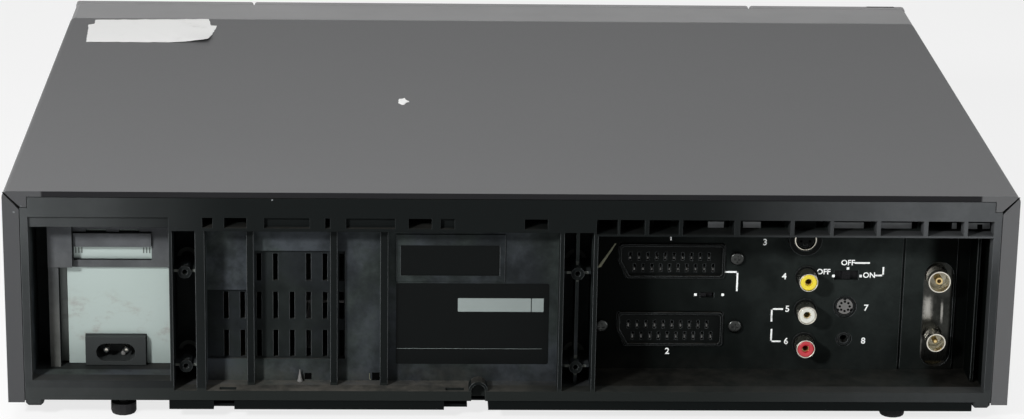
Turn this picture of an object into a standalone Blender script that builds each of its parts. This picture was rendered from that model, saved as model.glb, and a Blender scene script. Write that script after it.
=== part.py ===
"""A home video cassette recorder, in metres: the front looks along -Y, the back along +Y.

The machine stands on its feet at Z = 0, centred on the origin. The casing is a bent steel cover
over a pressed base pan, closed at the back by one moulded panel with recessed socket bays and at
the front by a carrier with three face plates. Inside sit the circuit boards and the tape deck.
"""

import math

import bmesh
import bpy
from mathutils import Matrix, Vector

# Casing
COVER_WIDTH = 0.430
COVER_HEIGHT = 0.0946
COVER_DEPTH = 0.2942
COVER_SHEET = 0.001
COVER_BEND = 0.0025
COVER_BEND_STEPS = 5
LIP_WIDTH = 0.0070
TOP_LIP = 0.0024
MITRE_GAP = 0.0011
TONGUE_WIDTH = 0.0032
COVER_SEAM = 0.0014
CARRIER_DEPTH = 0.0292
FACE_SEAM = 0.0010
FACE_DEPTH = 0.0065
FACE_ROUND = 0.0012
FACE_RIM_INSET = 0.0010
SEAM = 0.0006
FOOT_HEIGHT = 0.0055
FOOT_RADIUS = 0.0055
FOOT_ROUND = 0.0012
FOOT_PEG = 0.0020
FOOT_INSET_X = 0.0482
FOOT_INSET_Y = 0.0110
BASE_SHOW = 0.0030
BASE_SHEET = 0.001
PAN_WALL_RISE = 0.0075
WALL = 0.0022
BOARD = 0.0016
BOARD_RISE = 0.0040

# Fits
CLEAR = 0.0003
CUT = 0.0020
MERGE = 0.000001

# Back panel
FRAME_WIDTH = 0.0032
PANEL_WALL = 0.0020
DEEP_BAY = 0.0300
SOCKET_BAY = 0.0290
COLUMN_BAY = 0.0260
INLET_BAY = 0.0200
SHALLOW_BAY = 0.0130
VENT_STEP = 0.0016
TOP_BAR = 0.0086
HOOK_ROW = 0.0066
SILL = 0.0008
INLET_BAY_RISE = 0.0026
VENT_BAY_RISE = 0.0015
FLOOR_RISE = 0.0086
INLET_FLOOR_RISE = 0.0130
RIB_STANDBACK = 0.0070
END_RIB_STANDBACK = 0.0130
LIP_RISE = 0.0042
HOOK_DEPTH = 0.0105
HOOK_SHALLOW = 0.0022
HOOK_STEP = 0.0021
BEAM_DEPTH = 0.0125
CORNER_FOOT_DEPTH = 0.0100
PANEL_FLANGE = 0.0070
CORNER_FOOT = 0.0077
CORNER_LIFT = 0.0013
LIP_SLOT_SHARES = ((0.576, 0.611), (0.098, 0.137))
LIP_SLOT = 0.0030
LIP_SLOT_STANDBACK = 0.0015
ARCH_SHARE = 0.0685
ARCH_RADIUS = 0.0042
ARCH_TUNNEL = 0.0030
ARCH_LENGTH = 0.0070

# Ribs and walls between the bays: place as a share of the inner half width, and width
INLET_WALL_SHARE, INLET_WALL = 0.7086, 0.0014
RIB_SHARES = (0.648, 0.546, 0.372, 0.267, -0.102)
RIB_WIDTHS = (0.0040, 0.0030, 0.0030, 0.0033, 0.0018)
SOCKET_WALL_SHARE, SOCKET_WALL = -0.172, 0.0018
SEAM_SHARE, SEAM_GROOVE, SEAM_CUT = -0.8386, 0.0010, 0.0012
AERIAL_EDGE_SHARE = -0.955
END_RIB_SHARE, END_RIB = -0.984, 0.0013

# Slots under the top bar, their ends as shares of the inner half width: open or blind beside
# the vents, windows over the sockets, and the openings at the back of those windows
HOOK_SLOT_SHARES = ((0.642, 0.621), (0.597, 0.551), (0.389, 0.379), (0.217, 0.169), (-0.023, -0.071))
BLIND_SLOT_SHARES = ((0.515, 0.421), (0.346, 0.245), (0.151, 0.122))
HOOK_WINDOW_SHARES = (
    (-0.172, -0.216), (-0.221, -0.272), (-0.281, -0.343), (-0.351, -0.458), (-0.470, -0.575),
    (-0.583, -0.658), (-0.665, -0.755), (-0.763, -0.853), (-0.862, -0.937), (-0.945, -1.0),
)
WINDOW_HOLE_SHARES = (
    (-0.180, -0.211), (-0.232, -0.267), (-0.294, -0.330), (-0.359, -0.406), (-0.446, -0.453),
    (-0.519, -0.570), (-0.635, -0.653), (-0.736, -0.750), (-0.836, -0.848), (-0.871, -0.917),
)

# Vents
VENT_COLUMNS = 8
VENT_ROWS = 3
VENT_FIRST_SHARE = 0.5985
VENT_PITCH = 0.00707
VENT_WIDTH = 0.0021
VENT_HEIGHT = 0.0122
VENT_LOW_SHARE = 0.233
VENT_PITCH_SHARE = 0.247
VENT_FIELD_LOW_SHARE = 0.140
VENT_FIELD_TOP_SHARES = (0.587, 0.838, 0.838)
VENT_FIELD_END_SHARE = 0.349
BLIND_VENTS = ((0, 2), (1, 2), (4, 2))

# Screw columns
BOSS_RADIUS = 0.00285
BOSS_HOLE = 0.0012
BOSS_HOLE_DEPTH = 0.0080
BOSS_STANDBACK = 0.0060
BOSS_HEIGHT_SHARES = (0.127, 0.732)
WING = 0.0012
WING_STANDBACK = 0.0080
COLUMN_RIB = 0.0014

# Mains inlet and its shield
INLET_SHARE = 0.8335
INLET_WIDTH = 0.0260
INLET_HEIGHT = 0.0128
INLET_STANDBACK = 0.0184
INLET_BACK = 0.0130
SOCKET_LENGTH = 0.0168
SOCKET_HEIGHT = 0.0080
SOCKET_CAVITY = 0.0120
SOCKET_BASE = 0.0018
PIN_RADIUS = 0.0012
PIN_PITCH = 0.0086
PIN_STANDBACK = 0.0030
COLUMN_EDGE_SHARE = 0.9487
GROOVE_SHARE = 0.970
COLUMN_PROUD = 0.0030
BLOCK_EDGE_SHARE = 0.919
BLOCK_FOOT_SHARE = 0.710
BLOCK_PROUD = 0.0040
SHIELD = 0.0010
SHIELD_WIDTH = 0.0449
WINDOW_TOP_SHARE = 0.6956
WINDOW_CHAMFER = 0.0020
STRIP_LOW_SHARE, STRIP_HIGH_SHARE = 0.7414, 0.8300
STRIP_RIGHT_SHARE, STRIP_LEFT_SHARE = 0.7545, 0.9178
BRACKET_LOW_SHARE, BRACKET_HIGH_SHARE = 0.832, 0.919
BRACKET_PROUD = 0.0015
KEYHOLE_SHARES = ((0.7795, 0.8215), (0.8495, 0.8905))
KEYHOLE_SHARE, KEYHOLE = 0.930, 0.0012
BAND_DEPTH = 0.0015

# Scart sockets
SCART_SHARE = 0.252
SCART_HEIGHT_SHARES = (0.265, 0.7100)
SCART_WIDTH = 0.0460
SCART_TALL = 0.0154
SCART_SKEW = 0.0036
SCART_PROUD = 0.0010
SCART_RIM = 0.0010
SCART_RECESS = 0.0016
SCART_CONTACTS = 10
SCART_PITCH = 0.00381
SCART_SLOT = 0.0011
SCART_SLOT_TALL = 0.0036
SCART_SLOT_DEPTH = 0.0050
SCART_ROW = 0.0026
SCART_DROP = 0.0008
SCREW_RADIUS = 0.0027
SCREW_PROUD = 0.0012
SCREW_GAPS = (0.0045, 0.0026)
SCREW_LIFT = 0.0014

# Round sockets: place across the socket bay and up it, as shares
S_VIDEO_SHARES = (0.678, 0.861)
PHONO_SHARE = 0.688
PHONO_HEIGHT_SHARES = (0.610, 0.395, 0.1740)
EDIT_SHARES = (0.817, 0.413)
JACK_SHARES = (0.818, 0.201)
PHONO_RING = 0.00415
PHONO_FLANGE = 0.0052
PHONO_COLLAR = 0.0008
PHONO_REACH = 0.0085
PHONO_BORE = 0.0016
PHONO_BORE_DEPTH = 0.0080
S_VIDEO_RADIUS = 0.0072
S_VIDEO_RING = 0.0050
S_VIDEO_PROUD = 0.0030
S_VIDEO_RECESS = 0.0012
S_VIDEO_GROOVE = 0.0035
S_VIDEO_CORE = 0.0038
EDIT_FACE = 0.0037
EDIT_RIM = 0.0048
EDIT_SUNK = 0.0010
EDIT_GROOVE = 0.0030
JACK_RADIUS = 0.0031
JACK_BORE = 0.0018
JACK_BORE_DEPTH = 0.0100
JACK_SUNK = 0.0004
SOCKET_BODY = 0.0140
SOCKET_NECK = 0.0044

# Sliding switches
RF_SWITCH_SHARES = (0.816, 0.620)
RF_SLOT_WIDTH, RF_SLOT_TALL = 0.0106, 0.0043
RF_KNOB_WIDTH = 0.0036
SELECTOR_SHARES = (0.369, 0.487)
SELECTOR_SLOT_WIDTH, SELECTOR_SLOT_TALL = 0.0060, 0.0024
SELECTOR_KNOB_WIDTH = 0.0022
KNOB_PLATE = 0.0010
KNOB_SUNK = 0.0006

# Aerial sockets and tuner
STADIUM_SHARE = -0.9163
STADIUM_WIDTH = 0.0130
STADIUM_LOW_SHARE, STADIUM_HIGH_SHARE = 0.020, 0.711
AERIAL_SHARE = -0.911
AERIAL_HEIGHT_SHARES = (0.2176, 0.616)
AERIAL_STANDBACK = 0.0210
AERIAL_OUT_RADIUS = 0.0044
AERIAL_IN_RADIUS = 0.0051
AERIAL_WALL = 0.0007
AERIAL_PIN = 0.0012
AERIAL_CAVITY = 0.0080
TUNER_WIDTH = 0.0150
TUNER_DEPTH = 0.0450
TUNER_HEIGHT = 0.0560

# Front
CENTRE_RIGHT_SHARE, CENTRE_LEFT_SHARE = 0.5744, -0.6219
CARTRIDGE_WIDTH = 0.1880
CARTRIDGE_HEIGHT = 0.0250
CARTRIDGE_CLEAR = 0.0012
FLAP_WIDTH = 0.2020
FLAP_HEIGHT = 0.0335
FLAP_SHEET = 0.0025
FLAP_TOP_DROP = 0.0100
FLAP_AXIS_DROP = 0.0026
FLAP_AXIS_BACK = 0.0037
PIVOT_RADIUS = 0.0010
PIVOT_LENGTH = 0.0020
EAR = 0.0030
EAR_HALF = 0.0027
DISPLAY_WIDTH = 0.1040
DISPLAY_HEIGHT = 0.0150
DISPLAY_RISE = 0.0360
DISPLAY_INSET = 0.0420
DISPLAY_LIP = 0.0015
DOOR_HEIGHT = 0.0240
DOOR_SHEET = 0.0026
DOOR_RISE = 0.0050
DOOR_MARGIN = 0.0055
BUTTON_FLANGE = 0.0008
BUTTON_STEM = 0.0020
BUTTON_TRAVEL = 0.0012
KEY_WIDTH = 0.0270
KEY_HEIGHT = 0.0060
KEY_GAP = 0.0030
KEY_COLUMNS = 3
POWER_WIDTH, POWER_HEIGHT = 0.0240, 0.0100
EJECT_WIDTH, EJECT_HEIGHT = 0.0180, 0.0080
SIDE_KEY_DROP = 0.0180
POWER_SHARE, EJECT_SHARE = 0.28, 0.76
RING_RADIUS = 0.0260
RING_HOLE = 0.0180
RING_PROUD = 0.0010
JOG_RADIUS = 0.0175
DIAL_FLANGE = 0.0020
DIMPLE_RADIUS = 0.0050
DIMPLE_OFFSET = 0.0100
DIMPLE_DEPTH = 0.0012
SPINDLE_RADIUS = 0.0030
DIAL_RISE_SHARE = 0.52
DOOR_PIVOT = 0.0006
RING_SUNK = 0.0002
JOG_SUNK = 0.0003
DIAL_BACK = 0.0004

# Boards and power supply
MAIN_BOARD_WIDTH = 0.0950
MAIN_BOARD_DEPTH = 0.2300
POWER_BOARD_WIDTH = 0.0980
POWER_BOARD_DEPTH = 0.1100
BOARD_POST = 0.0030
BOARD_POST_INSET = 0.0080
TRANSFORMER_SIZE = (0.0460, 0.0400, 0.0380)
JACK_BOARD_TALL = 0.0700
JACK_BOARD_MARGIN = 0.0020

# Tape deck
DECK_WIDTH = 0.2000
DECK_BACK_GAP = 0.0226
DECK_SHEET = 0.0012
DECK_RISE = 0.0235
DECK_FRONT_GAP = 0.0100
DECK_LEG = 0.0040
DECK_LEG_INSET = 0.0080
DRUM_RADIUS = 0.0310
DRUM_LOWER = 0.0135
DRUM_UPPER = 0.0165
DRUM_GAP = 0.0004
DRUM_SHAFT = 0.0030
DRUM_BACK = 0.0400
DRUM_CAP = 0.0120
REEL_SPACING = 0.0920
REEL_RADIUS = 0.0160
REEL_FLANGE = 0.0030
REEL_HUB = 0.0095
REEL_TALL = 0.0200
REEL_PIN = 0.0020
REEL_SETBACK = 0.0950
CAPSTAN_OFFSET = 0.0620
CAPSTAN_SETBACK = 0.0200
CAPSTAN_SHAFT = 0.0015
CAPSTAN_TALL = 0.0280
FLYWHEEL_RADIUS = 0.0220
FLYWHEEL_SHEET = 0.0036
PULLEY_RADIUS = 0.0080
PULLEY_TALL = 0.0044
CLUTCH_RADIUS = 0.0110
CLUTCH_AHEAD = 0.0730
BELT = 0.0010
BELT_TALL = 0.0024
BELT_ARC_STEPS = 12
PINCH_RADIUS = 0.0065
PINCH_TALL = 0.0150
PINCH_ARM_LENGTH = 0.0240
PINCH_ARM_WIDTH = 0.0080
PINCH_ARM_SHEET = 0.0020
PINCH_ARM_RISE = 0.0040
PINCH_SWING = math.radians(25)
PINCH_PIN = 0.0018
GUIDE_OFFSET = 0.0400
GUIDE_TRAVEL = 0.0420
GUIDE_SETBACK = 0.0580
GUIDE_BASE = 0.0048
GUIDE_BASE_TALL = 0.0030
GUIDE_POST = 0.0024
GUIDE_SHANK = 0.0020
GUIDE_TALL = 0.0230
MOTOR_RADIUS = 0.0090
MOTOR_LENGTH = 0.0280
MOTOR_INSET = 0.0180
MOTOR_SHAFT = 0.0010
MOTOR_SHAFT_LENGTH = 0.0070
HEAD_SIZE = (0.0100, 0.0080, 0.0220)
HEAD_OFFSET = 0.0520
PULLEY_DROP = 0.0100

# Cassette carriage
PLATE_SHEET = 0.0012
PLATE_LENGTH = 0.1460
PLATE_TALL = 0.0590
TRACK_WIDTH = 0.0036
TRACK_RISE = 0.0350
TRACK_DROP = 0.0200
HOLDER_WALL = 0.0012
HOLDER_LENGTH = 0.0800
HOLDER_LIP = 0.0140
HOLDER_SIDE_GAP = 0.0012
HOLDER_TRAVEL = 0.0660
HOLDER_WINDOW_MARGIN = 0.0200
HOLDER_PIN = 0.0015
HOLDER_BEHIND_FLAP = 0.0030
ARCH_STEPS = 8
ROUND = 22
SMALL_ROUND = 14
TINY_ROUND = 10

# Base pan's notches, their ends as shares of the inner half width, and vents
LOW_NOTCH = 0.0120
STEP_NOTCH = 0.0040
NOTCH_EDGE_SHARES = (0.047, 0.091, 0.140, 0.580, 0.623, 0.716, 1.020)
NOTCHES = (
    (NOTCH_EDGE_SHARES[0], NOTCH_EDGE_SHARES[1], LOW_NOTCH),
    (NOTCH_EDGE_SHARES[1], NOTCH_EDGE_SHARES[2], STEP_NOTCH),
    (NOTCH_EDGE_SHARES[3], NOTCH_EDGE_SHARES[4], STEP_NOTCH),
    (NOTCH_EDGE_SHARES[5], NOTCH_EDGE_SHARES[6], LOW_NOTCH),
)
BASE_SLOTS = 10
BASE_SLOT_WIDTH = 0.0040
BASE_SLOT_LENGTH = 0.0400
BASE_SLOT_PITCH = 0.0090
BASE_SLOT_Y = 0.0500

# Worked-out planes
HALF_WIDTH = COVER_WIDTH / 2
DEPTH = COVER_DEPTH + COVER_SEAM + CARRIER_DEPTH + FACE_SEAM + FACE_DEPTH
BACK_Y = DEPTH / 2
FRONT_Y = -DEPTH / 2
COVER_FRONT_Y = BACK_Y - COVER_DEPTH
CARRIER_BACK_Y = COVER_FRONT_Y - COVER_SEAM
CARRIER_FRONT_Y = CARRIER_BACK_Y - CARRIER_DEPTH
FACE_BACK_Y = CARRIER_FRONT_Y - FACE_SEAM
BASE_Z = FOOT_HEIGHT
PAN_FLOOR_Z = BASE_Z + BASE_SHEET
COVER_FOOT_Z = BASE_Z + BASE_SHOW
TOP_Z = COVER_FOOT_Z + COVER_HEIGHT
PANEL_HALF = HALF_WIDTH - LIP_WIDTH - CLEAR
PANEL_INNER = PANEL_HALF - FRAME_WIDTH
INSIDE_HALF = HALF_WIDTH - COVER_SHEET - CLEAR
PANEL_THICK = DEEP_BAY + PANEL_WALL
PANEL_FOOT_Z = BASE_Z + LIP_RISE
PANEL_TOP_Z = TOP_Z - TOP_LIP - CLEAR
BAR_FOOT_Z = PANEL_TOP_Z - TOP_BAR
BAY_TOP_Z = BAR_FOOT_Z - HOOK_ROW - SILL
BAY_FLOOR_Z = BASE_Z + FLOOR_RISE
BAY_HEIGHT = BAY_TOP_Z - BAY_FLOOR_Z
INLET_BAY_TOP_Z = BAY_TOP_Z + INLET_BAY_RISE
INLET_FLOOR_Z = BASE_Z + INLET_FLOOR_RISE
SOCKET_BAY_EDGE = SOCKET_WALL_SHARE * PANEL_INNER - SOCKET_WALL / 2
SOCKET_BAY_WIDTH = SOCKET_BAY_EDGE - SEAM_SHARE * PANEL_INNER
SOCKET_SEAT_Y = BACK_Y - SOCKET_BAY - PANEL_WALL - SOCKET_BODY
BOARD_TOP_Z = PAN_FLOOR_Z + BOARD_RISE + BOARD
CENTRE_RIGHT = CENTRE_RIGHT_SHARE * HALF_WIDTH
CENTRE_LEFT = CENTRE_LEFT_SHARE * HALF_WIDTH
CENTRE_X = (CENTRE_RIGHT + CENTRE_LEFT) / 2
FLAP_TOP_Z = TOP_Z - FLAP_TOP_DROP
FLAP_AXIS_Z = FLAP_TOP_Z - FLAP_AXIS_DROP
FLAP_AXIS_Y = FRONT_Y + FLAP_AXIS_BACK
FLAP_FOOT_Z = FLAP_TOP_Z - FLAP_HEIGHT
DECK_Z = PAN_FLOOR_Z + DECK_RISE
DECK_TOP_Z = DECK_Z + DECK_SHEET
DECK_FRONT_Y = CARRIER_BACK_Y + DECK_FRONT_GAP
DECK_BACK_Y = SOCKET_SEAT_Y - BOARD - DECK_BACK_GAP
DRUM_Y = DECK_BACK_Y - DRUM_BACK
REEL_Y = DRUM_Y - REEL_SETBACK
CAPSTAN_X = CENTRE_X + CAPSTAN_OFFSET
CAPSTAN_Y = DRUM_Y - CAPSTAN_SETBACK
CLUTCH_Y = DRUM_Y - CLUTCH_AHEAD
GUIDE_Y = DRUM_Y - GUIDE_SETBACK
HOLDER_FRONT_Y = FLAP_AXIS_Y + FLAP_HEIGHT + HOLDER_BEHIND_FLAP
HOLDER_HALF = CARTRIDGE_WIDTH / 2 + CARTRIDGE_CLEAR + HOLDER_WALL
HOLDER_FOOT_Z = FLAP_FOOT_Z
TRAY_TOP_Z = HOLDER_FOOT_Z + HOLDER_WALL
HOLDER_TOP_Z = TRAY_TOP_Z + CARTRIDGE_HEIGHT + 2 * CARTRIDGE_CLEAR + HOLDER_WALL
PLATE_X = HOLDER_HALF + HOLDER_SIDE_GAP
DIAL_Z = BASE_Z + DIAL_RISE_SHARE * (TOP_Z - BASE_Z)
DIAL_X = (CENTRE_RIGHT + HALF_WIDTH) / 2
POWER_BOARD_X = INSIDE_HALF - BASE_SHEET - CLEAR - POWER_BOARD_WIDTH
POWER_BOARD_BACK_Y = BACK_Y - PANEL_THICK - CLEAR
POWER_BOARD_FRONT_Y = POWER_BOARD_BACK_Y - POWER_BOARD_DEPTH
MAIN_BOARD_X = -INSIDE_HALF + BASE_SHEET + CLEAR
MAIN_BOARD_FRONT_Y = CARRIER_BACK_Y + DECK_FRONT_GAP
PULLEY_Z = DECK_Z - PULLEY_DROP

# Finishes: colour, roughness, metallic
DARK_STEEL = ((0.135, 0.135, 0.140), 0.55, 0.0)
DARK_PLASTIC = ((0.030, 0.032, 0.036), 0.50, 0.0)
FASCIA_GREY = ((0.200, 0.200, 0.205), 0.45, 0.0)
BLACK_PLASTIC = ((0.012, 0.013, 0.014), 0.40, 0.0)
RUBBER = ((0.020, 0.020, 0.020), 0.85, 0.0)
ZINC = ((0.620, 0.630, 0.600), 0.35, 1.0)
PALE_PLATE = ((0.520, 0.600, 0.560), 0.45, 0.3)
YELLOW = ((0.780, 0.640, 0.030), 0.35, 0.0)
WHITE = ((0.720, 0.720, 0.650), 0.40, 0.0)
RED = ((0.560, 0.030, 0.040), 0.35, 0.0)
NICKEL = ((0.720, 0.700, 0.640), 0.25, 1.0)
SMOKED = ((0.010, 0.010, 0.012), 0.10, 0.0)
BOARD_BROWN = ((0.260, 0.160, 0.060), 0.60, 0.0)
ALUMINIUM = ((0.750, 0.750, 0.760), 0.30, 1.0)
STEEL = ((0.550, 0.550, 0.560), 0.35, 1.0)

PARTS = None
CUTTERS = None


def clear_scene():
    """Removes every object that the file opened with."""
    for thing in list(bpy.data.objects):
        bpy.data.objects.remove(thing, do_unlink=True)


def new_collection(name, parent):
    group = bpy.data.collections.new(name)
    parent.children.link(group)
    return group


def finish_of(colour, roughness, metallic):
    """One Principled material for each finish, made once."""
    name = "finish_" + "_".join(f"{round(1000 * channel)}" for channel in colour)
    material = bpy.data.materials.get(name)
    if material is None:
        material = bpy.data.materials.new(name)
        material.use_nodes = True
        shader = material.node_tree.nodes["Principled BSDF"]
        shader.inputs["Base Color"].default_value = (*colour, 1.0)
        shader.inputs["Roughness"].default_value = roughness
        shader.inputs["Metallic"].default_value = metallic
        material.diffuse_color = (*colour, 1.0)
    return material


def new_object(name, mesh, finish, location=(0, 0, 0)):
    """A part when it has a finish, otherwise a hidden helper shape."""
    thing = bpy.data.objects.new(name, mesh)
    thing.location = location
    if finish is None:
        CUTTERS.objects.link(thing)
        thing.hide_render = True
        thing.display_type = "WIRE"
    else:
        PARTS.objects.link(thing)
        mesh.materials.append(finish_of(*finish))
    return thing


def mesh_from(name, build):
    mesh = bpy.data.meshes.new(name)
    shape = bmesh.new()
    build(shape)
    shape.to_mesh(mesh)
    shape.free()
    return mesh


def block(name, low, high, finish=None):
    """A box between two corners, with its origin at its centre."""
    low, high = Vector(low), Vector(high)
    size = high - low
    scale = Matrix.Diagonal((*size, 1))
    mesh = mesh_from(name, lambda shape: bmesh.ops.create_cube(shape, size=1, matrix=scale))
    return new_object(name, mesh, finish, (low + high) / 2)


def turn_to(axis):
    """The rotation that takes +Z to the given direction."""
    return Vector((0, 0, 1)).rotation_difference(Vector(axis)).to_matrix().to_4x4()


def rod(name, start, end, radius, sides=SMALL_ROUND, finish=None, tip=None):
    """A round bar, or a cone when the tip has its own radius, with its origin at its start."""
    start, end = Vector(start), Vector(end)
    length = (end - start).length
    lift = Matrix.Translation((0, 0, length / 2))
    mesh = mesh_from(
        name,
        lambda shape: bmesh.ops.create_cone(
            shape,
            cap_ends=True,
            segments=sides,
            radius1=radius,
            radius2=radius if tip is None else tip,
            depth=length,
            matrix=turn_to(end - start) @ lift,
        ),
    )
    mesh.shade_smooth()
    mesh.set_sharp_from_angle(angle=math.radians(40))
    return new_object(name, mesh, finish, start)


def turned(name, profile, base, axis, finish, sides=ROUND):
    """A turned piece: (radius, height) points that run from the top down its outer side."""
    mesh = mesh_from(name, lambda shape: draw_profile(shape, profile))
    thing = new_object(name, mesh, finish, base)
    thing.rotation_euler = turn_to(axis).to_euler()
    screw = thing.modifiers.new("Turn", "SCREW")
    screw.angle = 2 * math.pi
    screw.steps = sides
    screw.render_steps = sides
    screw.use_merge_vertices = True
    screw.merge_threshold = MERGE
    screw.use_smooth_shade = True
    return thing


def draw_profile(shape, profile):
    """The profile's line, closed into a ring when its ends meet."""
    closed = profile[0] == profile[-1]
    places = profile[:-1] if closed else profile
    points = [shape.verts.new((radius, 0, height)) for radius, height in places]
    ends = points[1:] + points[:1] if closed else points[1:]
    for first, second in zip(points, ends):
        shape.edges.new((first, second))


def arc(centre, radius, start, end, steps):
    """Points of an arc, from one angle in radians to another."""
    turn = (end - start) / steps
    return [
        (
            centre[0] + radius * math.cos(start + turn * step),
            centre[1] + radius * math.sin(start + turn * step),
        )
        for step in range(steps + 1)
    ]


def outline(name, loops, thickness, place, finish=None):
    """A flat outline with holes, thickened both ways, as a mesh turned to its place."""
    curve = bpy.data.curves.new(name, "CURVE")
    curve.dimensions = "2D"
    curve.fill_mode = "BOTH"
    curve.extrude = thickness / 2
    for loop in loops:
        spline = curve.splines.new("POLY")
        spline.points.add(len(loop) - 1)
        spline.use_cyclic_u = True
        for point, (across, up) in zip(spline.points, loop):
            point.co = (across, up, 0, 1)
    drawn = bpy.data.objects.new(name + "_curve", curve)
    CUTTERS.objects.link(drawn)
    bpy.context.view_layer.update()
    graph = bpy.context.evaluated_depsgraph_get()
    mesh = bpy.data.meshes.new_from_object(drawn.evaluated_get(graph))
    bpy.data.objects.remove(drawn, do_unlink=True)
    shape = bmesh.new()
    shape.from_mesh(mesh)
    bmesh.ops.remove_doubles(shape, verts=shape.verts, dist=MERGE)
    bmesh.ops.recalc_face_normals(shape, faces=shape.faces)
    shape.to_mesh(mesh)
    shape.free()
    mesh.materials.clear()
    mesh.name = name
    origin = place.translation
    mesh.transform(place.to_3x3().to_4x4())
    return new_object(name, mesh, finish, origin)


def facing_y(centre):
    """The place of an outline that is drawn in X and Z and thickened along Y."""
    return Matrix.Translation(centre) @ Matrix.Rotation(math.pi / 2, 4, "X")


def facing_x(centre):
    """The place of an outline that is drawn in Y and Z and thickened along X."""
    turned_up = Matrix.Rotation(math.pi / 2, 4, "X")
    return Matrix.Translation(centre) @ Matrix.Rotation(math.pi / 2, 4, "Z") @ turned_up


def combine(target, tools, operation):
    """Joins the tools to the target, or cuts them out of it, in one Boolean."""
    group = new_collection(f"{target.name}_{operation.lower()}_{len(target.modifiers)}", CUTTERS)
    group.hide_render = True
    for tool in tools:
        for holder in list(tool.users_collection):
            holder.objects.unlink(tool)
        group.objects.link(tool)
    modifier = target.modifiers.new(operation.title(), "BOOLEAN")
    modifier.operation = operation
    modifier.solver = "EXACT"
    modifier.operand_type = "COLLECTION"
    modifier.collection = group
    return target


def cut(target, *tools):
    return combine(target, tools, "DIFFERENCE")


def join(target, *tools):
    return combine(target, tools, "UNION")


def round_edges(thing, width, steps=2):
    bevel = thing.modifiers.new("Rounded edges", "BEVEL")
    bevel.width = width
    bevel.segments = steps
    bevel.limit_method = "ANGLE"
    return thing


def put_origin(thing, point):
    """Moves the origin onto a joint's axis and leaves the shape where it is."""
    point = Vector(point)
    thing.data.transform(Matrix.Translation(thing.location - point))
    thing.location = point
    return thing


def deep(distance):
    """The Y of a plane this far in from the back."""
    return BACK_Y - distance


def up_bay(share):
    return BAY_FLOOR_Z + share * BAY_HEIGHT


def along_panel(share):
    return share * PANEL_INNER


def along_sockets(share):
    return SOCKET_BAY_EDGE - share * SOCKET_BAY_WIDTH


def stadium(length, height, steps=ARCH_STEPS):
    """A slot outline with round ends, longer across than up."""
    reach = (length - height) / 2
    right = arc((reach, 0), height / 2, -math.pi / 2, math.pi / 2, steps)
    left = arc((-reach, 0), height / 2, math.pi / 2, 3 * math.pi / 2, steps)
    return right + left


def add_top_cover():
    """The bent lid: top, two sides and mitred lips at the back, as one folded sheet."""
    bend = COVER_BEND
    right = arc(
        (HALF_WIDTH - bend, TOP_Z - bend), bend, 0, math.pi / 2, COVER_BEND_STEPS
    )
    profile = [(HALF_WIDTH, COVER_FOOT_Z)] + right
    profile += [(-x, z) for x, z in reversed(profile)]

    def build(shape):
        front = [shape.verts.new((x, COVER_FRONT_Y, z)) for x, z in profile]
        back = [shape.verts.new((x, BACK_Y, z)) for x, z in profile]
        for index in range(len(profile) - 1):
            shape.faces.new((front[index], front[index + 1], back[index + 1], back[index]))
        side_top = TOP_Z - LIP_WIDTH - MITRE_GAP
        side_end = 1 + (COVER_BEND_STEPS + 1) // 2
        for sign, edge in ((1, back), (-1, back[::-1])):
            inner = sign * (HALF_WIDTH - LIP_WIDTH)
            lip = (
                *edge[:side_end],
                shape.verts.new((inner, BACK_Y, side_top)),
                shape.verts.new((inner, BACK_Y, COVER_FOOT_Z)),
            )
            shape.faces.new(lip)
        half_in = HALF_WIDTH - LIP_WIDTH
        half_tongue = half_in - TONGUE_WIDTH
        tongue_z = TOP_Z - LIP_WIDTH
        lip_z = TOP_Z - TOP_LIP
        places = (
            (-half_in, tongue_z),
            (-half_tongue, tongue_z),
            (-half_tongue, lip_z),
            (half_tongue, lip_z),
            (half_tongue, tongue_z),
            (half_in, tongue_z),
        )
        hanging = [shape.verts.new((x, BACK_Y, z)) for x, z in places]
        shape.faces.new((*back[side_end:-side_end], *hanging))
        bmesh.ops.recalc_face_normals(shape, faces=shape.faces)
        middle = max(shape.faces, key=lambda face: face.calc_area())
        if middle.normal.z < 0:
            bmesh.ops.reverse_faces(shape, faces=shape.faces)

    cover = new_object("top_cover", mesh_from("top_cover", build), DARK_STEEL)
    sheet = cover.modifiers.new("Sheet", "SOLIDIFY")
    sheet.thickness = COVER_SHEET
    sheet.offset = -1
    sheet.solidify_mode = "NON_MANIFOLD"
    sheet.nonmanifold_thickness_mode = "CONSTRAINTS"
    sheet.nonmanifold_merge_threshold = MERGE
    return cover


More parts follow.
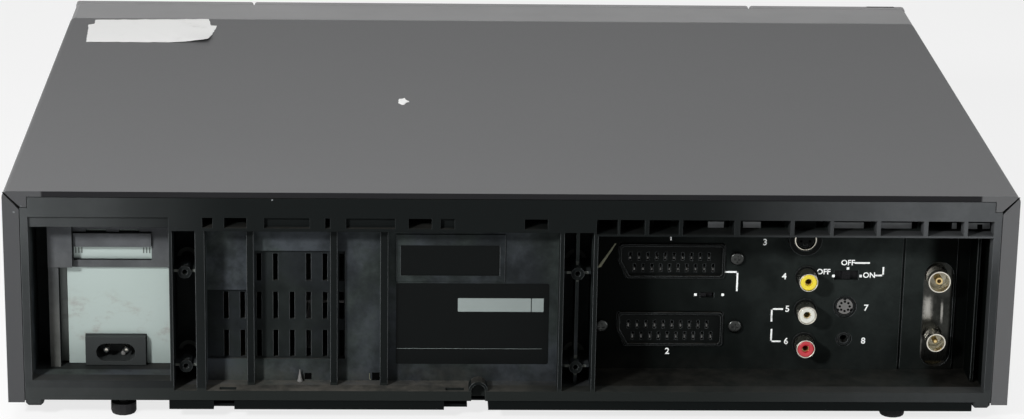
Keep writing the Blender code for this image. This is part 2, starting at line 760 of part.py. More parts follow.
def add_bottom_plate():
    """The pressed base pan with its turned-up walls, board posts, vents and foot holes."""
    back_y = BACK_Y - CLEAR
    front_y = CARRIER_BACK_Y + CLEAR
    pan_top = PAN_FLOOR_Z + PAN_WALL_RISE
    inner = INSIDE_HALF - BASE_SHEET
    pan = block(
        "bottom_plate", (-INSIDE_HALF, front_y, BASE_Z), (INSIDE_HALF, back_y, pan_top), DARK_STEEL
    )
    hollow = block(
        "pan_hollow",
        (-inner, front_y + BASE_SHEET, PAN_FLOOR_Z),
        (inner, back_y - BASE_SHEET, pan_top + CUT),
    )
    back_relief = block(
        "pan_back_relief",
        (-INSIDE_HALF - CUT, deep(PANEL_THICK + CLEAR), PANEL_FOOT_Z - CLEAR),
        (INSIDE_HALF + CUT, BACK_Y + CUT, pan_top + CUT),
    )
    corners = [
        block(
            f"pan_corner_{side}",
            (min(side * (PANEL_HALF - CORNER_FOOT - CLEAR), side * (INSIDE_HALF + CUT)),
             deep(CORNER_FOOT_DEPTH + CLEAR), BASE_Z - CUT),
            (max(side * (PANEL_HALF - CORNER_FOOT - CLEAR), side * (INSIDE_HALF + CUT)),
             BACK_Y + CUT, pan_top + CUT),
        )
        for side in (-1, 1)
    ]
    notches = [
        block(
            f"pan_notch_{index}",
            (along_panel(low), deep(depth), BASE_Z - CUT),
            (along_panel(high), BACK_Y + CUT, pan_top + CUT),
        )
        for index, (low, high, depth) in enumerate(NOTCHES)
    ]
    cut(pan, hollow, back_relief, *corners, *notches)
    posts = [
        rod(f"board_post_{index}", (x, y, BASE_Z + BASE_SHEET / 2),
            (x, y, PAN_FLOOR_Z + BOARD_RISE - CLEAR), BOARD_POST, TINY_ROUND)
        for index, (x, y) in enumerate(board_post_places())
    ]
    join(pan, *posts)
    foot_holes = [
        rod(f"foot_hole_{index}", (x, y, BASE_Z - CUT), (x, y, PAN_FLOOR_Z + CUT),
            FOOT_PEG + CLEAR, TINY_ROUND)
        for index, (x, y) in enumerate(foot_places())
    ]
    slots = [
        block(
            f"base_slot_{index}",
            (x - BASE_SLOT_WIDTH / 2, BASE_SLOT_Y, BASE_Z - CUT),
            (x + BASE_SLOT_WIDTH / 2, BASE_SLOT_Y + BASE_SLOT_LENGTH, PAN_FLOOR_Z + CUT),
        )
        for index, x in enumerate(base_slot_places())
    ]
    cut(pan, *foot_holes, *slots)
    return pan


def base_slot_places():
    """The vents in the pan lie under the power board, side by side."""
    middle = (POWER_BOARD_X + INSIDE_HALF) / 2
    first = middle - BASE_SLOT_PITCH * (BASE_SLOTS - 1) / 2
    return [first + BASE_SLOT_PITCH * index for index in range(BASE_SLOTS)]


def corners_of(low_x, low_y, high_x, high_y, inset):
    return [
        (x, y)
        for x in (low_x + inset, high_x - inset)
        for y in (low_y + inset, high_y - inset)
    ]


def board_post_places():
    """Where the two boards stand on their posts."""
    main = corners_of(
        MAIN_BOARD_X, MAIN_BOARD_FRONT_Y,
        MAIN_BOARD_X + MAIN_BOARD_WIDTH, MAIN_BOARD_FRONT_Y + MAIN_BOARD_DEPTH,
        BOARD_POST_INSET,
    )
    power = corners_of(
        POWER_BOARD_X, POWER_BOARD_FRONT_Y,
        POWER_BOARD_X + POWER_BOARD_WIDTH, POWER_BOARD_BACK_Y,
        BOARD_POST_INSET,
    )
    return main + power


def foot_places():
    """The four feet: back left, back right, front left, front right."""
    across = HALF_WIDTH - FOOT_INSET_X
    return [
        (side * across, y)
        for y in (BACK_Y - FOOT_INSET_Y, FRONT_Y + FACE_DEPTH + CARRIER_DEPTH + 2 * FOOT_INSET_Y)
        for side in (1, -1)
    ]


def add_feet():
    """Turned rubber feet, rounded underneath, with a peg that sits in the pan."""
    names = ("back_left_foot", "back_right_foot", "front_left_foot", "front_right_foot")
    rounding = arc((FOOT_RADIUS - FOOT_ROUND, FOOT_ROUND), FOOT_ROUND, 0, -math.pi / 2, 2)
    profile = [
        (0, BASE_Z + BASE_SHEET),
        (FOOT_PEG, BASE_Z + BASE_SHEET),
        (FOOT_PEG, BASE_Z - CLEAR),
        (FOOT_RADIUS, BASE_Z - CLEAR),
        *rounding,
        (0, 0),
    ]
    for name, (x, y) in zip(names, foot_places()):
        turned(name, profile, (x, y, 0), (0, 0, 1), RUBBER, SMALL_ROUND)


def bays():
    """Each bay between the ribs: its two sides in X, its depth and its top."""
    shares = (INLET_WALL_SHARE, *RIB_SHARES, SOCKET_WALL_SHARE)
    widths = (INLET_WALL, *RIB_WIDTHS, SOCKET_WALL)
    depths = (COLUMN_BAY, SHALLOW_BAY, SHALLOW_BAY, SHALLOW_BAY, SHALLOW_BAY, COLUMN_BAY)
    found = []
    for index, depth in enumerate(depths):
        left = along_panel(shares[index]) - widths[index] / 2
        right = along_panel(shares[index + 1]) + widths[index + 1] / 2
        found.append((right, left, depth))
    return found


def inlet_bay_edge():
    return along_panel(INLET_WALL_SHARE) + INLET_WALL / 2


def bay_cutters():
    """The recesses that are open to the back."""
    mouth = BACK_Y + CUT
    top = BAY_TOP_Z + VENT_BAY_RISE
    tools = [
        block(f"bay_{index}", (low, deep(depth), BAY_FLOOR_Z), (high, mouth, top))
        for index, (low, high, depth) in enumerate(bays())
    ]
    tools.append(
        block("rib_relief", (bays()[4][0], deep(RIB_STANDBACK), BAY_FLOOR_Z),
              (bays()[1][1], mouth, top))
    )
    aerial_edge = along_panel(AERIAL_EDGE_SHARE)
    end_rib = along_panel(END_RIB_SHARE)
    tools.append(
        block("socket_bay", (aerial_edge, deep(SOCKET_BAY), BAY_FLOOR_Z),
              (SOCKET_BAY_EDGE, mouth, BAY_TOP_Z))
    )
    tools.append(
        block("aerial_groove", (end_rib + END_RIB / 2, deep(DEEP_BAY), BAY_FLOOR_Z),
              (aerial_edge + CLEAR, mouth, BAY_TOP_Z))
    )
    tools.append(
        block("end_groove", (-PANEL_INNER, deep(DEEP_BAY), BAY_FLOOR_Z),
              (end_rib - END_RIB / 2, mouth, BAY_TOP_Z))
    )
    tools.append(
        block("end_rib_relief", (-PANEL_INNER, deep(END_RIB_STANDBACK), BAY_FLOOR_Z),
              (aerial_edge, mouth, BAY_TOP_Z))
    )
    seam_x = along_panel(SEAM_SHARE)
    tools.append(
        block("socket_seam", (seam_x - SEAM_GROOVE / 2, deep(SOCKET_BAY + SEAM_CUT), BAY_FLOOR_Z),
              (seam_x + SEAM_GROOVE / 2, mouth, BAY_TOP_Z))
    )
    for index, (low, high) in enumerate(LIP_SLOT_SHARES):
        tools.append(
            block(
                f"lip_slot_{index}",
                (along_panel(low), deep(LIP_SLOT_STANDBACK + LIP_SLOT), PANEL_FOOT_Z - CUT),
                (along_panel(high), deep(LIP_SLOT_STANDBACK), BAY_FLOOR_Z + CUT),
            )
        )
    return tools


def inlet_bay_cutters():
    """The mains bay: a field with a proud block and column, and a deep groove by the frame."""
    edge = inlet_bay_edge()
    column = along_panel(COLUMN_EDGE_SHARE)
    groove = along_panel(GROOVE_SHARE)
    block_edge = along_panel(BLOCK_EDGE_SHARE)
    block_z = up_bay(BLOCK_FOOT_SHARE)
    mouth = BACK_Y + CUT
    shallow = deep(INLET_BAY - BLOCK_PROUD)
    return [
        block("inlet_front", (edge, shallow, INLET_FLOOR_Z), (PANEL_INNER, mouth, INLET_BAY_TOP_Z)),
        block("inlet_field", (edge, deep(INLET_BAY), INLET_FLOOR_Z),
              (column, shallow + CUT, block_z)),
        block("inlet_head", (edge, deep(INLET_BAY), block_z - CUT),
              (block_edge, shallow + CUT, INLET_BAY_TOP_Z)),
        block("inlet_column", (column - CLEAR, deep(INLET_BAY - COLUMN_PROUD), INLET_FLOOR_Z),
              (groove, shallow + CUT, block_z)),
        block("inlet_groove", (groove, deep(DEEP_BAY), INLET_FLOOR_Z),
              (PANEL_INNER, shallow + CUT, INLET_BAY_TOP_Z)),
        block("inlet_band", (edge, deep(BAND_DEPTH), INLET_BAY_TOP_Z - CUT),
              (PANEL_INNER, mouth, BAR_FOOT_Z)),
    ]


def hook_cutters():
    """The slots under the top bar, and over the sockets a row of windows with holes behind."""
    open_end = PANEL_THICK + CUT
    groups = (
        ("hook_slot", HOOK_SLOT_SHARES, open_end, HOOK_STEP),
        ("blind_slot", BLIND_SLOT_SHARES, HOOK_SHALLOW, HOOK_STEP),
        ("hook_window", HOOK_WINDOW_SHARES, HOOK_DEPTH, 0),
        ("window_hole", WINDOW_HOLE_SHARES, open_end, 0),
    )
    tools = []
    for name, shares, depth, step in groups:
        for index, (left, right) in enumerate(shares):
            tools.append(
                block(
                    f"{name}_{index}",
                    (along_panel(right), deep(depth), BAR_FOOT_Z - HOOK_ROW + step),
                    (along_panel(left), BACK_Y + CUT, BAR_FOOT_Z),
                )
            )
    return tools


def vent_cutters():
    """The sunk vent fields and their slots, in columns and rows."""
    low = up_bay(VENT_FIELD_LOW_SHARE)
    end = along_panel(VENT_FIELD_END_SHARE)
    tools = []
    for (right, left, depth), share in zip(bays()[1:4], VENT_FIELD_TOP_SHARES):
        tools.append(
            block(f"vent_field_{len(tools)}", (max(right, end), deep(depth + VENT_STEP), low),
                  (left, deep(depth - CLEAR), up_bay(share)))
        )
    first = along_panel(VENT_FIRST_SHARE)
    for column in range(VENT_COLUMNS):
        x = first - VENT_PITCH * column
        for row in range(VENT_ROWS):
            if (column, row) in BLIND_VENTS:
                continue
            z = up_bay(VENT_LOW_SHARE + VENT_PITCH_SHARE * row)
            tools.append(
                block(
                    f"vent_{column}_{row}",
                    (x - VENT_WIDTH / 2, deep(SHALLOW_BAY + VENT_STEP + PANEL_WALL + CUT),
                     z - VENT_HEIGHT / 2),
                    (x + VENT_WIDTH / 2, deep(SHALLOW_BAY - CLEAR), z + VENT_HEIGHT / 2),
                )
            )
    return tools


def back_cutters():
    """What the moulding leaves open on its inner side."""
    left = along_panel(RIB_SHARES[0]) - PANEL_WALL
    right = along_panel(RIB_SHARES[4]) + PANEL_WALL
    inner = deep(PANEL_THICK + CUT)
    shallow = block(
        "behind_vents", (right, inner, BAY_FLOOR_Z),
        (left, deep(SHALLOW_BAY + VENT_STEP + PANEL_WALL), BAY_TOP_Z),
    )
    beam = block(
        "behind_beam", (-PANEL_HALF - CUT, inner, INLET_BAY_TOP_Z + PANEL_WALL),
        (PANEL_HALF + CUT, deep(BEAM_DEPTH), PANEL_TOP_Z + CUT),
    )
    sockets = block(
        "behind_sockets", (along_sockets(1), inner, BAY_FLOOR_Z),
        (SOCKET_BAY_EDGE, deep(SOCKET_BAY + PANEL_WALL), BAY_TOP_Z),
    )
    mains = block(
        "behind_mains", (inlet_bay_edge(), inner, PANEL_FOOT_Z - CUT),
        (along_panel(COLUMN_EDGE_SHARE), deep(INLET_BAY + PANEL_WALL), INLET_BAY_TOP_Z),
    )
    return [shallow, beam, sockets, mains]


def boss_places():
    """The two screw columns: the middle of each in X, with the heights of its bosses."""
    first, last = bays()[0], bays()[5]
    return [
        ((low + high) / 2, up_bay(share))
        for low, high, _depth in (first, last)
        for share in BOSS_HEIGHT_SHARES
    ]


def screw_columns():
    """Bosses, their side wings and the rib behind the second pair."""
    tools = []
    inner = deep(COLUMN_BAY + PANEL_WALL / 2)
    half = (bays()[0][1] - bays()[0][0]) / 2 + PANEL_WALL / 2
    for index, (x, z) in enumerate(boss_places()):
        tools.append(
            rod(f"boss_{index}", (x, inner, z), (x, deep(BOSS_STANDBACK), z), BOSS_RADIUS)
        )
        tools.append(
            block(f"wing_{index}", (x - half, inner, z - WING / 2),
                  (x + half, deep(WING_STANDBACK), z + WING / 2))
        )
    x = boss_places()[2][0]
    tools.append(
        block("column_rib", (x - COLUMN_RIB / 2, inner, BAY_FLOOR_Z - PANEL_WALL / 2),
              (x + COLUMN_RIB / 2, deep(WING_STANDBACK + WING),
               BAY_TOP_Z + VENT_BAY_RISE + SILL / 4))
    )
    return tools


def floor_arch():
    """The small vault on the floor over a screw, and the tunnel under it."""
    x = along_panel(ARCH_SHARE)
    place = facing_y((x, deep(ARCH_LENGTH / 2 + CLEAR), BAY_FLOOR_Z))
    foot = [(ARCH_RADIUS, -PANEL_WALL / 2), (-ARCH_RADIUS, -PANEL_WALL / 2)]
    vault = arc((0, 0), ARCH_RADIUS, math.pi, 0, ARCH_STEPS) + foot
    hole = arc((0, 0), ARCH_TUNNEL, math.pi, 0, ARCH_STEPS)
    hole += [(ARCH_TUNNEL, -LIP_RISE - CUT), (-ARCH_TUNNEL, -LIP_RISE - CUT)]
    tunnel_place = facing_y((x, deep(ARCH_LENGTH / 2 - CUT / 2), BAY_FLOOR_Z))
    solid = outline("floor_arch", [vault], ARCH_LENGTH, place)
    tunnel = outline("arch_tunnel", [hole], ARCH_LENGTH, tunnel_place)
    return solid, tunnel


def inlet_bracket():
    """The proud plate over the mains window."""
    return block(
        "inlet_bracket",
        (along_panel(STRIP_RIGHT_SHARE), deep(INLET_BAY + PANEL_WALL / 2),
         up_bay(BRACKET_LOW_SHARE)),
        (along_panel(STRIP_LEFT_SHARE), deep(INLET_BAY - BRACKET_PROUD),
         up_bay(BRACKET_HIGH_SHARE)),
    )


def screw_places():
    """The screws beside the scart sockets: one above, two below."""
    x = along_sockets(SCART_SHARE)
    low, high = (up_bay(share) + SCREW_LIFT for share in SCART_HEIGHT_SHARES)
    reach = SCART_WIDTH / 2 + SCREW_RADIUS
    left, right = SCREW_GAPS
    return [(x + reach + left, low), (x - reach - right, low), (x - reach - right, high)]


def panel_openings():
    """Holes through the inner walls for the sockets, switches, shield and aerial."""
    front = deep(SOCKET_BAY - CUT)
    inner = deep(PANEL_THICK + CUT)
    middle = (front + inner) / 2
    through = front - inner
    tools = []
    for index, share in enumerate(SCART_HEIGHT_SHARES):
        place = facing_y((along_sockets(SCART_SHARE), middle, up_bay(share)))
        tools.append(outline(f"scart_hole_{index}", [scart_outline(CLEAR)], through, place))
    rounds = [
        ("s_video_hole", S_VIDEO_SHARES, S_VIDEO_RADIUS + CLEAR),
        ("edit_hole", EDIT_SHARES, EDIT_RIM + CLEAR),
        ("jack_hole", JACK_SHARES, JACK_RADIUS + CLEAR),
    ]
    for index, share in enumerate(PHONO_HEIGHT_SHARES):
        rounds.append((f"phono_hole_{index}", (PHONO_SHARE, share), SOCKET_NECK + CLEAR))
    for name, (across, up), radius in rounds:
        x, z = along_sockets(across), up_bay(up)
        tools.append(rod(name, (x, inner, z), (x, front, z), radius))
    for name, shares, width, tall in (
        ("rf_switch_slot", RF_SWITCH_SHARES, RF_SLOT_WIDTH, RF_SLOT_TALL),
        ("selector_slot", SELECTOR_SHARES, SELECTOR_SLOT_WIDTH, SELECTOR_SLOT_TALL),
    ):
        x, z = along_sockets(shares[0]), up_bay(shares[1])
        tools.append(
            block(name, (x - width / 2, inner, z - tall / 2), (x + width / 2, front, z + tall / 2))
        )
    tools.append(aerial_opening(middle, through))
    tools += inlet_openings(inner)
    return tools


def aerial_opening(middle, through):
    low, high = up_bay(STADIUM_LOW_SHARE), up_bay(STADIUM_HIGH_SHARE)
    place = facing_y((along_panel(STADIUM_SHARE), middle, (low + high) / 2))
    upright = [(z, x) for x, z in stadium(high - low, STADIUM_WIDTH)]
    return outline("aerial_opening", [upright], through, place)


def inlet_openings(inner):
    """The window that shows the shield, the slot over it and the two small slots at the top."""
    low_x = inlet_bay_edge()
    high_x = along_panel(COLUMN_EDGE_SHARE)
    mouth = deep(INLET_BAY - CUT)
    top = up_bay(WINDOW_TOP_SHARE)
    border = [
        (low_x, INLET_FLOOR_Z),
        (high_x, INLET_FLOOR_Z),
        (high_x, top),
        (low_x + WINDOW_CHAMFER, top),
        (low_x, top - WINDOW_CHAMFER),
    ]
    tools = [
        outline("shield_window", [border], mouth - inner, facing_y((0, (mouth + inner) / 2, 0))),
        block(
            "shield_slot",
            (along_panel(STRIP_RIGHT_SHARE), inner, up_bay(STRIP_LOW_SHARE)),
            (along_panel(STRIP_LEFT_SHARE), mouth, up_bay(STRIP_HIGH_SHARE)),
        ),
    ]
    z = up_bay(KEYHOLE_SHARE)
    for index, (low, high) in enumerate(KEYHOLE_SHARES):
        tools.append(
            block(f"keyhole_{index}", (along_panel(low), inner, z - KEYHOLE / 2),
                  (along_panel(high), mouth, z + KEYHOLE / 2))
        )
    return tools


def add_rear_panel():
    """The moulded back: one frame cut into bays from the back and hollowed from inside."""
    panel = block(
        "rear_panel",
        (-PANEL_HALF, deep(PANEL_THICK), PANEL_FOOT_Z),
        (PANEL_HALF, BACK_Y, PANEL_TOP_Z),
        DARK_PLASTIC,
    )
    behind_lips = COVER_SHEET + CLEAR
    flange = block(
        "panel_flange",
        (-INSIDE_HALF, deep(behind_lips + PANEL_FLANGE), PANEL_FOOT_Z),
        (INSIDE_HALF, deep(behind_lips), TOP_Z - COVER_SHEET - CLEAR),
    )
    feet = [
        block(
            f"corner_foot_{side}",
            (min(side * PANEL_HALF, side * (PANEL_HALF - CORNER_FOOT)),
             deep(CORNER_FOOT_DEPTH), BASE_Z + CORNER_LIFT),
            (max(side * PANEL_HALF, side * (PANEL_HALF - CORNER_FOOT)), BACK_Y,
             PANEL_FOOT_Z + CUT),
        )
        for side in (-1, 1)
    ]
    for foot in feet:
        round_edges(foot, FACE_ROUND, 1)
    bend = [
        block(
            f"bend_relief_{side}",
            (min(side * (INSIDE_HALF - COVER_BEND), side * (INSIDE_HALF + CUT)),
             deep(PANEL_THICK + CUT), TOP_Z - COVER_SHEET - CLEAR - COVER_BEND),
            (max(side * (INSIDE_HALF - COVER_BEND), side * (INSIDE_HALF + CUT)),
             BACK_Y + CUT, TOP_Z + CUT),
        )
        for side in (-1, 1)
    ]
    tongues = [
        block(
            f"tongue_relief_{side}",
            (min(side * (PANEL_HALF - TONGUE_WIDTH), side * (PANEL_HALF + CUT)),
             deep(behind_lips), TOP_Z - LIP_WIDTH - CLEAR),
            (max(side * (PANEL_HALF - TONGUE_WIDTH), side * (PANEL_HALF + CUT)),
             BACK_Y + CUT, TOP_Z + CUT),
        )
        for side in (-1, 1)
    ]
    join(panel, flange, *feet)
    cut(panel, *bay_cutters(), *inlet_bay_cutters(), *hook_cutters(), *back_cutters())
    cut(panel, *vent_cutters(), *bend, *tongues)
    vault, tunnel = floor_arch()
    join(panel, *screw_columns(), inlet_bracket(), vault)
    holes = [
        rod(f"boss_hole_{index}", (x, deep(BOSS_STANDBACK + BOSS_HOLE_DEPTH), z),
            (x, deep(BOSS_STANDBACK - CUT), z), BOSS_HOLE, TINY_ROUND)
        for index, (x, z) in enumerate(boss_places())
    ]
    cut(panel, *holes, *panel_openings(), tunnel)
    screws = [
        rod(f"panel_screw_{index}", (x, deep(SOCKET_BAY + PANEL_WALL / 2), z),
            (x, deep(SOCKET_BAY - SCREW_PROUD), z), SCREW_RADIUS, TINY_ROUND)
        for index, (x, z) in enumerate(screw_places())
    ]
    join(panel, *screws)
    return panel


def scart_outline(grow):
    """A long rectangle with one lower corner skewed and the others nicked."""
    half = SCART_WIDTH / 2 + grow
    tall = SCART_TALL / 2 + grow
    nick = SCART_SKEW / 4
    return [
        (half - SCART_SKEW, -tall),
        (half, 0),
        (half, tall - nick),
        (half - nick, tall),
        (-half + nick, tall),
        (-half, tall - nick),
        (-half, -tall + nick),
        (-half + nick, -tall),
    ]


def add_scart_socket(name, share):
    """A shielded socket with two rows of contact slots."""
    x, z = along_sockets(SCART_SHARE), up_bay(share)
    front = deep(SOCKET_BAY - SCART_PROUD)
    back = SOCKET_SEAT_Y + CLEAR
    place = facing_y((x, (front + back) / 2, z))
    socket = outline(name, [scart_outline(0)], front - back, place, BLACK_PLASTIC)
    recess = outline(
        f"{name}_recess",
        [scart_outline(-SCART_RIM)],
        SCART_RECESS + CUT,
        facing_y((x, front + (CUT - SCART_RECESS) / 2, z)),
    )
    floor = front - SCART_RECESS
    slots = []
    for row, shift in ((SCART_ROW, SCART_PITCH / 4), (-SCART_ROW, -SCART_PITCH / 4)):
        first = x + shift - SCART_PITCH * (SCART_CONTACTS - 1) / 2
        for index in range(SCART_CONTACTS):
            place = first + SCART_PITCH * index
            slots.append(
                block(
                    f"{name}_slot_{row > 0}_{index}",
                    (place - SCART_SLOT / 2, floor - SCART_SLOT_DEPTH,
                     z - SCART_DROP + row - SCART_SLOT_TALL / 2),
                    (place + SCART_SLOT / 2, floor + CUT,
                     z - SCART_DROP + row + SCART_SLOT_TALL / 2),
                )
            )
    cut(socket, recess)
    cut(socket, *slots)
    return socket


def round_socket(name, shares, profile, finish, sides=ROUND):
    """A turned socket whose body stands on the board behind the panel."""
    base = (along_sockets(shares[0]), SOCKET_SEAT_Y, up_bay(shares[1]))
    return turned(name, profile, base, (0, 1, 0), finish, sides)


def add_round_sockets():
    """Heights are measured from the board, so the panel's inner wall is at the body's length."""
    wall = SOCKET_BODY + PANEL_WALL
    phono = [
        (0, wall + PHONO_REACH - PHONO_BORE_DEPTH),
        (PHONO_BORE, wall + PHONO_REACH - PHONO_BORE_DEPTH),
        (PHONO_BORE, wall + PHONO_REACH),
        (PHONO_RING, wall + PHONO_REACH),
        (PHONO_RING, wall + 2 * CLEAR + PHONO_COLLAR),
        (PHONO_FLANGE, wall + 2 * CLEAR + PHONO_COLLAR),
        (PHONO_FLANGE, wall + CLEAR),
        (SOCKET_NECK, wall + CLEAR),
        (SOCKET_NECK, CLEAR),
        (0, CLEAR),
    ]
    names = ("video_out_socket", "left_audio_socket", "right_audio_socket")
    for name, share, finish in zip(names, PHONO_HEIGHT_SHARES, (YELLOW, WHITE, RED)):
        round_socket(name, (PHONO_SHARE, share), phono, finish)
    rim = wall + S_VIDEO_PROUD
    s_video = [
        (0, rim - S_VIDEO_RECESS),
        (S_VIDEO_CORE, rim - S_VIDEO_RECESS),
        (S_VIDEO_CORE, rim - S_VIDEO_GROOVE),
        (S_VIDEO_RING, rim - S_VIDEO_GROOVE),
        (S_VIDEO_RING, rim),
        (S_VIDEO_RADIUS, rim),
        (S_VIDEO_RADIUS, CLEAR),
        (0, CLEAR),
    ]
    round_socket("s_video_socket", S_VIDEO_SHARES, s_video, BLACK_PLASTIC)
    face = wall - EDIT_SUNK
    edit = [
        (0, face),
        (EDIT_FACE, face),
        (EDIT_FACE, face - EDIT_GROOVE),
        (EDIT_FACE + CLEAR, face - EDIT_GROOVE),
        (EDIT_FACE + CLEAR, face + EDIT_SUNK / 2),
        (EDIT_RIM, face + EDIT_SUNK / 2),
        (EDIT_RIM, CLEAR),
        (0, CLEAR),
    ]
    round_socket("edit_socket", EDIT_SHARES, edit, BLACK_PLASTIC)
    mouth = wall - JACK_SUNK
    jack = [
        (0, mouth - JACK_BORE_DEPTH),
        (JACK_BORE, mouth - JACK_BORE_DEPTH),
        (JACK_BORE, mouth),
        (JACK_RADIUS, mouth),
        (JACK_RADIUS, CLEAR),
        (0, CLEAR),
    ]
    round_socket("control_jack", JACK_SHARES, jack, BLACK_PLASTIC, SMALL_ROUND)


def add_switch_knob(name, shares, slot_width, slot_tall, width, shift):
    """A knob in its slot, with a plate behind the panel that covers the slot."""
    x, z = along_sockets(shares[0]) + shift, up_bay(shares[1])
    face = deep(SOCKET_BAY + KNOB_SUNK)
    back = deep(SOCKET_BAY + PANEL_WALL + CLEAR)
    tall = slot_tall / 2 - CLEAR
    knob = block(name, (x - width / 2, back - CUT / 2, z - tall), (x + width / 2, face, z + tall),
                 BLACK_PLASTIC)
    reach = slot_width / 2 + width / 2
    plate = block(
        f"{name}_plate",
        (x - reach, back - KNOB_PLATE, z - slot_tall / 2 - KNOB_PLATE),
        (x + reach, back, z + slot_tall / 2 + KNOB_PLATE),
    )
    switch_seat = block(
        f"{name}_stem",
        (x - width / 2, SOCKET_SEAT_Y + CLEAR, z - tall),
        (x + width / 2, back - KNOB_PLATE / 2, z + tall),
    )
    return join(knob, plate, switch_seat)


def add_mains_inlet():
    """The two-pin inlet block on the power board."""
    x = along_panel(INLET_SHARE)
    low_z = INLET_FLOOR_Z + CLEAR
    front = deep(INLET_STANDBACK)
    back = deep(PANEL_THICK + INLET_BACK)
    inlet = block(
        "mains_inlet",
        (x - INLET_WIDTH / 2, back, low_z),
        (x + INLET_WIDTH / 2, front, low_z + INLET_HEIGHT),
        BLACK_PLASTIC,
    )
    z = low_z + SOCKET_BASE + SOCKET_HEIGHT / 2
    base = block(
        "inlet_base",
        (x - INLET_WIDTH / 2, back, BOARD_TOP_Z + CLEAR),
        (x + INLET_WIDTH / 2, deep(PANEL_THICK + CLEAR), low_z + CUT),
    )
    mouth = outline(
        "inlet_mouth",
        [stadium(SOCKET_LENGTH, SOCKET_HEIGHT)],
        SOCKET_CAVITY + CUT,
        facing_y((x, front + (CUT - SOCKET_CAVITY) / 2, z)),
    )
    join(inlet, base)
    cut(inlet, mouth)
    pins = [
        rod(f"inlet_pin_{side}",
            (x + side * PIN_PITCH / 2, front - SOCKET_CAVITY - CUT / 2, z),
            (x + side * PIN_PITCH / 2, front - PIN_STANDBACK, z), PIN_RADIUS, TINY_ROUND)
        for side in (-1, 1)
    ]
    join(inlet, *pins)
    return inlet


def add_power_shield():
    """The pale plate behind the mains bay, notched round the inlet."""
    low_x = inlet_bay_edge() + CLEAR
    high_x = low_x + SHIELD_WIDTH
    low_z = PAN_FLOOR_Z + CLEAR
    high_z = INLET_BAY_TOP_Z - CLEAR
    x = along_panel(INLET_SHARE)
    half = INLET_WIDTH / 2 + CLEAR
    inlet_z = INLET_FLOOR_Z + INLET_HEIGHT + 2 * CLEAR
    border = [
        (high_x, low_z),
        (high_x, high_z),
        (low_x, high_z),
        (low_x, low_z),
        (x - half, low_z),
        (x - half, inlet_z),
        (x + half, inlet_z),
        (x + half, low_z),
    ]
    place = facing_y((0, deep(INLET_BAY + PANEL_WALL + CLEAR + SHIELD / 2), 0))
    return outline("power_shield", [border], SHIELD, place, PALE_PLATE)


def add_aerial_sockets():
    """The tuner can, with the two coaxial sockets that stand out of it."""
    middle = along_panel(STADIUM_SHARE)
    face = deep(PANEL_THICK + CLEAR)
    block(
        "tuner_can",
        (middle - TUNER_WIDTH / 2, face - TUNER_DEPTH, BOARD_TOP_Z + CLEAR),
        (middle + TUNER_WIDTH / 2, face, BOARD_TOP_Z + CLEAR + TUNER_HEIGHT),
        ZINC,
    )
    x = along_panel(AERIAL_SHARE)
    reach = PANEL_THICK + CLEAR - AERIAL_STANDBACK
    low, high = (up_bay(share) for share in AERIAL_HEIGHT_SHARES)
    for name, z, radius, pin in (
        ("rf_out_socket", low, AERIAL_OUT_RADIUS, AERIAL_PIN / 2),
        ("aerial_socket", high, AERIAL_IN_RADIUS, AERIAL_PIN),
    ):
        profile = [
            (0, reach - AERIAL_CAVITY / 4),
            (pin, reach - AERIAL_CAVITY / 4),
            (pin, reach - AERIAL_CAVITY),
            (radius - AERIAL_WALL, reach - AERIAL_CAVITY),
            (radius - AERIAL_WALL, reach),
            (radius, reach),
            (radius, CLEAR),
            (0, CLEAR),
        ]
        turned(name, profile, (x, face, z), (0, 1, 0), NICKEL, SMALL_ROUND)


def add_front_fascia():
    """The carrier behind the face plates: a tray open at the back, pierced for the controls."""
    carrier = block(
        "front_fascia",
        (-HALF_WIDTH, CARRIER_FRONT_Y - COVER_BEND, BASE_Z),
        (HALF_WIDTH, CARRIER_BACK_Y + COVER_BEND, TOP_Z),
        FASCIA_GREY,
    )
    round_edges(carrier, COVER_BEND)
    ends = [
        block(
            f"carrier_end_{index}",
            (-HALF_WIDTH - CUT, min(flat_y, round_y), BASE_Z - CUT),
            (HALF_WIDTH + CUT, max(flat_y, round_y), TOP_Z + CUT),
        )
        for index, (flat_y, round_y) in enumerate((
            (CARRIER_FRONT_Y, CARRIER_FRONT_Y - COVER_BEND - CUT),
            (CARRIER_BACK_Y, CARRIER_BACK_Y + COVER_BEND + CUT),
        ))
    ]
    hollow = block(
        "carrier_hollow",
        (-HALF_WIDTH + WALL, CARRIER_FRONT_Y + WALL, BASE_Z + WALL),
        (HALF_WIDTH - WALL, CARRIER_BACK_Y + COVER_BEND + CUT, TOP_Z - WALL),
    )
    mouth_half = FLAP_WIDTH / 2 + CLEAR + EAR + CLEAR
    slot = block(
        "carrier_slot",
        (CENTRE_X - mouth_half, CARRIER_FRONT_Y - CUT, FLAP_FOOT_Z - CLEAR),
        (CENTRE_X + mouth_half, CARRIER_FRONT_Y + WALL + CUT, FLAP_TOP_Z + CLEAR),
    )
    cut(carrier, *ends, hollow, slot)
    spindle = rod(
        "dial_spindle",
        (DIAL_X, CARRIER_FRONT_Y + WALL / 2, DIAL_Z),
        (DIAL_X, FRONT_Y + CLEAR + JOG_SUNK + WALL + CLEAR, DIAL_Z),
        SPINDLE_RADIUS,
    )
    join(carrier, spindle)
    return carrier


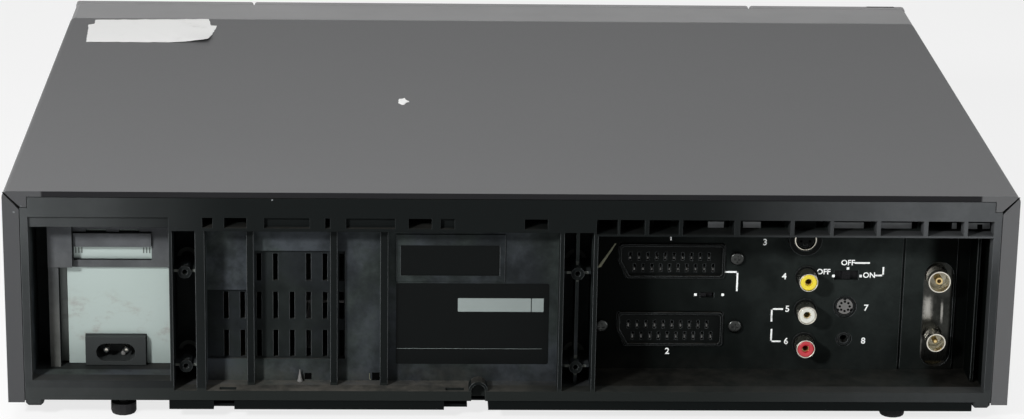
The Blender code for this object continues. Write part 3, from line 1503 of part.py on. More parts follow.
def face_plate(name, low_x, high_x):
    """A shallow tray with rounded edges, open at the back, on a rim that is set in."""
    plate = block(name, (low_x, FRONT_Y, BASE_Z), (high_x, FACE_BACK_Y, TOP_Z), FASCIA_GREY)
    round_edges(plate, FACE_ROUND)
    rim = block(
        f"{name}_rim",
        (low_x + FACE_RIM_INSET, FACE_BACK_Y - FACE_DEPTH / 2, BASE_Z + FACE_RIM_INSET),
        (high_x - FACE_RIM_INSET, CARRIER_FRONT_Y - CLEAR, TOP_Z - FACE_RIM_INSET),
    )
    hollow = block(
        f"{name}_hollow",
        (low_x + WALL, FRONT_Y + WALL, BASE_Z + WALL),
        (high_x - WALL, CARRIER_FRONT_Y + CUT, TOP_Z - WALL),
    )
    join(plate, rim)
    return cut(plate, hollow)


def opening(name, low_x, low_z, high_x, high_z, grow=CLEAR):
    """A cutter through a face plate's front wall."""
    return block(
        name,
        (low_x - grow, FRONT_Y - CUT, low_z - grow),
        (high_x + grow, FRONT_Y + WALL + CUT, high_z + grow),
    )


def display_corners():
    low_x = CENTRE_LEFT + DISPLAY_INSET
    low_z = BASE_Z + DISPLAY_RISE
    return low_x, low_z, low_x + DISPLAY_WIDTH, low_z + DISPLAY_HEIGHT


def door_corners():
    return (
        CENTRE_LEFT + DOOR_MARGIN,
        BASE_Z + DOOR_RISE,
        CENTRE_RIGHT - DOOR_MARGIN,
        BASE_Z + DOOR_RISE + DOOR_HEIGHT,
    )


def key_places():
    """The six transport keys in two rows beside the display."""
    low_x = display_corners()[2] + 2 * KEY_GAP
    low_z = display_corners()[1]
    names = ("rewind", "play", "fast_forward", "pause", "stop", "record")
    places = []
    for index, name in enumerate(names):
        column = index % KEY_COLUMNS
        row = 1 - index // KEY_COLUMNS
        x = low_x + (KEY_WIDTH + KEY_GAP) * column
        z = low_z + (KEY_HEIGHT + KEY_GAP) * row
        places.append((f"{name}_button", x, z, x + KEY_WIDTH, z + KEY_HEIGHT))
    return places


def side_key_places():
    """Power and eject, on the left face plate."""
    left_edge = -HALF_WIDTH
    width = CENTRE_LEFT + HALF_WIDTH
    top = TOP_Z - SIDE_KEY_DROP
    places = []
    for name, share, wide, tall in (
        ("power_button", POWER_SHARE, POWER_WIDTH, POWER_HEIGHT),
        ("eject_button", EJECT_SHARE, EJECT_WIDTH, EJECT_HEIGHT),
    ):
        x = left_edge + share * width
        places.append((name, x - wide / 2, top - tall / 2, x + wide / 2, top + tall / 2))
    return places


def add_button(name, low_x, low_z, high_x, high_z):
    """A cap in its hole, with a flange behind the face plate and a stem to the switch."""
    cap = block(name, (low_x, FRONT_Y, low_z),
                (high_x, FRONT_Y + WALL + BUTTON_FLANGE, high_z), BLACK_PLASTIC)
    round_edges(cap, FACE_ROUND / 3, 1)
    flange = block(
        f"{name}_flange",
        (low_x - BUTTON_FLANGE, FRONT_Y + WALL + CLEAR, low_z - BUTTON_FLANGE),
        (high_x + BUTTON_FLANGE, FRONT_Y + WALL + CLEAR + BUTTON_FLANGE, high_z + BUTTON_FLANGE),
    )
    middle_x, middle_z = (low_x + high_x) / 2, (low_z + high_z) / 2
    stem = block(
        f"{name}_stem",
        (middle_x - BUTTON_STEM / 2, FRONT_Y + WALL, middle_z - BUTTON_STEM / 2),
        (middle_x + BUTTON_STEM / 2, CARRIER_FRONT_Y - CLEAR - BUTTON_TRAVEL,
         middle_z + BUTTON_STEM / 2),
    )
    return join(cap, flange, stem)


def add_face_plates():
    """Left, centre and right plates with the openings of the controls they carry."""
    half_seam = SEAM / 2
    left = face_plate("left_face_plate", -HALF_WIDTH, CENTRE_LEFT - half_seam)
    cut(left, *[opening(f"{name}_hole", *corners) for name, *corners in side_key_places()])
    centre = face_plate("centre_face_plate", CENTRE_LEFT + half_seam, CENTRE_RIGHT - half_seam)
    half_flap = FLAP_WIDTH / 2
    tools = [
        opening("flap_hole", CENTRE_X - half_flap, FLAP_FOOT_Z, CENTRE_X + half_flap, FLAP_TOP_Z),
        opening("display_hole", *display_corners(), 0),
        opening("door_hole", *door_corners()),
    ]
    tools += [opening(f"{name}_hole", *corners) for name, *corners in key_places()]
    cut(centre, *tools)
    join(centre, *hinge_ears())
    cut(centre, *hinge_holes())
    right = face_plate("right_face_plate", CENTRE_RIGHT + half_seam, HALF_WIDTH)
    dial = rod("dial_hole", (DIAL_X, FRONT_Y - CUT, DIAL_Z), (DIAL_X, FRONT_Y + WALL + CUT, DIAL_Z),
               RING_RADIUS + CLEAR, ROUND)
    cut(right, dial)
    return left, centre, right


def door_axis():
    """The control door turns about a line inside its lower edge."""
    return FRONT_Y + DOOR_SHEET / 2, door_corners()[1] + DOOR_SHEET / 2


def hinge_ears():
    """Lugs behind the centre plate that hold the flap's pivots."""
    ears = []
    for side in (-1, 1):
        inner = CENTRE_X + side * (FLAP_WIDTH / 2 + CLEAR)
        outer = inner + side * EAR
        ears.append(
            block(
                f"flap_ear_{side}",
                (min(inner, outer), FRONT_Y + WALL / 2, FLAP_AXIS_Z - EAR_HALF),
                (max(inner, outer), FLAP_AXIS_Y + EAR_HALF - CLEAR, FLAP_AXIS_Z + EAR_HALF),
            )
        )
    return ears


def hinge_holes():
    """The pivot bores of the flap and of the door."""
    bores = []
    door_y, door_z = door_axis()
    door_low_x, door_high_x = door_corners()[0], door_corners()[2]
    for side in (-1, 1):
        inner = CENTRE_X + side * (FLAP_WIDTH / 2 - CUT)
        outer = CENTRE_X + side * (FLAP_WIDTH / 2 + CLEAR + PIVOT_LENGTH + CLEAR)
        bores.append(
            rod(f"flap_bore_{side}", (inner, FLAP_AXIS_Y, FLAP_AXIS_Z),
                (outer, FLAP_AXIS_Y, FLAP_AXIS_Z), PIVOT_RADIUS + CLEAR, TINY_ROUND)
        )
        edge = door_high_x if side > 0 else door_low_x
        bores.append(
            rod(f"door_bore_{side}", (edge - side * CUT, door_y, door_z),
                (edge + side * (PIVOT_LENGTH + 2 * CLEAR), door_y, door_z),
                DOOR_PIVOT + CLEAR, TINY_ROUND)
        )
    return bores


def add_cassette_flap():
    """The sprung flap over the cassette slot, hung on two pivots near its upper edge."""
    half = FLAP_WIDTH / 2
    flap = block(
        "cassette_flap",
        (CENTRE_X - half, FRONT_Y, FLAP_FOOT_Z),
        (CENTRE_X + half, FRONT_Y + FLAP_SHEET, FLAP_TOP_Z),
        FASCIA_GREY,
    )
    round_edges(flap, FACE_ROUND / 2, 2)
    lugs = []
    for side in (-1, 1):
        inner = CENTRE_X + side * (half - EAR)
        outer = CENTRE_X + side * half
        tip = CENTRE_X + side * (half + CLEAR + PIVOT_LENGTH)
        lugs.append(
            block(
                f"flap_lug_{side}",
                (min(inner, outer), FRONT_Y + FLAP_SHEET / 2, FLAP_AXIS_Z - PIVOT_RADIUS - CLEAR),
                (max(inner, outer), FLAP_AXIS_Y + PIVOT_RADIUS + CLEAR,
                 FLAP_AXIS_Z + PIVOT_RADIUS + CLEAR),
            )
        )
        lugs.append(
            rod(f"flap_pivot_{side}", (inner + side * EAR / 2, FLAP_AXIS_Y, FLAP_AXIS_Z),
                (tip, FLAP_AXIS_Y, FLAP_AXIS_Z), PIVOT_RADIUS, TINY_ROUND)
        )
    join(flap, *lugs)
    return put_origin(flap, (CENTRE_X, FLAP_AXIS_Y, FLAP_AXIS_Z))


def add_control_door():
    """The drop-down door, round along its lower edge where it turns."""
    low_x, _low_z, high_x, high_z = door_corners()
    axis_y, axis_z = door_axis()
    radius = DOOR_SHEET / 2
    lower = arc((0, 0), radius, math.pi, 2 * math.pi, ARCH_STEPS)
    tall = high_z - axis_z
    border = lower + [(radius, tall), (-radius, tall)]
    door = outline(
        "control_door",
        [border],
        high_x - low_x,
        facing_x(((low_x + high_x) / 2, axis_y, axis_z)),
        FASCIA_GREY,
    )
    pivots = [
        rod(f"door_pivot_{side}",
            ((high_x if side > 0 else low_x) - side * EAR, axis_y, axis_z),
            ((high_x if side > 0 else low_x) + side * (PIVOT_LENGTH + CLEAR), axis_y, axis_z),
            DOOR_PIVOT, TINY_ROUND)
        for side in (-1, 1)
    ]
    return join(door, *pivots)


def add_display_window():
    """The smoked window, held by a lip behind the face plate."""
    low_x, low_z, high_x, high_z = display_corners()
    window = block(
        "display_window",
        (low_x + CLEAR, FRONT_Y + CLEAR, low_z + CLEAR),
        (high_x - CLEAR, FRONT_Y + WALL + DISPLAY_LIP, high_z - CLEAR),
        SMOKED,
    )
    lip = block(
        "display_lip",
        (low_x - DISPLAY_LIP, FRONT_Y + WALL + CLEAR, low_z - DISPLAY_LIP),
        (high_x + DISPLAY_LIP, FRONT_Y + WALL + CLEAR + DISPLAY_LIP, high_z + DISPLAY_LIP),
    )
    return join(window, lip)


def add_dial():
    """The sprung shuttle ring with the jog disc that turns inside it."""
    front = FACE_BACK_Y - FRONT_Y - CLEAR
    ring_face = front - RING_SUNK
    ring = [
        (RING_HOLE, ring_face - RING_PROUD),
        (RING_RADIUS - RING_PROUD, ring_face),
        (RING_RADIUS, ring_face - RING_PROUD),
        (RING_RADIUS, DIAL_BACK + DIAL_FLANGE),
        (RING_RADIUS + DIAL_FLANGE, DIAL_BACK + DIAL_FLANGE),
        (RING_RADIUS + DIAL_FLANGE, DIAL_BACK),
        (RING_HOLE, DIAL_BACK),
        (RING_HOLE, ring_face - RING_PROUD),
    ]
    base = (DIAL_X, FACE_BACK_Y, DIAL_Z)
    turned("shuttle_ring", ring, base, (0, -1, 0), BLACK_PLASTIC)
    jog_face = front - JOG_SUNK
    bore = SPINDLE_RADIUS + CLEAR
    bore_top = jog_face - WALL
    jog = [
        (0, jog_face),
        (JOG_RADIUS - FACE_ROUND, jog_face),
        (JOG_RADIUS, jog_face - FACE_ROUND),
        (JOG_RADIUS, DIAL_BACK),
        (bore, DIAL_BACK),
        (bore, bore_top),
        (0, bore_top),
    ]
    disc = turned("jog_dial", jog, base, (0, -1, 0), BLACK_PLASTIC)
    dimple = rod(
        "jog_dimple",
        (DIAL_X, FACE_BACK_Y - jog_face + DIMPLE_DEPTH, DIAL_Z + DIMPLE_OFFSET),
        (DIAL_X, FACE_BACK_Y - jog_face - DIMPLE_DEPTH, DIAL_Z + DIMPLE_OFFSET),
        DIMPLE_RADIUS / 2,
        TINY_ROUND,
        None,
        DIMPLE_RADIUS,
    )
    return cut(disc, dimple)


# The dial's faces lie this far behind the face plate, and its back clears the carrier


def add_boards():
    """Main board, power board with its transformer, and the upright socket board."""
    board_z = PAN_FLOOR_Z + BOARD_RISE
    block(
        "main_board",
        (MAIN_BOARD_X, MAIN_BOARD_FRONT_Y, board_z),
        (MAIN_BOARD_X + MAIN_BOARD_WIDTH, MAIN_BOARD_FRONT_Y + MAIN_BOARD_DEPTH, board_z + BOARD),
        BOARD_BROWN,
    )
    block(
        "power_board",
        (POWER_BOARD_X, POWER_BOARD_FRONT_Y, board_z),
        (POWER_BOARD_X + POWER_BOARD_WIDTH, POWER_BOARD_BACK_Y, board_z + BOARD),
        BOARD_BROWN,
    )
    wide, long, tall = TRANSFORMER_SIZE
    x = POWER_BOARD_X + POWER_BOARD_WIDTH / 2
    y = POWER_BOARD_FRONT_Y + POWER_BOARD_DEPTH / 3
    core = block(
        "transformer",
        (x - wide / 2, y - long / 4, BOARD_TOP_Z + CLEAR),
        (x + wide / 2, y + long / 4, BOARD_TOP_Z + CLEAR + tall),
        STEEL,
    )
    winding = block(
        "transformer_winding",
        (x - wide / 4, y - long / 2, BOARD_TOP_Z + CLEAR + tall / 6),
        (x + wide / 4, y + long / 2, BOARD_TOP_Z + CLEAR + tall * 5 / 6),
    )
    round_edges(winding, FACE_ROUND)
    join(core, winding)
    low_x = along_sockets(1) + JACK_BOARD_MARGIN
    jack_board = block(
        "jack_board",
        (low_x, SOCKET_SEAT_Y - BOARD, BOARD_TOP_Z + CLEAR),
        (SOCKET_BAY_EDGE, SOCKET_SEAT_Y, BOARD_TOP_Z + CLEAR + JACK_BOARD_TALL),
        BOARD_BROWN,
    )
    return jack_board


def deck_leg_places():
    half = DECK_WIDTH / 2
    return corners_of(
        CENTRE_X - half, DECK_FRONT_Y, CENTRE_X + half, DECK_BACK_Y, DECK_LEG_INSET
    )


def add_mechanism_deck():
    """The deck plate on its legs, with reel pins, bores and the two guide slots."""
    half = DECK_WIDTH / 2
    deck = block(
        "mechanism_deck",
        (CENTRE_X - half, DECK_FRONT_Y, DECK_Z),
        (CENTRE_X + half, DECK_BACK_Y, DECK_TOP_Z),
        STEEL,
    )
    legs = [
        rod(f"deck_leg_{index}", (x, y, PAN_FLOOR_Z + CLEAR), (x, y, DECK_Z + DECK_SHEET / 2),
            DECK_LEG, TINY_ROUND)
        for index, (x, y) in enumerate(deck_leg_places())
    ]
    pins = [
        rod(f"reel_pin_{side}",
            (CENTRE_X + side * REEL_SPACING / 2, REEL_Y, DECK_Z + DECK_SHEET / 2),
            (CENTRE_X + side * REEL_SPACING / 2, REEL_Y, DECK_TOP_Z + REEL_TALL + CLEAR),
            REEL_PIN, TINY_ROUND)
        for side in (-1, 1)
    ]
    pinch_x, pinch_y = pinch_pivot()
    pins.append(
        rod("pinch_pin", (pinch_x, pinch_y, DECK_Z + DECK_SHEET / 2),
            (pinch_x, pinch_y, DECK_TOP_Z + PINCH_ARM_RISE + 2 * PINCH_ARM_SHEET),
            PINCH_PIN, TINY_ROUND)
    )
    pins.append(
        rod("clutch_pin", (CENTRE_X, CLUTCH_Y, DECK_Z + DECK_SHEET / 2),
            (CENTRE_X, CLUTCH_Y, PULLEY_Z), REEL_PIN, TINY_ROUND)
    )
    join(deck, *legs, *pins)
    bore = rod("capstan_bore", (CAPSTAN_X, CAPSTAN_Y, DECK_Z - CUT),
               (CAPSTAN_X, CAPSTAN_Y, DECK_TOP_Z + CUT), CAPSTAN_SHAFT + CLEAR, TINY_ROUND)
    slot = [(y, x) for x, y in stadium(GUIDE_TRAVEL + 2 * GUIDE_SHANK + 2 * CLEAR,
                                      2 * GUIDE_SHANK + 2 * CLEAR, 4)]
    slots = [
        outline(f"guide_slot_{side}", [slot], DECK_SHEET + 2 * CUT,
                Matrix.Translation((CENTRE_X + side * GUIDE_OFFSET, GUIDE_Y + GUIDE_TRAVEL / 2,
                                    DECK_Z + DECK_SHEET / 2)))
        for side in (-1, 1)
    ]
    cut(deck, bore, *slots)
    return deck


# The drive pulleys hang under the deck at this height


def add_drum():
    """The fixed lower drum with its shaft, and the head drum that spins on it."""
    shaft_top = DRUM_LOWER + DRUM_GAP + DRUM_UPPER + CLEAR
    lower = [
        (0, shaft_top),
        (DRUM_SHAFT, shaft_top),
        (DRUM_SHAFT, DRUM_LOWER),
        (DRUM_RADIUS, DRUM_LOWER),
        (DRUM_RADIUS, CLEAR),
        (0, CLEAR),
    ]
    base = (CENTRE_X, DRUM_Y, DECK_TOP_Z)
    turned("lower_drum", lower, base, (0, 0, 1), ALUMINIUM)
    foot = DRUM_LOWER + DRUM_GAP
    top = foot + DRUM_UPPER
    bore = DRUM_SHAFT + CLEAR
    upper = [
        (bore, top),
        (DRUM_CAP, top),
        (DRUM_CAP, top - FACE_ROUND),
        (DRUM_RADIUS, top - FACE_ROUND),
        (DRUM_RADIUS, foot),
        (bore, foot),
        (bore, top),
    ]
    return turned("head_drum", upper, base, (0, 0, 1), ALUMINIUM)


def add_reels():
    """Two reel tables with three-winged hubs on the deck's pins."""
    bore = REEL_PIN + CLEAR
    profile = [
        (bore, REEL_TALL),
        (REEL_HUB - FACE_ROUND, REEL_TALL),
        (REEL_HUB, REEL_TALL - FACE_ROUND),
        (REEL_HUB, REEL_FLANGE),
        (REEL_RADIUS, REEL_FLANGE),
        (REEL_RADIUS, CLEAR),
        (bore, CLEAR),
        (bore, REEL_TALL),
    ]
    for name, side in (("supply_reel", -1), ("take_up_reel", 1)):
        x = CENTRE_X + side * REEL_SPACING / 2
        reel = turned(name, profile, (x, REEL_Y, DECK_TOP_Z), (0, 0, 1), BLACK_PLASTIC)
        wings = []
        for index in range(3):
            angle = index * 2 * math.pi / 3
            wing = block(
                f"{name}_wing_{index}",
                (REEL_HUB / 2, -WING / 2, REEL_FLANGE - WING),
                (REEL_HUB + WING, WING / 2, REEL_TALL - FACE_ROUND),
            )
            wing.matrix_world = (
                Matrix.Translation((x, REEL_Y, DECK_TOP_Z))
                @ Matrix.Rotation(angle, 4, "Z")
                @ Matrix.Translation(wing.location)
            )
            wings.append(wing)
        join(reel, *wings)


def add_capstan():
    """The capstan shaft with its flywheel and pulley under the deck."""
    top = DECK_TOP_Z + CAPSTAN_TALL - PULLEY_Z
    flywheel = PULLEY_TALL
    profile = [
        (0, top),
        (CAPSTAN_SHAFT, top),
        (CAPSTAN_SHAFT, flywheel + FLYWHEEL_SHEET),
        (FLYWHEEL_RADIUS, flywheel + FLYWHEEL_SHEET),
        (FLYWHEEL_RADIUS, flywheel),
        (PULLEY_RADIUS, flywheel),
        (PULLEY_RADIUS, 0),
        (0, 0),
    ]
    turned("capstan_flywheel", profile, (CAPSTAN_X, CAPSTAN_Y, PULLEY_Z), (0, 0, 1), STEEL)
    bore = REEL_PIN + CLEAR
    clutch = [
        (bore, PULLEY_TALL),
        (CLUTCH_RADIUS, PULLEY_TALL),
        (CLUTCH_RADIUS, 0),
        (bore, 0),
        (bore, PULLEY_TALL),
    ]
    return turned("clutch_pulley", clutch, (CENTRE_X, CLUTCH_Y, PULLEY_Z), (0, 0, 1),
                  BLACK_PLASTIC)


def belt_loop(grow):
    """The outline of a belt round both pulleys, this far off them."""
    first, first_radius = Vector((CAPSTAN_X, CAPSTAN_Y)), PULLEY_RADIUS + grow
    second, second_radius = Vector((CENTRE_X, CLUTCH_Y)), CLUTCH_RADIUS + grow
    along = second - first
    heading = math.atan2(along.y, along.x)
    lean = math.acos((first_radius - second_radius) / along.length)
    start = heading + lean
    first_arc = arc(first, first_radius, start, start + 2 * math.pi - 2 * lean, BELT_ARC_STEPS)
    end = heading - lean
    second_arc = arc(second, second_radius, end, end + 2 * lean, BELT_ARC_STEPS)
    return first_arc + second_arc


def add_drive_belt():
    middle = PULLEY_Z + PULLEY_TALL / 2
    loops = [belt_loop(CLEAR + BELT), belt_loop(CLEAR)]
    return outline("drive_belt", loops, BELT_TALL, Matrix.Translation((0, 0, middle)), RUBBER)


def pinch_pivot():
    """The arm's pivot, so that the roller just clears the capstan when it is swung in."""
    closed_x = CAPSTAN_X + CAPSTAN_SHAFT + PINCH_RADIUS + CLEAR
    return closed_x, CAPSTAN_Y + PINCH_ARM_LENGTH


def pinch_roller_place():
    """The roller's axis at rest, swung away from the capstan."""
    x, y = pinch_pivot()
    return x + PINCH_ARM_LENGTH * math.sin(PINCH_SWING), y - PINCH_ARM_LENGTH * math.cos(PINCH_SWING)


def add_pinch_roller():
    """The arm with its roller pin, and the rubber roller that spins on it."""
    pivot_x, pivot_y = pinch_pivot()
    roller_x, roller_y = pinch_roller_place()
    arm_z = DECK_TOP_Z + PINCH_ARM_RISE
    half = PINCH_ARM_WIDTH / 2
    length = PINCH_ARM_LENGTH + PINCH_ARM_WIDTH
    middle = ((pivot_x + roller_x) / 2, (pivot_y + roller_y) / 2)
    turn = Matrix.Rotation(PINCH_SWING - math.pi / 2, 4, "Z")
    place = Matrix.Translation((*middle, arm_z + PINCH_ARM_SHEET / 2)) @ turn
    arm = outline("pinch_arm", [stadium(length, 2 * half)], PINCH_ARM_SHEET, place, STEEL)
    pin = rod("roller_pin", (roller_x, roller_y, arm_z + PINCH_ARM_SHEET / 2),
              (roller_x, roller_y, arm_z + PINCH_ARM_SHEET + CLEAR + PINCH_TALL + CLEAR),
              PINCH_PIN, TINY_ROUND)
    collar = rod("arm_collar", (pivot_x, pivot_y, DECK_TOP_Z + CLEAR),
                 (pivot_x, pivot_y, arm_z + PINCH_ARM_SHEET / 2), half)
    bore = rod("arm_bore", (pivot_x, pivot_y, DECK_TOP_Z), (pivot_x, pivot_y, arm_z + CUT + CUT),
               PINCH_PIN + CLEAR, TINY_ROUND)
    join(arm, pin, collar)
    cut(arm, bore)
    put_origin(arm, (pivot_x, pivot_y, arm_z))
    roller_bore = PINCH_PIN + CLEAR
    profile = [
        (roller_bore, PINCH_TALL),
        (PINCH_RADIUS, PINCH_TALL),
        (PINCH_RADIUS, 0),
        (roller_bore, 0),
        (roller_bore, PINCH_TALL),
    ]
    base = (roller_x, roller_y, arm_z + PINCH_ARM_SHEET + CLEAR)
    return turned("pinch_roller", profile, base, (0, 0, 1), RUBBER, SMALL_ROUND)


def add_guides():
    """The two loading posts, each on a base whose shank runs in a slot of the deck."""
    profile = [
        (0, GUIDE_TALL),
        (GUIDE_POST, GUIDE_TALL),
        (GUIDE_POST, GUIDE_BASE_TALL),
        (GUIDE_BASE, GUIDE_BASE_TALL),
        (GUIDE_BASE, CLEAR),
        (GUIDE_SHANK, CLEAR),
        (GUIDE_SHANK, -DECK_SHEET),
        (0, -DECK_SHEET),
    ]
    for name, side in (("supply_guide", -1), ("take_up_guide", 1)):
        base = (CENTRE_X + side * GUIDE_OFFSET, GUIDE_Y, DECK_TOP_Z)
        turned(name, profile, base, (0, 0, 1), ALUMINIUM, SMALL_ROUND)


def add_loading_motor():
    """A can motor on a saddle at the left of the deck, its shaft towards the drum."""
    x = CENTRE_X - DECK_WIDTH / 2 + MOTOR_INSET
    y = DRUM_Y
    z = DECK_TOP_Z + CLEAR + MOTOR_RADIUS
    profile = [
        (0, MOTOR_LENGTH + MOTOR_SHAFT_LENGTH),
        (MOTOR_SHAFT, MOTOR_LENGTH + MOTOR_SHAFT_LENGTH),
        (MOTOR_SHAFT, MOTOR_LENGTH),
        (MOTOR_RADIUS, MOTOR_LENGTH),
        (MOTOR_RADIUS, 0),
        (0, 0),
    ]
    motor = turned("loading_motor", profile, (x, y, z), (0, -1, 0), STEEL, SMALL_ROUND)
    saddle = block(
        "motor_saddle",
        (x - MOTOR_RADIUS * 3 / 4, y - MOTOR_LENGTH * 3 / 4, DECK_TOP_Z + CLEAR),
        (x + MOTOR_RADIUS * 3 / 4, y - MOTOR_LENGTH / 4, z),
    )
    return join(motor, saddle)


def add_audio_head():
    """The audio and control head on its foot, right of the drum."""
    wide, long, tall = HEAD_SIZE
    x = CENTRE_X + HEAD_OFFSET
    head = block(
        "audio_head",
        (x - wide / 2, DRUM_Y - long / 2, DECK_TOP_Z + CLEAR),
        (x + wide / 2, DRUM_Y + long / 2, DECK_TOP_Z + CLEAR + tall),
        STEEL,
    )
    return round_edges(head, FACE_ROUND)


def track_height():
    """The height of the holder's guide pins."""
    return DECK_TOP_Z + TRACK_RISE


def track_outline(grow):
    """The L-shaped track: a level run, then a drop at its inner end."""
    front = HOLDER_FRONT_Y + HOLDER_LENGTH / 2
    back = front + HOLDER_TRAVEL
    z = track_height()
    low = z - TRACK_DROP
    half = TRACK_WIDTH / 2 + grow
    return (
        arc((front, z), half, math.pi / 2, 3 * math.pi / 2, 4)
        + [(back - half, z - half)]
        + arc((back, low), half, math.pi, 2 * math.pi, 4)
        + [(back + half, z + half)]
    )


def add_carriage_plates():
    """The two side plates that guide the cassette holder."""
    front = DECK_FRONT_Y
    back = front + PLATE_LENGTH
    low = DECK_TOP_Z + CLEAR
    high = low + PLATE_TALL
    border = [(front, low), (back, low), (back, high - HOLDER_LIP), (back - HOLDER_LIP, high),
              (front, high)]
    for name, side in (("carriage_left_plate", -1), ("carriage_right_plate", 1)):
        inner = CENTRE_X + side * PLATE_X
        place = facing_x((inner + side * PLATE_SHEET / 2, 0, 0))
        outline(name, [border, track_outline(0)], PLATE_SHEET, place, STEEL)


def add_cassette_holder():
    """The tray that carries the cassette, with folded lips, a floor window and guide pins."""
    back = HOLDER_FRONT_Y + HOLDER_LENGTH
    inner = HOLDER_HALF - HOLDER_WALL
    holder = block(
        "cassette_holder",
        (CENTRE_X - HOLDER_HALF, HOLDER_FRONT_Y, HOLDER_FOOT_Z),
        (CENTRE_X + HOLDER_HALF, back, HOLDER_TOP_Z),
        STEEL,
    )
    hollow = block(
        "holder_hollow",
        (CENTRE_X - inner, HOLDER_FRONT_Y - CUT, TRAY_TOP_Z),
        (CENTRE_X + inner, back + CUT, HOLDER_TOP_Z - HOLDER_WALL),
    )
    top = block(
        "holder_top",
        (CENTRE_X - inner + HOLDER_LIP, HOLDER_FRONT_Y - CUT, HOLDER_TOP_Z - HOLDER_WALL - CUT),
        (CENTRE_X + inner - HOLDER_LIP, back + CUT, HOLDER_TOP_Z + CUT),
    )
    window = block(
        "holder_window",
        (CENTRE_X - inner + HOLDER_WINDOW_MARGIN, HOLDER_FRONT_Y + HOLDER_WINDOW_MARGIN,
         HOLDER_FOOT_Z - CUT),
        (CENTRE_X + inner - HOLDER_WINDOW_MARGIN, back - HOLDER_WINDOW_MARGIN,
         TRAY_TOP_Z + CUT),
    )
    cut(holder, hollow, top, window)
    y = HOLDER_FRONT_Y + HOLDER_LENGTH / 2
    pins = [
        rod(f"holder_pin_{side}",
            (CENTRE_X + side * (HOLDER_HALF - HOLDER_WALL / 2), y, track_height()),
            (CENTRE_X + side * (PLATE_X + PLATE_SHEET), y, track_height()),
            HOLDER_PIN, TINY_ROUND)
        for side in (-1, 1)
    ]
    return join(holder, *pins)


def build():
    """Makes the whole machine."""
    global PARTS, CUTTERS
    clear_scene()
    scene = bpy.context.scene.collection
    PARTS = new_collection("video_cassette_recorder", scene)
    CUTTERS = new_collection("cutters", scene)
    CUTTERS.hide_render = True
    add_top_cover()
    add_bottom_plate()
    add_feet()
    add_rear_panel()
    add_scart_socket("scart_socket_lower", SCART_HEIGHT_SHARES[0])
    add_scart_socket("scart_socket_upper", SCART_HEIGHT_SHARES[1])
    add_round_sockets()
    add_switch_knob("rf_switch_knob", RF_SWITCH_SHARES, RF_SLOT_WIDTH, RF_SLOT_TALL,
                    RF_KNOB_WIDTH, 0)
    selector_end = (SELECTOR_SLOT_WIDTH - SELECTOR_KNOB_WIDTH) / 2 - CLEAR
    add_switch_knob("output_selector_knob", SELECTOR_SHARES, SELECTOR_SLOT_WIDTH,
                    SELECTOR_SLOT_TALL, SELECTOR_KNOB_WIDTH, selector_end)
    add_mains_inlet()
    add_power_shield()
    add_aerial_sockets()
    add_front_fascia()
    add_face_plates()
    for name, *corners in side_key_places() + key_places():
        add_button(name, *corners)
    add_cassette_flap()
    add_control_door()
    add_display_window()
    add_dial()
    add_boards()
    add_mechanism_deck()
    add_drum()
    add_reels()
    add_capstan()
    add_drive_belt()
    add_pinch_roller()
    add_guides()
    add_loading_motor()
    add_audio_head()
    add_carriage_plates()
    add_cassette_holder()


build()
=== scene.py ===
"""Looks of a home video cassette recorder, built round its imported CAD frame."""

import logging
import math
import random
from dataclasses import dataclass
from enum import Enum

import bmesh
import bpy
from bpy.types import ID, Material, Mesh, Node, NodeSocket, NodeTree, Object
from mathutils import Matrix, Vector


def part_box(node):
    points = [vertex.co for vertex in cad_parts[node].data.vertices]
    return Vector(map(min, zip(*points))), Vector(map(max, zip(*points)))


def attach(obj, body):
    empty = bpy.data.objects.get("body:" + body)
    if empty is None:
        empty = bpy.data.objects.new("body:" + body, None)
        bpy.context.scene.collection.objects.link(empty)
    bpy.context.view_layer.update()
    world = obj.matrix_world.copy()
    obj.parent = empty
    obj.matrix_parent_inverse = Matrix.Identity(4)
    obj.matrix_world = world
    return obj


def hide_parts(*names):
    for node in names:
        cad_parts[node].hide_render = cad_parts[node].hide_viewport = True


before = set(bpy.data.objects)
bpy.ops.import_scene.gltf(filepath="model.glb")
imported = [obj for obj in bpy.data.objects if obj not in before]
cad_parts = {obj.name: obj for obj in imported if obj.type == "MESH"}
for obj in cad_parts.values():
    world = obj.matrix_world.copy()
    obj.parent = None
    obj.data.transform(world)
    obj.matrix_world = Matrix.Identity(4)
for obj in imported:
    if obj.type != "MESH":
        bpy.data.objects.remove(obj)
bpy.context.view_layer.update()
LOG = logging.getLogger("recorder")
CASING = "casing"
MM = 0.001
SHEET = 0.05 * MM

Colour = tuple[float, float, float]
Point = tuple[float, float, float]
Flat = tuple[float, float]
Box = tuple[float, float, float, float]
WHITE: Colour = (1.0, 1.0, 1.0)
EVEN: Point = (1.0, 1.0, 1.0)
SIDEWAYS: Point = (0, 1, 0)
UPRIGHT: Point = (0, 0, 1)


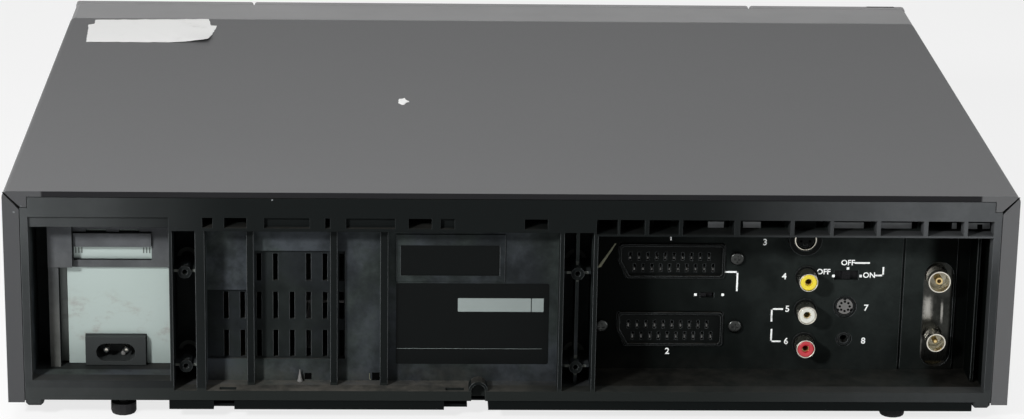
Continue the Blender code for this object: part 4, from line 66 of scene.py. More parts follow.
class Term:
    """A value in a shader tree that takes part in sums."""

    def __init__(self, tree: NodeTree, socket: NodeSocket) -> None:
        """Wraps an output socket of a tree."""
        self.tree = tree
        self.socket = socket

    def _sum(self, operation: str, first: "Term | float", second: "Term | float") -> "Term":
        """Adds one Math node.

        Args:
            operation: the Math node's operation.
            first: the left value.
            second: the right value.

        Returns:
            The node's result.
        """
        node = self.tree.nodes.new("ShaderNodeMath")
        node.operation = operation
        for place, value in zip(node.inputs, (first, second)):
            if isinstance(value, Term):
                self.tree.links.new(value.socket, place)
            else:
                place.default_value = value
        return Term(self.tree, node.outputs[0])

    def __add__(self, other: "Term | float") -> "Term":
        """This value plus another."""
        return self._sum("ADD", self, other)

    def __radd__(self, other: "Term | float") -> "Term":
        """Another value plus this one."""
        return self._sum("ADD", other, self)

    def __sub__(self, other: "Term | float") -> "Term":
        """This value less another."""
        return self._sum("SUBTRACT", self, other)

    def __rsub__(self, other: "Term | float") -> "Term":
        """Another value less this one."""
        return self._sum("SUBTRACT", other, self)

    def __mul__(self, other: "Term | float") -> "Term":
        """This value times another."""
        return self._sum("MULTIPLY", self, other)

    def __rmul__(self, other: "Term | float") -> "Term":
        """Another value times this one."""
        return self._sum("MULTIPLY", other, self)

    def __abs__(self) -> "Term":
        """This value without its sign."""
        return self._sum("ABSOLUTE", self, 0.0)

    def or_more(self, other: "Term | float") -> "Term":
        """The larger of this value and another."""
        return self._sum("MAXIMUM", self, other)


class Tree:
    """A node tree whose nodes all come from one method."""

    def __init__(self, group: NodeTree) -> None:
        """Keeps the tree that nodes go into."""
        self.group = group

    def node(self, kind: str, settings: dict, sockets: dict) -> Node:
        """Adds a node.

        Args:
            kind: the node's type.
            settings: its settings by name, such as a Math node's operation.
            sockets: values or links of its inputs, by name or number.

        Returns:
            The node.
        """
        made = self.group.nodes.new(kind)
        for name, value in settings.items():
            setattr(made, name, value)
        for name, value in sockets.items():
            self.feed(made.inputs[name], value)
        return made

    def feed(self, place: NodeSocket, value: object) -> None:
        """Links or sets one input.

        Args:
            place: the input.
            value: a term or socket to link, or a value to set.
        """
        if isinstance(value, Term):
            value = value.socket
        if isinstance(value, NodeSocket):
            self.group.links.new(value, place)
        elif isinstance(value, tuple) and len(value) == 3 and place.type == "RGBA":
            place.default_value = (*value, 1.0)
        else:
            place.default_value = value


def white_rays(tree: Tree) -> Term:
    """1 for rays from the camera, a gloss or a clear piece, 0 for the rest.

    Args:
        tree: the tree that needs it.

    Returns:
        The value.
    """
    path = tree.node("ShaderNodeLightPath", {}, {})
    camera, glossy, clear = (Term(tree.group, path.outputs[f"Is {kind} Ray"])
                             for kind in ("Camera", "Glossy", "Transmission"))
    return camera.or_more(glossy).or_more(clear)


def new_object(name: str, data: ID) -> Object:
    """Puts an object into the scene.

    Args:
        name: its name.
        data: its mesh, text, lamp or camera.

    Returns:
        The object.
    """
    made = bpy.data.objects.new(name, data)
    bpy.context.scene.collection.objects.link(made)
    return made


def applied(carrier: Object) -> Mesh:
    """Makes a plain mesh of an object's modifiers or letters.

    Args:
        carrier: the object.

    Returns:
        The mesh.
    """
    bpy.context.view_layer.update()
    ready = carrier.evaluated_get(bpy.context.evaluated_depsgraph_get())
    return bpy.data.meshes.new_from_object(ready)


class Surface(Tree):
    """A material's tree, with the patterns that the finishes share."""

    def __init__(self, name: str) -> None:
        """Makes an empty material.

        Args:
            name: its name.
        """
        self.material = bpy.data.materials.new(name)
        self.material.use_nodes = True
        super().__init__(self.material.node_tree)
        self.group.nodes.clear()
        self.shader = self.group.nodes.new("ShaderNodeBsdfPrincipled")
        self.end = self.group.nodes.new("ShaderNodeOutputMaterial")
        self.group.links.new(self.shader.outputs["BSDF"], self.end.inputs["Surface"])
        self.coords = self.group.nodes.new("ShaderNodeTexCoord")
        self.place = self.coords.outputs["Object"]

    def part(self, vector: NodeSocket, axis: str) -> Term:
        """One component of a vector."""
        split = self.node("ShaderNodeSeparateXYZ", {}, {0: vector})
        return Term(self.group, split.outputs[axis])

    def along(self, axis: str) -> Term:
        """The place along an axis, in metres."""
        return self.part(self.place, axis)

    def facing(self, axis: str) -> Term:
        """How far the surface faces along an axis."""
        return self.part(self.coords.outputs["Normal"], axis)

    def stretched(self, scale: Point) -> NodeSocket:
        """Object coordinates times a scale for each axis."""
        node = self.node("ShaderNodeMapping", {}, {"Vector": self.place, "Scale": scale})
        return node.outputs[0]

    def noise(self, scale: float, detail: float = 3.0, rough: float = 0.5,
              stretch: Point = EVEN) -> Term:
        """Cloudy noise from 0 to 1.

        Args:
            scale: how many features a metre holds.
            detail: octaves.
            rough: how strong the finer octaves are.
            stretch: scale of each axis.

        Returns:
            The noise.
        """
        vector = self.place if stretch == EVEN else self.stretched(stretch)
        values = {"Vector": vector, "Scale": scale, "Detail": detail, "Roughness": rough}
        return Term(self.group, self.node("ShaderNodeTexNoise", {}, values).outputs[0])

    def cells(self, scale: float, stretch: Point = EVEN) -> Term:
        """Distance to the nearest of scattered points."""
        values = {"Vector": self.stretched(stretch), "Scale": scale}
        return Term(self.group, self.node("ShaderNodeTexVoronoi", {}, values).outputs[0])

    def step(self, value: Term, low: float, high: float) -> Term:
        """A soft step.

        Args:
            value: what is compared.
            low: where the step is 0.
            high: where the step is 1.

        Returns:
            The step.
        """
        settings = {"interpolation_type": "SMOOTHSTEP", "clamp": True}
        node = self.node("ShaderNodeMapRange", settings, {0: value, 1: low, 2: high})
        return Term(self.group, node.outputs[0])

    def blend(self, share: Term | float, first: object, second: object) -> NodeSocket:
        """A colour between two."""
        node = self.node("ShaderNodeMix", {"data_type": "RGBA"}, {0: share, 6: first, 7: second})
        return node.outputs[2]

    def relief(self, height: Term, strength: float, depth: float,
               edge: float = 0.0) -> NodeSocket:
        """A bumped normal.

        Args:
            height: the bumps.
            strength: how strong they are.
            depth: how deep they are.
            edge: the radius that the light sees on sharp edges.

        Returns:
            The normal.
        """
        values = {"Height": height, "Strength": strength, "Distance": depth}
        if edge:
            soft = self.node("ShaderNodeBevel", {"samples": 6}, {"Radius": edge})
            values["Normal"] = soft.outputs[0]
        return self.node("ShaderNodeBump", {}, values).outputs[0]

    def edge_highlight(self, radius: float, upright: bool = False) -> Term:
        """Painted highlight along outer edges, from 0 on flat faces to 1 on the edge itself.

        Args:
            radius: how far the highlight reaches from the edge.
            upright: whether only upright edges take it.

        Returns:
            The painted highlight.
        """
        soft = self.node("ShaderNodeBevel", {"samples": 6}, {"Radius": radius})
        flat = self.node("ShaderNodeNewGeometry", {}, {})
        alike = self.node("ShaderNodeVectorMath", {"operation": "DOT_PRODUCT"},
                          {0: soft.outputs[0], 1: flat.outputs["True Normal"]})
        edge = self.step(Term(self.group, alike.outputs["Value"]), 0.985, 0.86)
        hollow = self.node("ShaderNodeAmbientOcclusion", {"samples": 4, "only_local": True},
                           {"Distance": 3.0 * radius})
        wear_and_edge_light = edge * self.step(Term(self.group, hollow.outputs["AO"]), 0.70, 0.95)
        if upright:
            wear_and_edge_light = wear_and_edge_light * self.step(abs(self.part(soft.outputs[0], "X")), 0.15, 0.35)
        return wear_and_edge_light

    def dress(self, **sockets: object) -> Material:
        """Feeds the shader and returns the material.

        Args:
            **sockets: values by socket name, with spaces as underscores.

        Returns:
            The finished material.
        """
        for name, value in sockets.items():
            words = " ".join(word if word == "IOR" else word.title() for word in name.split("_"))
            self.feed(self.shader.inputs[words], value)
        return self.material


def toned(colour: Colour, share: float) -> Colour:
    """A colour made darker or lighter by a share."""
    return tuple(share * part for part in colour)


@dataclass(frozen=True)
class Finish:
    """A finish that makes its material once. Args and Returns of paint hold for every finish."""

    name: str

    def material(self) -> Material:
        """The material, made at its first use."""
        made = bpy.data.materials.get(self.name)
        return made if made else self.paint(Surface(self.name))

    def paint(self, surface: Surface) -> Material:
        """Builds the nodes of the finish.

        Args:
            surface: the material's tree.

        Returns:
            The finished material.
        """
        raise NotImplementedError


@dataclass(frozen=True)
class CoverPaint(Finish):
    """Fine textured paint on the sheet steel cover, rubbed along its folds, with painted shade on
    its lips and hem.
    """

    colour: Colour = (0.118, 0.119, 0.121)
    rubbed: Colour = (0.200, 0.201, 0.204)
    grain: float = 1500.0
    shine: float = 0.13
    # The lip colours are painted shade on faces turned to the rear, lighter at the far end; the
    # shaded colour is painted shadow on the hem under the top edge.
    lip: Colour = (0.046, 0.047, 0.049)
    far_lip_shade: Colour = (0.085, 0.086, 0.088)
    shaded: Colour = (0.006, 0.006, 0.007)
    half_width: float = 215.0 * MM
    mitre: float = 199.0 * MM
    hem: float = 90.0 * MM
    top: float = 103.1 * MM

    def paint(self, surface: Surface) -> Material:
        """Grain, faint cloudiness, hair scratches, rubbing at the folds, and painted shade on the
        lips and the hem.
        """
        cloud = surface.noise(9.0, 5.0, 0.6)
        grain = surface.noise(self.grain, 2.0, 0.7)
        long = surface.noise(1.0, 3.0, 0.6, (22.0, 900.0, 22.0))
        hair = surface.step(long, 0.735, 0.76) * surface.step(cloud, 0.52, 0.62)
        across = surface.noise(1.0, 2.0, 0.6, (1100.0, 30.0, 30.0))
        hair = hair.or_more(surface.step(across, 0.755, 0.77) * surface.step(cloud, 0.40, 0.32))
        side = surface.step(abs(surface.along("X")), self.half_width - 1.4 * MM,
                            self.half_width - 0.5 * MM)
        high = surface.step(surface.along("Z"), self.top - 2.0 * MM, self.top - 0.8 * MM)
        fold = high * side * surface.step(surface.noise(70.0, 4.0), 0.38, 0.62)
        spots = surface.step(surface.cells(55.0), 0.035, 0.012) * surface.step(cloud, 0.5, 0.6)
        wear_and_edge_light = (fold * 0.45).or_more(hair * 0.22).or_more(spots * 0.3)
        dark = toned(self.colour, 0.93)
        light = toned(self.colour, 1.07)
        # Painted shade: faces turned to the rear take the lip colour, lighter towards the far end.
        far = surface.step(surface.along("X"), -100.0 * MM, -205.0 * MM)
        lip = surface.blend(far, self.lip, self.far_lip_shade)
        rear_face_shade = surface.step(surface.facing("Y"), 0.55, 0.90)
        paint = surface.blend(rear_face_shade, surface.blend(cloud, dark, light), lip)
        # Painted shadow on the hem below the top edge, between the mitres.
        hem_shadow = surface.step(surface.facing("Y"), 0.10, 0.40)
        hem_shadow = hem_shadow * surface.step(surface.along("Z"), self.hem, self.hem + 0.5 * MM)
        inside = surface.step(abs(surface.along("X")), self.mitre, self.mitre - MM)
        paint = surface.blend(hem_shadow * inside, paint, self.shaded)
        colour = surface.blend(wear_and_edge_light, paint, self.rubbed)
        rough = 0.52 + grain * 0.16 + cloud * 0.06 - wear_and_edge_light * 0.1
        bump = surface.relief(grain - wear_and_edge_light * 0.3, 0.22, 0.08 * MM)
        return surface.dress(base_color=colour, roughness=rough, normal=bump,
                             specular_IOR_level=self.shine)


@dataclass(frozen=True)
class MouldedPlastic(Finish):
    """Injection-moulded plastic with a spark-eroded grain, settled dust and, where set, a painted
    highlight along its edges.
    """

    colour: Colour = (0.020, 0.022, 0.024)
    rough: float = 0.46
    grain: float = 1900.0
    relief_share: float = 0.16
    dust: float = 0.0
    dust_colour: Colour = (0.085, 0.074, 0.058)
    dust_top: float = 24.0 * MM
    shine: float = 0.30
    edge: float = 0.30 * MM
    # Share and colour of a painted highlight along the edges.
    edge_highlight_share: float = 0.0
    edge_highlight_colour: Colour = (0.085, 0.092, 0.094)

    def base(self, surface: Surface) -> NodeSocket:
        """The plastic's own colour, a little cloudy from handling.

        Args:
            surface: the material's tree.

        Returns:
            The colour.
        """
        dark = toned(self.colour, 0.85)
        light = toned(self.colour, 1.18)
        return surface.blend(surface.noise(26.0, 5.0, 0.6), dark, light)

    def settled(self, surface: Surface) -> Term | None:
        """How much dust lies on the surface.

        Args:
            surface: the material's tree.

        Returns:
            The dust, or nothing where none lies.
        """
        if not self.dust:
            return None
        ledge = surface.step(surface.facing("Z"), 0.55, 0.95)
        patch = surface.step(surface.noise(95.0, 6.0, 0.7), 0.36, 0.68)
        return ledge * patch * self.dust

    def edge_highlights(self, surface: Surface) -> Term:
        """Painted highlight that makes the edges pale, in broken lines."""
        broken = 0.55 + surface.noise(140.0, 4.0, 0.65) * 0.9
        return surface.edge_highlight(self.edge * 1.6) * broken * self.edge_highlight_share

    def paint(self, surface: Surface) -> Material:
        """Grain, cloudy handling marks, settled dust and a painted edge highlight."""
        grain = surface.noise(self.grain, 2.0, 0.65)
        colour = self.base(surface)
        rough = self.rough + surface.noise(31.0, 4.0, 0.6) * 0.12 + grain * 0.08
        height = grain
        film = self.settled(surface)
        if film:
            colour = surface.blend(film, colour, self.dust_colour)
            rough = rough + film * 0.3
            height = grain + film * 1.5
        if self.edge_highlight_share:
            # Painted highlight: pale lines along the edges.
            colour = surface.blend(self.edge_highlights(surface), colour, self.edge_highlight_colour)
        bump = surface.relief(height, self.relief_share, 0.06 * MM, self.edge)
        return surface.dress(base_color=colour, roughness=rough, normal=bump,
                             specular_IOR_level=self.shine)


@dataclass(frozen=True)
class BackPanelPlastic(MouldedPlastic):
    """The back panel: rubbed dark outer faces, hazy bays with painted shade on their deeper faces, a
    socket wall painted dark as shade, and painted light on the ends, the mains bay and the boss
    faces.
    """

    rubbed: Colour = (0.0060, 0.0072, 0.0072)
    low_lip: Colour = (0.0125, 0.0145, 0.0138)
    hazy: Colour = (0.036, 0.044, 0.042)
    bluish: Colour = (0.040, 0.046, 0.052)
    # Painted shade: the socket wall's near black colour.
    sockets: Colour = (0.0012, 0.0017, 0.0015)
    # Painted light on the outer faces at both ends.
    ends: Colour = (0.058, 0.062, 0.063)
    far_lit_ends: Colour = (0.072, 0.076, 0.079)
    # Painted highlight on the boss faces.
    boss_highlight: Colour = (0.105, 0.113, 0.103)
    # Painted light in the mains bay, lighter low down.
    mains_lit_low: Colour = (0.095, 0.098, 0.092)
    mains_lit_high: Colour = (0.080, 0.084, 0.090)
    rib_plane: float = 158.9 * MM
    vent_plane: float = 152.3 * MM
    mains_plane: float = 145.0 * MM
    mains_edge: float = 144.6 * MM
    socket_edge: float = -36.0 * MM
    film_start: float = -40.0 * MM
    film_full: float = -140.0 * MM
    film_end: float = -180.0 * MM
    dusty_edge: float = 40.0 * MM
    end_middle: float = 20.0 * MM
    hook_foot: float = 85.4 * MM
    lip_top: float = 15.0 * MM
    boss_radius: float = 4.8 * MM
    bosses: tuple[Flat, ...] = ((139.37, 23.0), (139.37, 65.6), (-28.02, 23.0),
                                               (-28.02, 65.6))

    def haze(self, surface: Surface) -> Term:
        """Smears and specks of handling haze.

        Args:
            surface: the material's tree.

        Returns:
            The haze, from 0 to about 1.
        """
        smear = surface.step(surface.noise(13.0, 5.0, 0.6, (1.0, 1.0, 0.45)), 0.32, 0.68)
        blot = surface.step(surface.noise(75.0, 4.0, 0.6), 0.34, 0.66)
        speck = surface.noise(380.0, 3.0, 0.7)
        return (0.12 + smear * 0.55 + blot * 0.50) * (0.55 + speck * 0.9)

    def boss_faces(self, surface: Surface) -> Term:
        """Finds the faces of the round screw bosses in the two columns.

        Args:
            surface: the material's tree.

        Returns:
            1 on them and 0 elsewhere.
        """
        found: Term | float = 0.0
        for x, z in self.bosses:
            moved = surface.node("ShaderNodeVectorMath", {"operation": "ADD"},
                                 {0: surface.place, 1: (-x * MM, 0.0, -z * MM)})
            flat = surface.node("ShaderNodeVectorMath", {"operation": "MULTIPLY"},
                                {0: moved.outputs[0], 1: (1.0, 0.0, 1.0)})
            reach = surface.node("ShaderNodeVectorMath", {"operation": "LENGTH"},
                                 {0: flat.outputs[0]})
            away = Term(surface.group, reach.outputs["Value"])
            inside = surface.step(away, self.boss_radius, self.boss_radius - 0.4 * MM)
            found = inside.or_more(found)
        return found * surface.step(surface.facing("Y"), 0.6, 0.8)

    def bays(self, surface: Surface, haze: Term) -> NodeSocket:
        """Hazy bays with painted shade on their deeper faces, a mains bay painted pale as light, a
        socket wall painted black as shade and then blended towards hazy, and a painted highlight on
        the boss faces.

        Args:
            surface: the material's tree.
            haze: the haze from handling.

        Returns:
            The colour behind the ribs.
        """
        x, y, z = (surface.along(axis) for axis in "XYZ")
        patch = surface.step(surface.noise(42.0, 4.0, 0.6), 0.38, 0.62)
        tint = surface.blend(patch, self.hazy, self.bluish)
        # Painted shade: faces deeper than the vent plane take less haze and stay darker.
        shallow = surface.step(y, self.vent_plane - 0.3 * MM, self.vent_plane)
        near = surface.step(x, 66.0 * MM, 125.0 * MM) * 0.55
        colour = surface.blend(haze * (0.30 + shallow * (0.60 + near)), self.rubbed, tint)
        # Painted light: the mains bay is painted pale, lighter towards the bottom.
        high = surface.step(z, 28.0 * MM, 84.0 * MM)
        pale = surface.blend(high, self.mains_lit_low, self.mains_lit_high)
        mains = surface.step(x, self.mains_edge, self.mains_edge + MM)
        mains = mains * surface.step(y, self.mains_plane, self.mains_plane + MM)
        mains = mains * surface.step(surface.facing("Y"), 0.5, 0.8)
        colour = surface.blend(mains * (0.55 + haze * 0.5), colour, pale)
        # Painted shade: the socket wall goes near black; the next lines blend it back towards the
        # hazy colour, more towards the top.
        dark = surface.step(x, self.socket_edge, self.socket_edge - 0.6 * MM)
        colour = surface.blend(dark, colour, self.sockets)
        film = surface.step(x, self.film_start, self.film_full)
        film = film * surface.step(x, self.film_end - 7.0 * MM, self.film_end)
        film = film * (0.5 + surface.step(z, 20.0 * MM, 80.0 * MM) * 0.5) * (0.16 + haze * 0.42)
        colour = surface.blend(film, colour, self.hazy)
        # Painted highlight on the boss faces.
        return surface.blend(self.boss_faces(surface), colour, self.boss_highlight)

    def base(self, surface: Surface) -> NodeSocket:
        """Hazy bays, dark ribs and bars that hands rub, and painted light that makes the ends paler.
        """
        haze = self.haze(surface)
        x = surface.along("X")
        outer = surface.step(surface.along("Y"), self.rib_plane - 0.4 * MM, self.rib_plane)
        # Painted light: the outer faces grow paler towards both ends, more towards the top.
        far = surface.step(abs(x - self.end_middle), 95.0 * MM, 215.0 * MM)
        right = surface.step(x, 0.0, -20.0 * MM)
        least = 0.58 - right * 0.26
        high = least + surface.step(surface.along("Z"), 62.0 * MM, 92.0 * MM) * (1.0 - least)
        pale = surface.blend(right, self.ends, self.far_lit_ends)
        low = surface.step(surface.along("Z"), self.lip_top + 0.5 * MM, self.lip_top)
        dark = surface.blend(low, self.rubbed, self.low_lip)
        face = surface.blend(far * high * (0.72 + haze * 0.3), dark, pale)
        return surface.blend(outer, self.bays(surface, haze), face)

    def settled(self, surface: Surface) -> Term | None:
        """Grey-brown dust on ledges and round the feet of the ribs."""
        x = surface.along("X")
        ledge = surface.step(surface.facing("Z"), 0.55, 0.95)
        patch = surface.step(surface.noise(70.0, 6.0, 0.72), 0.34, 0.70)
        low = surface.step(surface.along("Z"), self.dust_top, self.dust_top - 9.0 * MM)
        left = surface.step(x, -0.03, self.dusty_edge) * surface.step(x, 0.165, 0.120)
        left = 0.22 + left * 0.78
        film = ledge * (0.25 + patch * 0.75) * (0.35 + low * 0.65) * left
        wall = surface.step(surface.facing("Y"), 0.4, 0.9) * low * patch * 0.30 * left
        wall = wall * surface.step(surface.along("Y"), self.rib_plane, self.rib_plane - MM)
        return film.or_more(wall) * self.dust

    def edge_highlights(self, surface: Surface) -> Term:
        """Painted highlight in pale lines on the upright edges, strongest between the lip and the
        row of hooks.
        """
        broken = 0.60 + surface.noise(90.0, 4.0, 0.65) * 0.9
        z = surface.along("Z")
        between = surface.step(z, self.hook_foot, self.hook_foot - MM)
        between = between * surface.step(z, self.lip_top, self.lip_top + MM)
        level = 0.22 + between * 0.78
        return surface.edge_highlight(self.edge * 1.6, True) * broken * level * self.edge_highlight_share


@dataclass(frozen=True)
class GlossPlastic(Finish):
    """Smooth, coloured plastic with fine rub marks."""

    colour: Colour = (0.02, 0.02, 0.02)
    rough: float = 0.24
    coat: float = 0.3
    shine: float = 0.5

    def paint(self, surface: Surface) -> Material:
        """A clear gloss broken by faint rubbing."""
        rub = surface.noise(240.0, 4.0, 0.6)
        cloud = surface.noise(60.0, 3.0)
        dark = toned(self.colour, 0.90)
        colour = surface.blend(cloud, dark, self.colour)
        bump = surface.relief(rub, 0.05, 0.03 * MM)
        return surface.dress(base_color=colour, roughness=self.rough + rub * 0.14,
                             coat_weight=self.coat, normal=bump, specular_IOR_level=self.shine)


@dataclass(frozen=True)
class PlatedMetal(Finish):
    """Plated or bare metal, brushed along one axis, with dulled patches."""

    colour: Colour = (0.62, 0.61, 0.58)
    dulled: Colour = (0.30, 0.29, 0.26)
    rough: float = 0.24
    brush: Point = EVEN
    brushing: float = 0.12
    dull_share: float = 0.5

    def paint(self, surface: Surface) -> Material:
        """Brush lines, cloudy tarnish and fine scratches."""
        lines = surface.noise(420.0, 3.0, 0.6, self.brush)
        cloud = surface.step(surface.noise(85.0, 5.0, 0.65), 0.35, 0.75)
        colour = surface.blend(cloud * self.dull_share, self.colour, self.dulled)
        rough = self.rough + lines * 0.16 + cloud * 0.14
        bump = surface.relief(lines, self.brushing, 0.04 * MM)
        return surface.dress(base_color=colour, roughness=rough, metallic=1.0, normal=bump)


@dataclass(frozen=True)
class StreakedTin(PlatedMetal):
    """Dull tin with polished streaks between its sockets and a warm foot below them."""

    polished: Colour = (0.40, 0.39, 0.36)
    warm: Colour = (0.20, 0.165, 0.085)
    streaks: tuple[Box, ...] = (
        (-183.6, 2.7, 41.5, 6.5), (-190.0, 0.7, 40.0, 5.5), (-181.0, 1.1, 22.5, 6.0))
    foot: float = 17.5 * MM

    def paint(self, surface: Surface) -> Material:
        """Dark metal, with streaks where it is polished."""
        lines = surface.noise(420.0, 3.0, 0.6, self.brush)
        cloud = surface.step(surface.noise(110.0, 5.0, 0.65), 0.35, 0.75)
        colour = surface.blend(cloud * self.dull_share, self.colour, self.dulled)
        x, z = surface.along("X"), surface.along("Z")
        low = surface.step(z, self.foot, self.foot - 1.5 * MM)
        colour = surface.blend(low * (0.5 + cloud * 0.5), colour, self.warm)
        ragged = (surface.noise(330.0, 4.0, 0.7) - 0.5) * 0.9
        for middle, half, level, reach in self.streaks:
            across = abs(x - middle * MM) * (1.0 / (half * MM)) + ragged
            along = abs(z - level * MM) * (1.0 / (reach * MM)) + ragged
            streak = surface.step(across, 1.1, 0.2) * surface.step(along, 1.1, 0.3)
            colour = surface.blend(streak * (0.30 + lines), colour, self.polished)
        bump = surface.relief(lines, self.brushing, 0.04 * MM)
        return surface.dress(base_color=colour, roughness=self.rough + lines * 0.16,
                             metallic=1.0, normal=bump)


@dataclass(frozen=True)
class PalePlate(Finish):
    """Zinc-passivated steel with a faint green cast, handled and stained."""

    colour: Colour = (0.330, 0.395, 0.370)
    stain: Colour = (0.250, 0.225, 0.200)
    sheen: Colour = (0.370, 0.430, 0.415)

    def paint(self, surface: Surface) -> Material:
        """Cloudy passivation with a few pinkish and grey smudges."""
        cloud = surface.noise(34.0, 5.0, 0.6)
        smudge = surface.step(surface.noise(75.0, 6.0, 0.7, (1.0, 1.0, 1.8)), 0.50, 0.74)
        low = surface.step(surface.along("Z"), 56.0 * MM, 40.0 * MM)
        fine = surface.noise(900.0, 2.0)
        colour = surface.blend(cloud, self.colour, self.sheen)
        colour = surface.blend(smudge * low * 0.8, colour, self.stain)
        rough = 0.36 + cloud * 0.12 + smudge * 0.15
        bump = surface.relief(fine, 0.08, 0.03 * MM)
        return surface.dress(base_color=colour, roughness=rough, metallic=0.35, normal=bump)


@dataclass(frozen=True)
class SoftRubber(Finish):
    """Matt black rubber with a dusty bloom."""

    colour: Colour = (0.010, 0.010, 0.011)
    bloom: Colour = (0.036, 0.035, 0.033)

    def paint(self, surface: Surface) -> Material:
        """Bloom in patches over a fine grain."""
        patch = surface.step(surface.noise(120.0, 5.0, 0.65), 0.4, 0.75)
        grain = surface.noise(1400.0, 2.0)
        colour = surface.blend(patch * 0.5, self.colour, self.bloom)
        bump = surface.relief(grain, 0.2, 0.06 * MM)
        return surface.dress(base_color=colour, roughness=0.78 + patch * 0.12, normal=bump,
                             specular_IOR_level=0.2)


@dataclass(frozen=True)
class CircuitBoard(Finish):
    """Brown phenolic board with lacquered copper tracks underneath."""

    colour: Colour = (0.240, 0.140, 0.050)
    track: Colour = (0.330, 0.230, 0.080)

    def paint(self, surface: Surface) -> Material:
        """Fibre streaks and track-like bands that show through the lacquer."""
        fibre = surface.noise(60.0, 4.0, 0.6, (1.0, 6.0, 1.0))
        cells = surface.cells(150.0, (1.0, 0.25, 1.0))
        band = surface.step(cells, 0.28, 0.32) * surface.step(cells, 0.46, 0.42)
        dark = toned(self.colour, 0.75)
        colour = surface.blend(band * 0.6, surface.blend(fibre, dark, self.colour), self.track)
        bump = surface.relief(band, 0.15, 0.04 * MM)
        return surface.dress(base_color=colour, roughness=0.42 + fibre * 0.15, normal=bump)


@dataclass(frozen=True)
class Paper(Finish):
    """Matt paper with fibres and a few grey marks."""

    colour: Colour = (0.880, 0.880, 0.870)
    marks: Colour = (0.470, 0.465, 0.450)

    def paint(self, surface: Surface) -> Material:
        """Fibre relief, with dirt in patches."""
        fibre = surface.noise(700.0, 4.0, 0.7)
        dirt = surface.step(surface.noise(48.0, 6.0, 0.7), 0.57, 0.80)
        colour = surface.blend(dirt * 0.5, self.colour, self.marks)
        bump = surface.relief(fibre, 0.25, 0.05 * MM)
        return surface.dress(base_color=colour, roughness=0.80 + fibre * 0.1, normal=bump)


@dataclass(frozen=True)
class ScreenInk(Finish):
    """Printed ink that has thinned in places."""

    colour: Colour = (0.52, 0.54, 0.52)
    thin: Colour = (0.27, 0.28, 0.27)

    def paint(self, surface: Surface) -> Material:
        """Ink, thinned by a fine noise."""
        gone = surface.step(surface.noise(520.0, 4.0, 0.6), 0.50, 0.72)
        colour = surface.blend(gone * 0.6, self.colour, self.thin)
        return surface.dress(base_color=colour, roughness=0.55 + gone * 0.15)


@dataclass(frozen=True)
class SmokedWindow(Finish):
    """Deep smoked acrylic with a dim grid of display cells behind its face."""

    colour: Colour = (0.006, 0.007, 0.008)
    cell: Colour = (0.022, 0.026, 0.026)
    pitch: float = 7.4 * MM

    def paint(self, surface: Surface) -> Material:
        """Gloss over cells that hardly show."""
        wave = surface.noise(140.0, 2.0)
        rows = surface.step(abs(surface.along("Z") - 49.0 * MM), 3.6 * MM, 3.3 * MM)
        cells = surface.cells(1.0 / self.pitch, (1.0, 0.02, 0.02))
        lit = rows * surface.step(cells, 0.36, 0.33)
        colour = surface.blend(lit, self.colour, self.cell)
        return surface.dress(base_color=colour, roughness=0.07 + wave * 0.05,
                             specular_IOR_level=0.12)


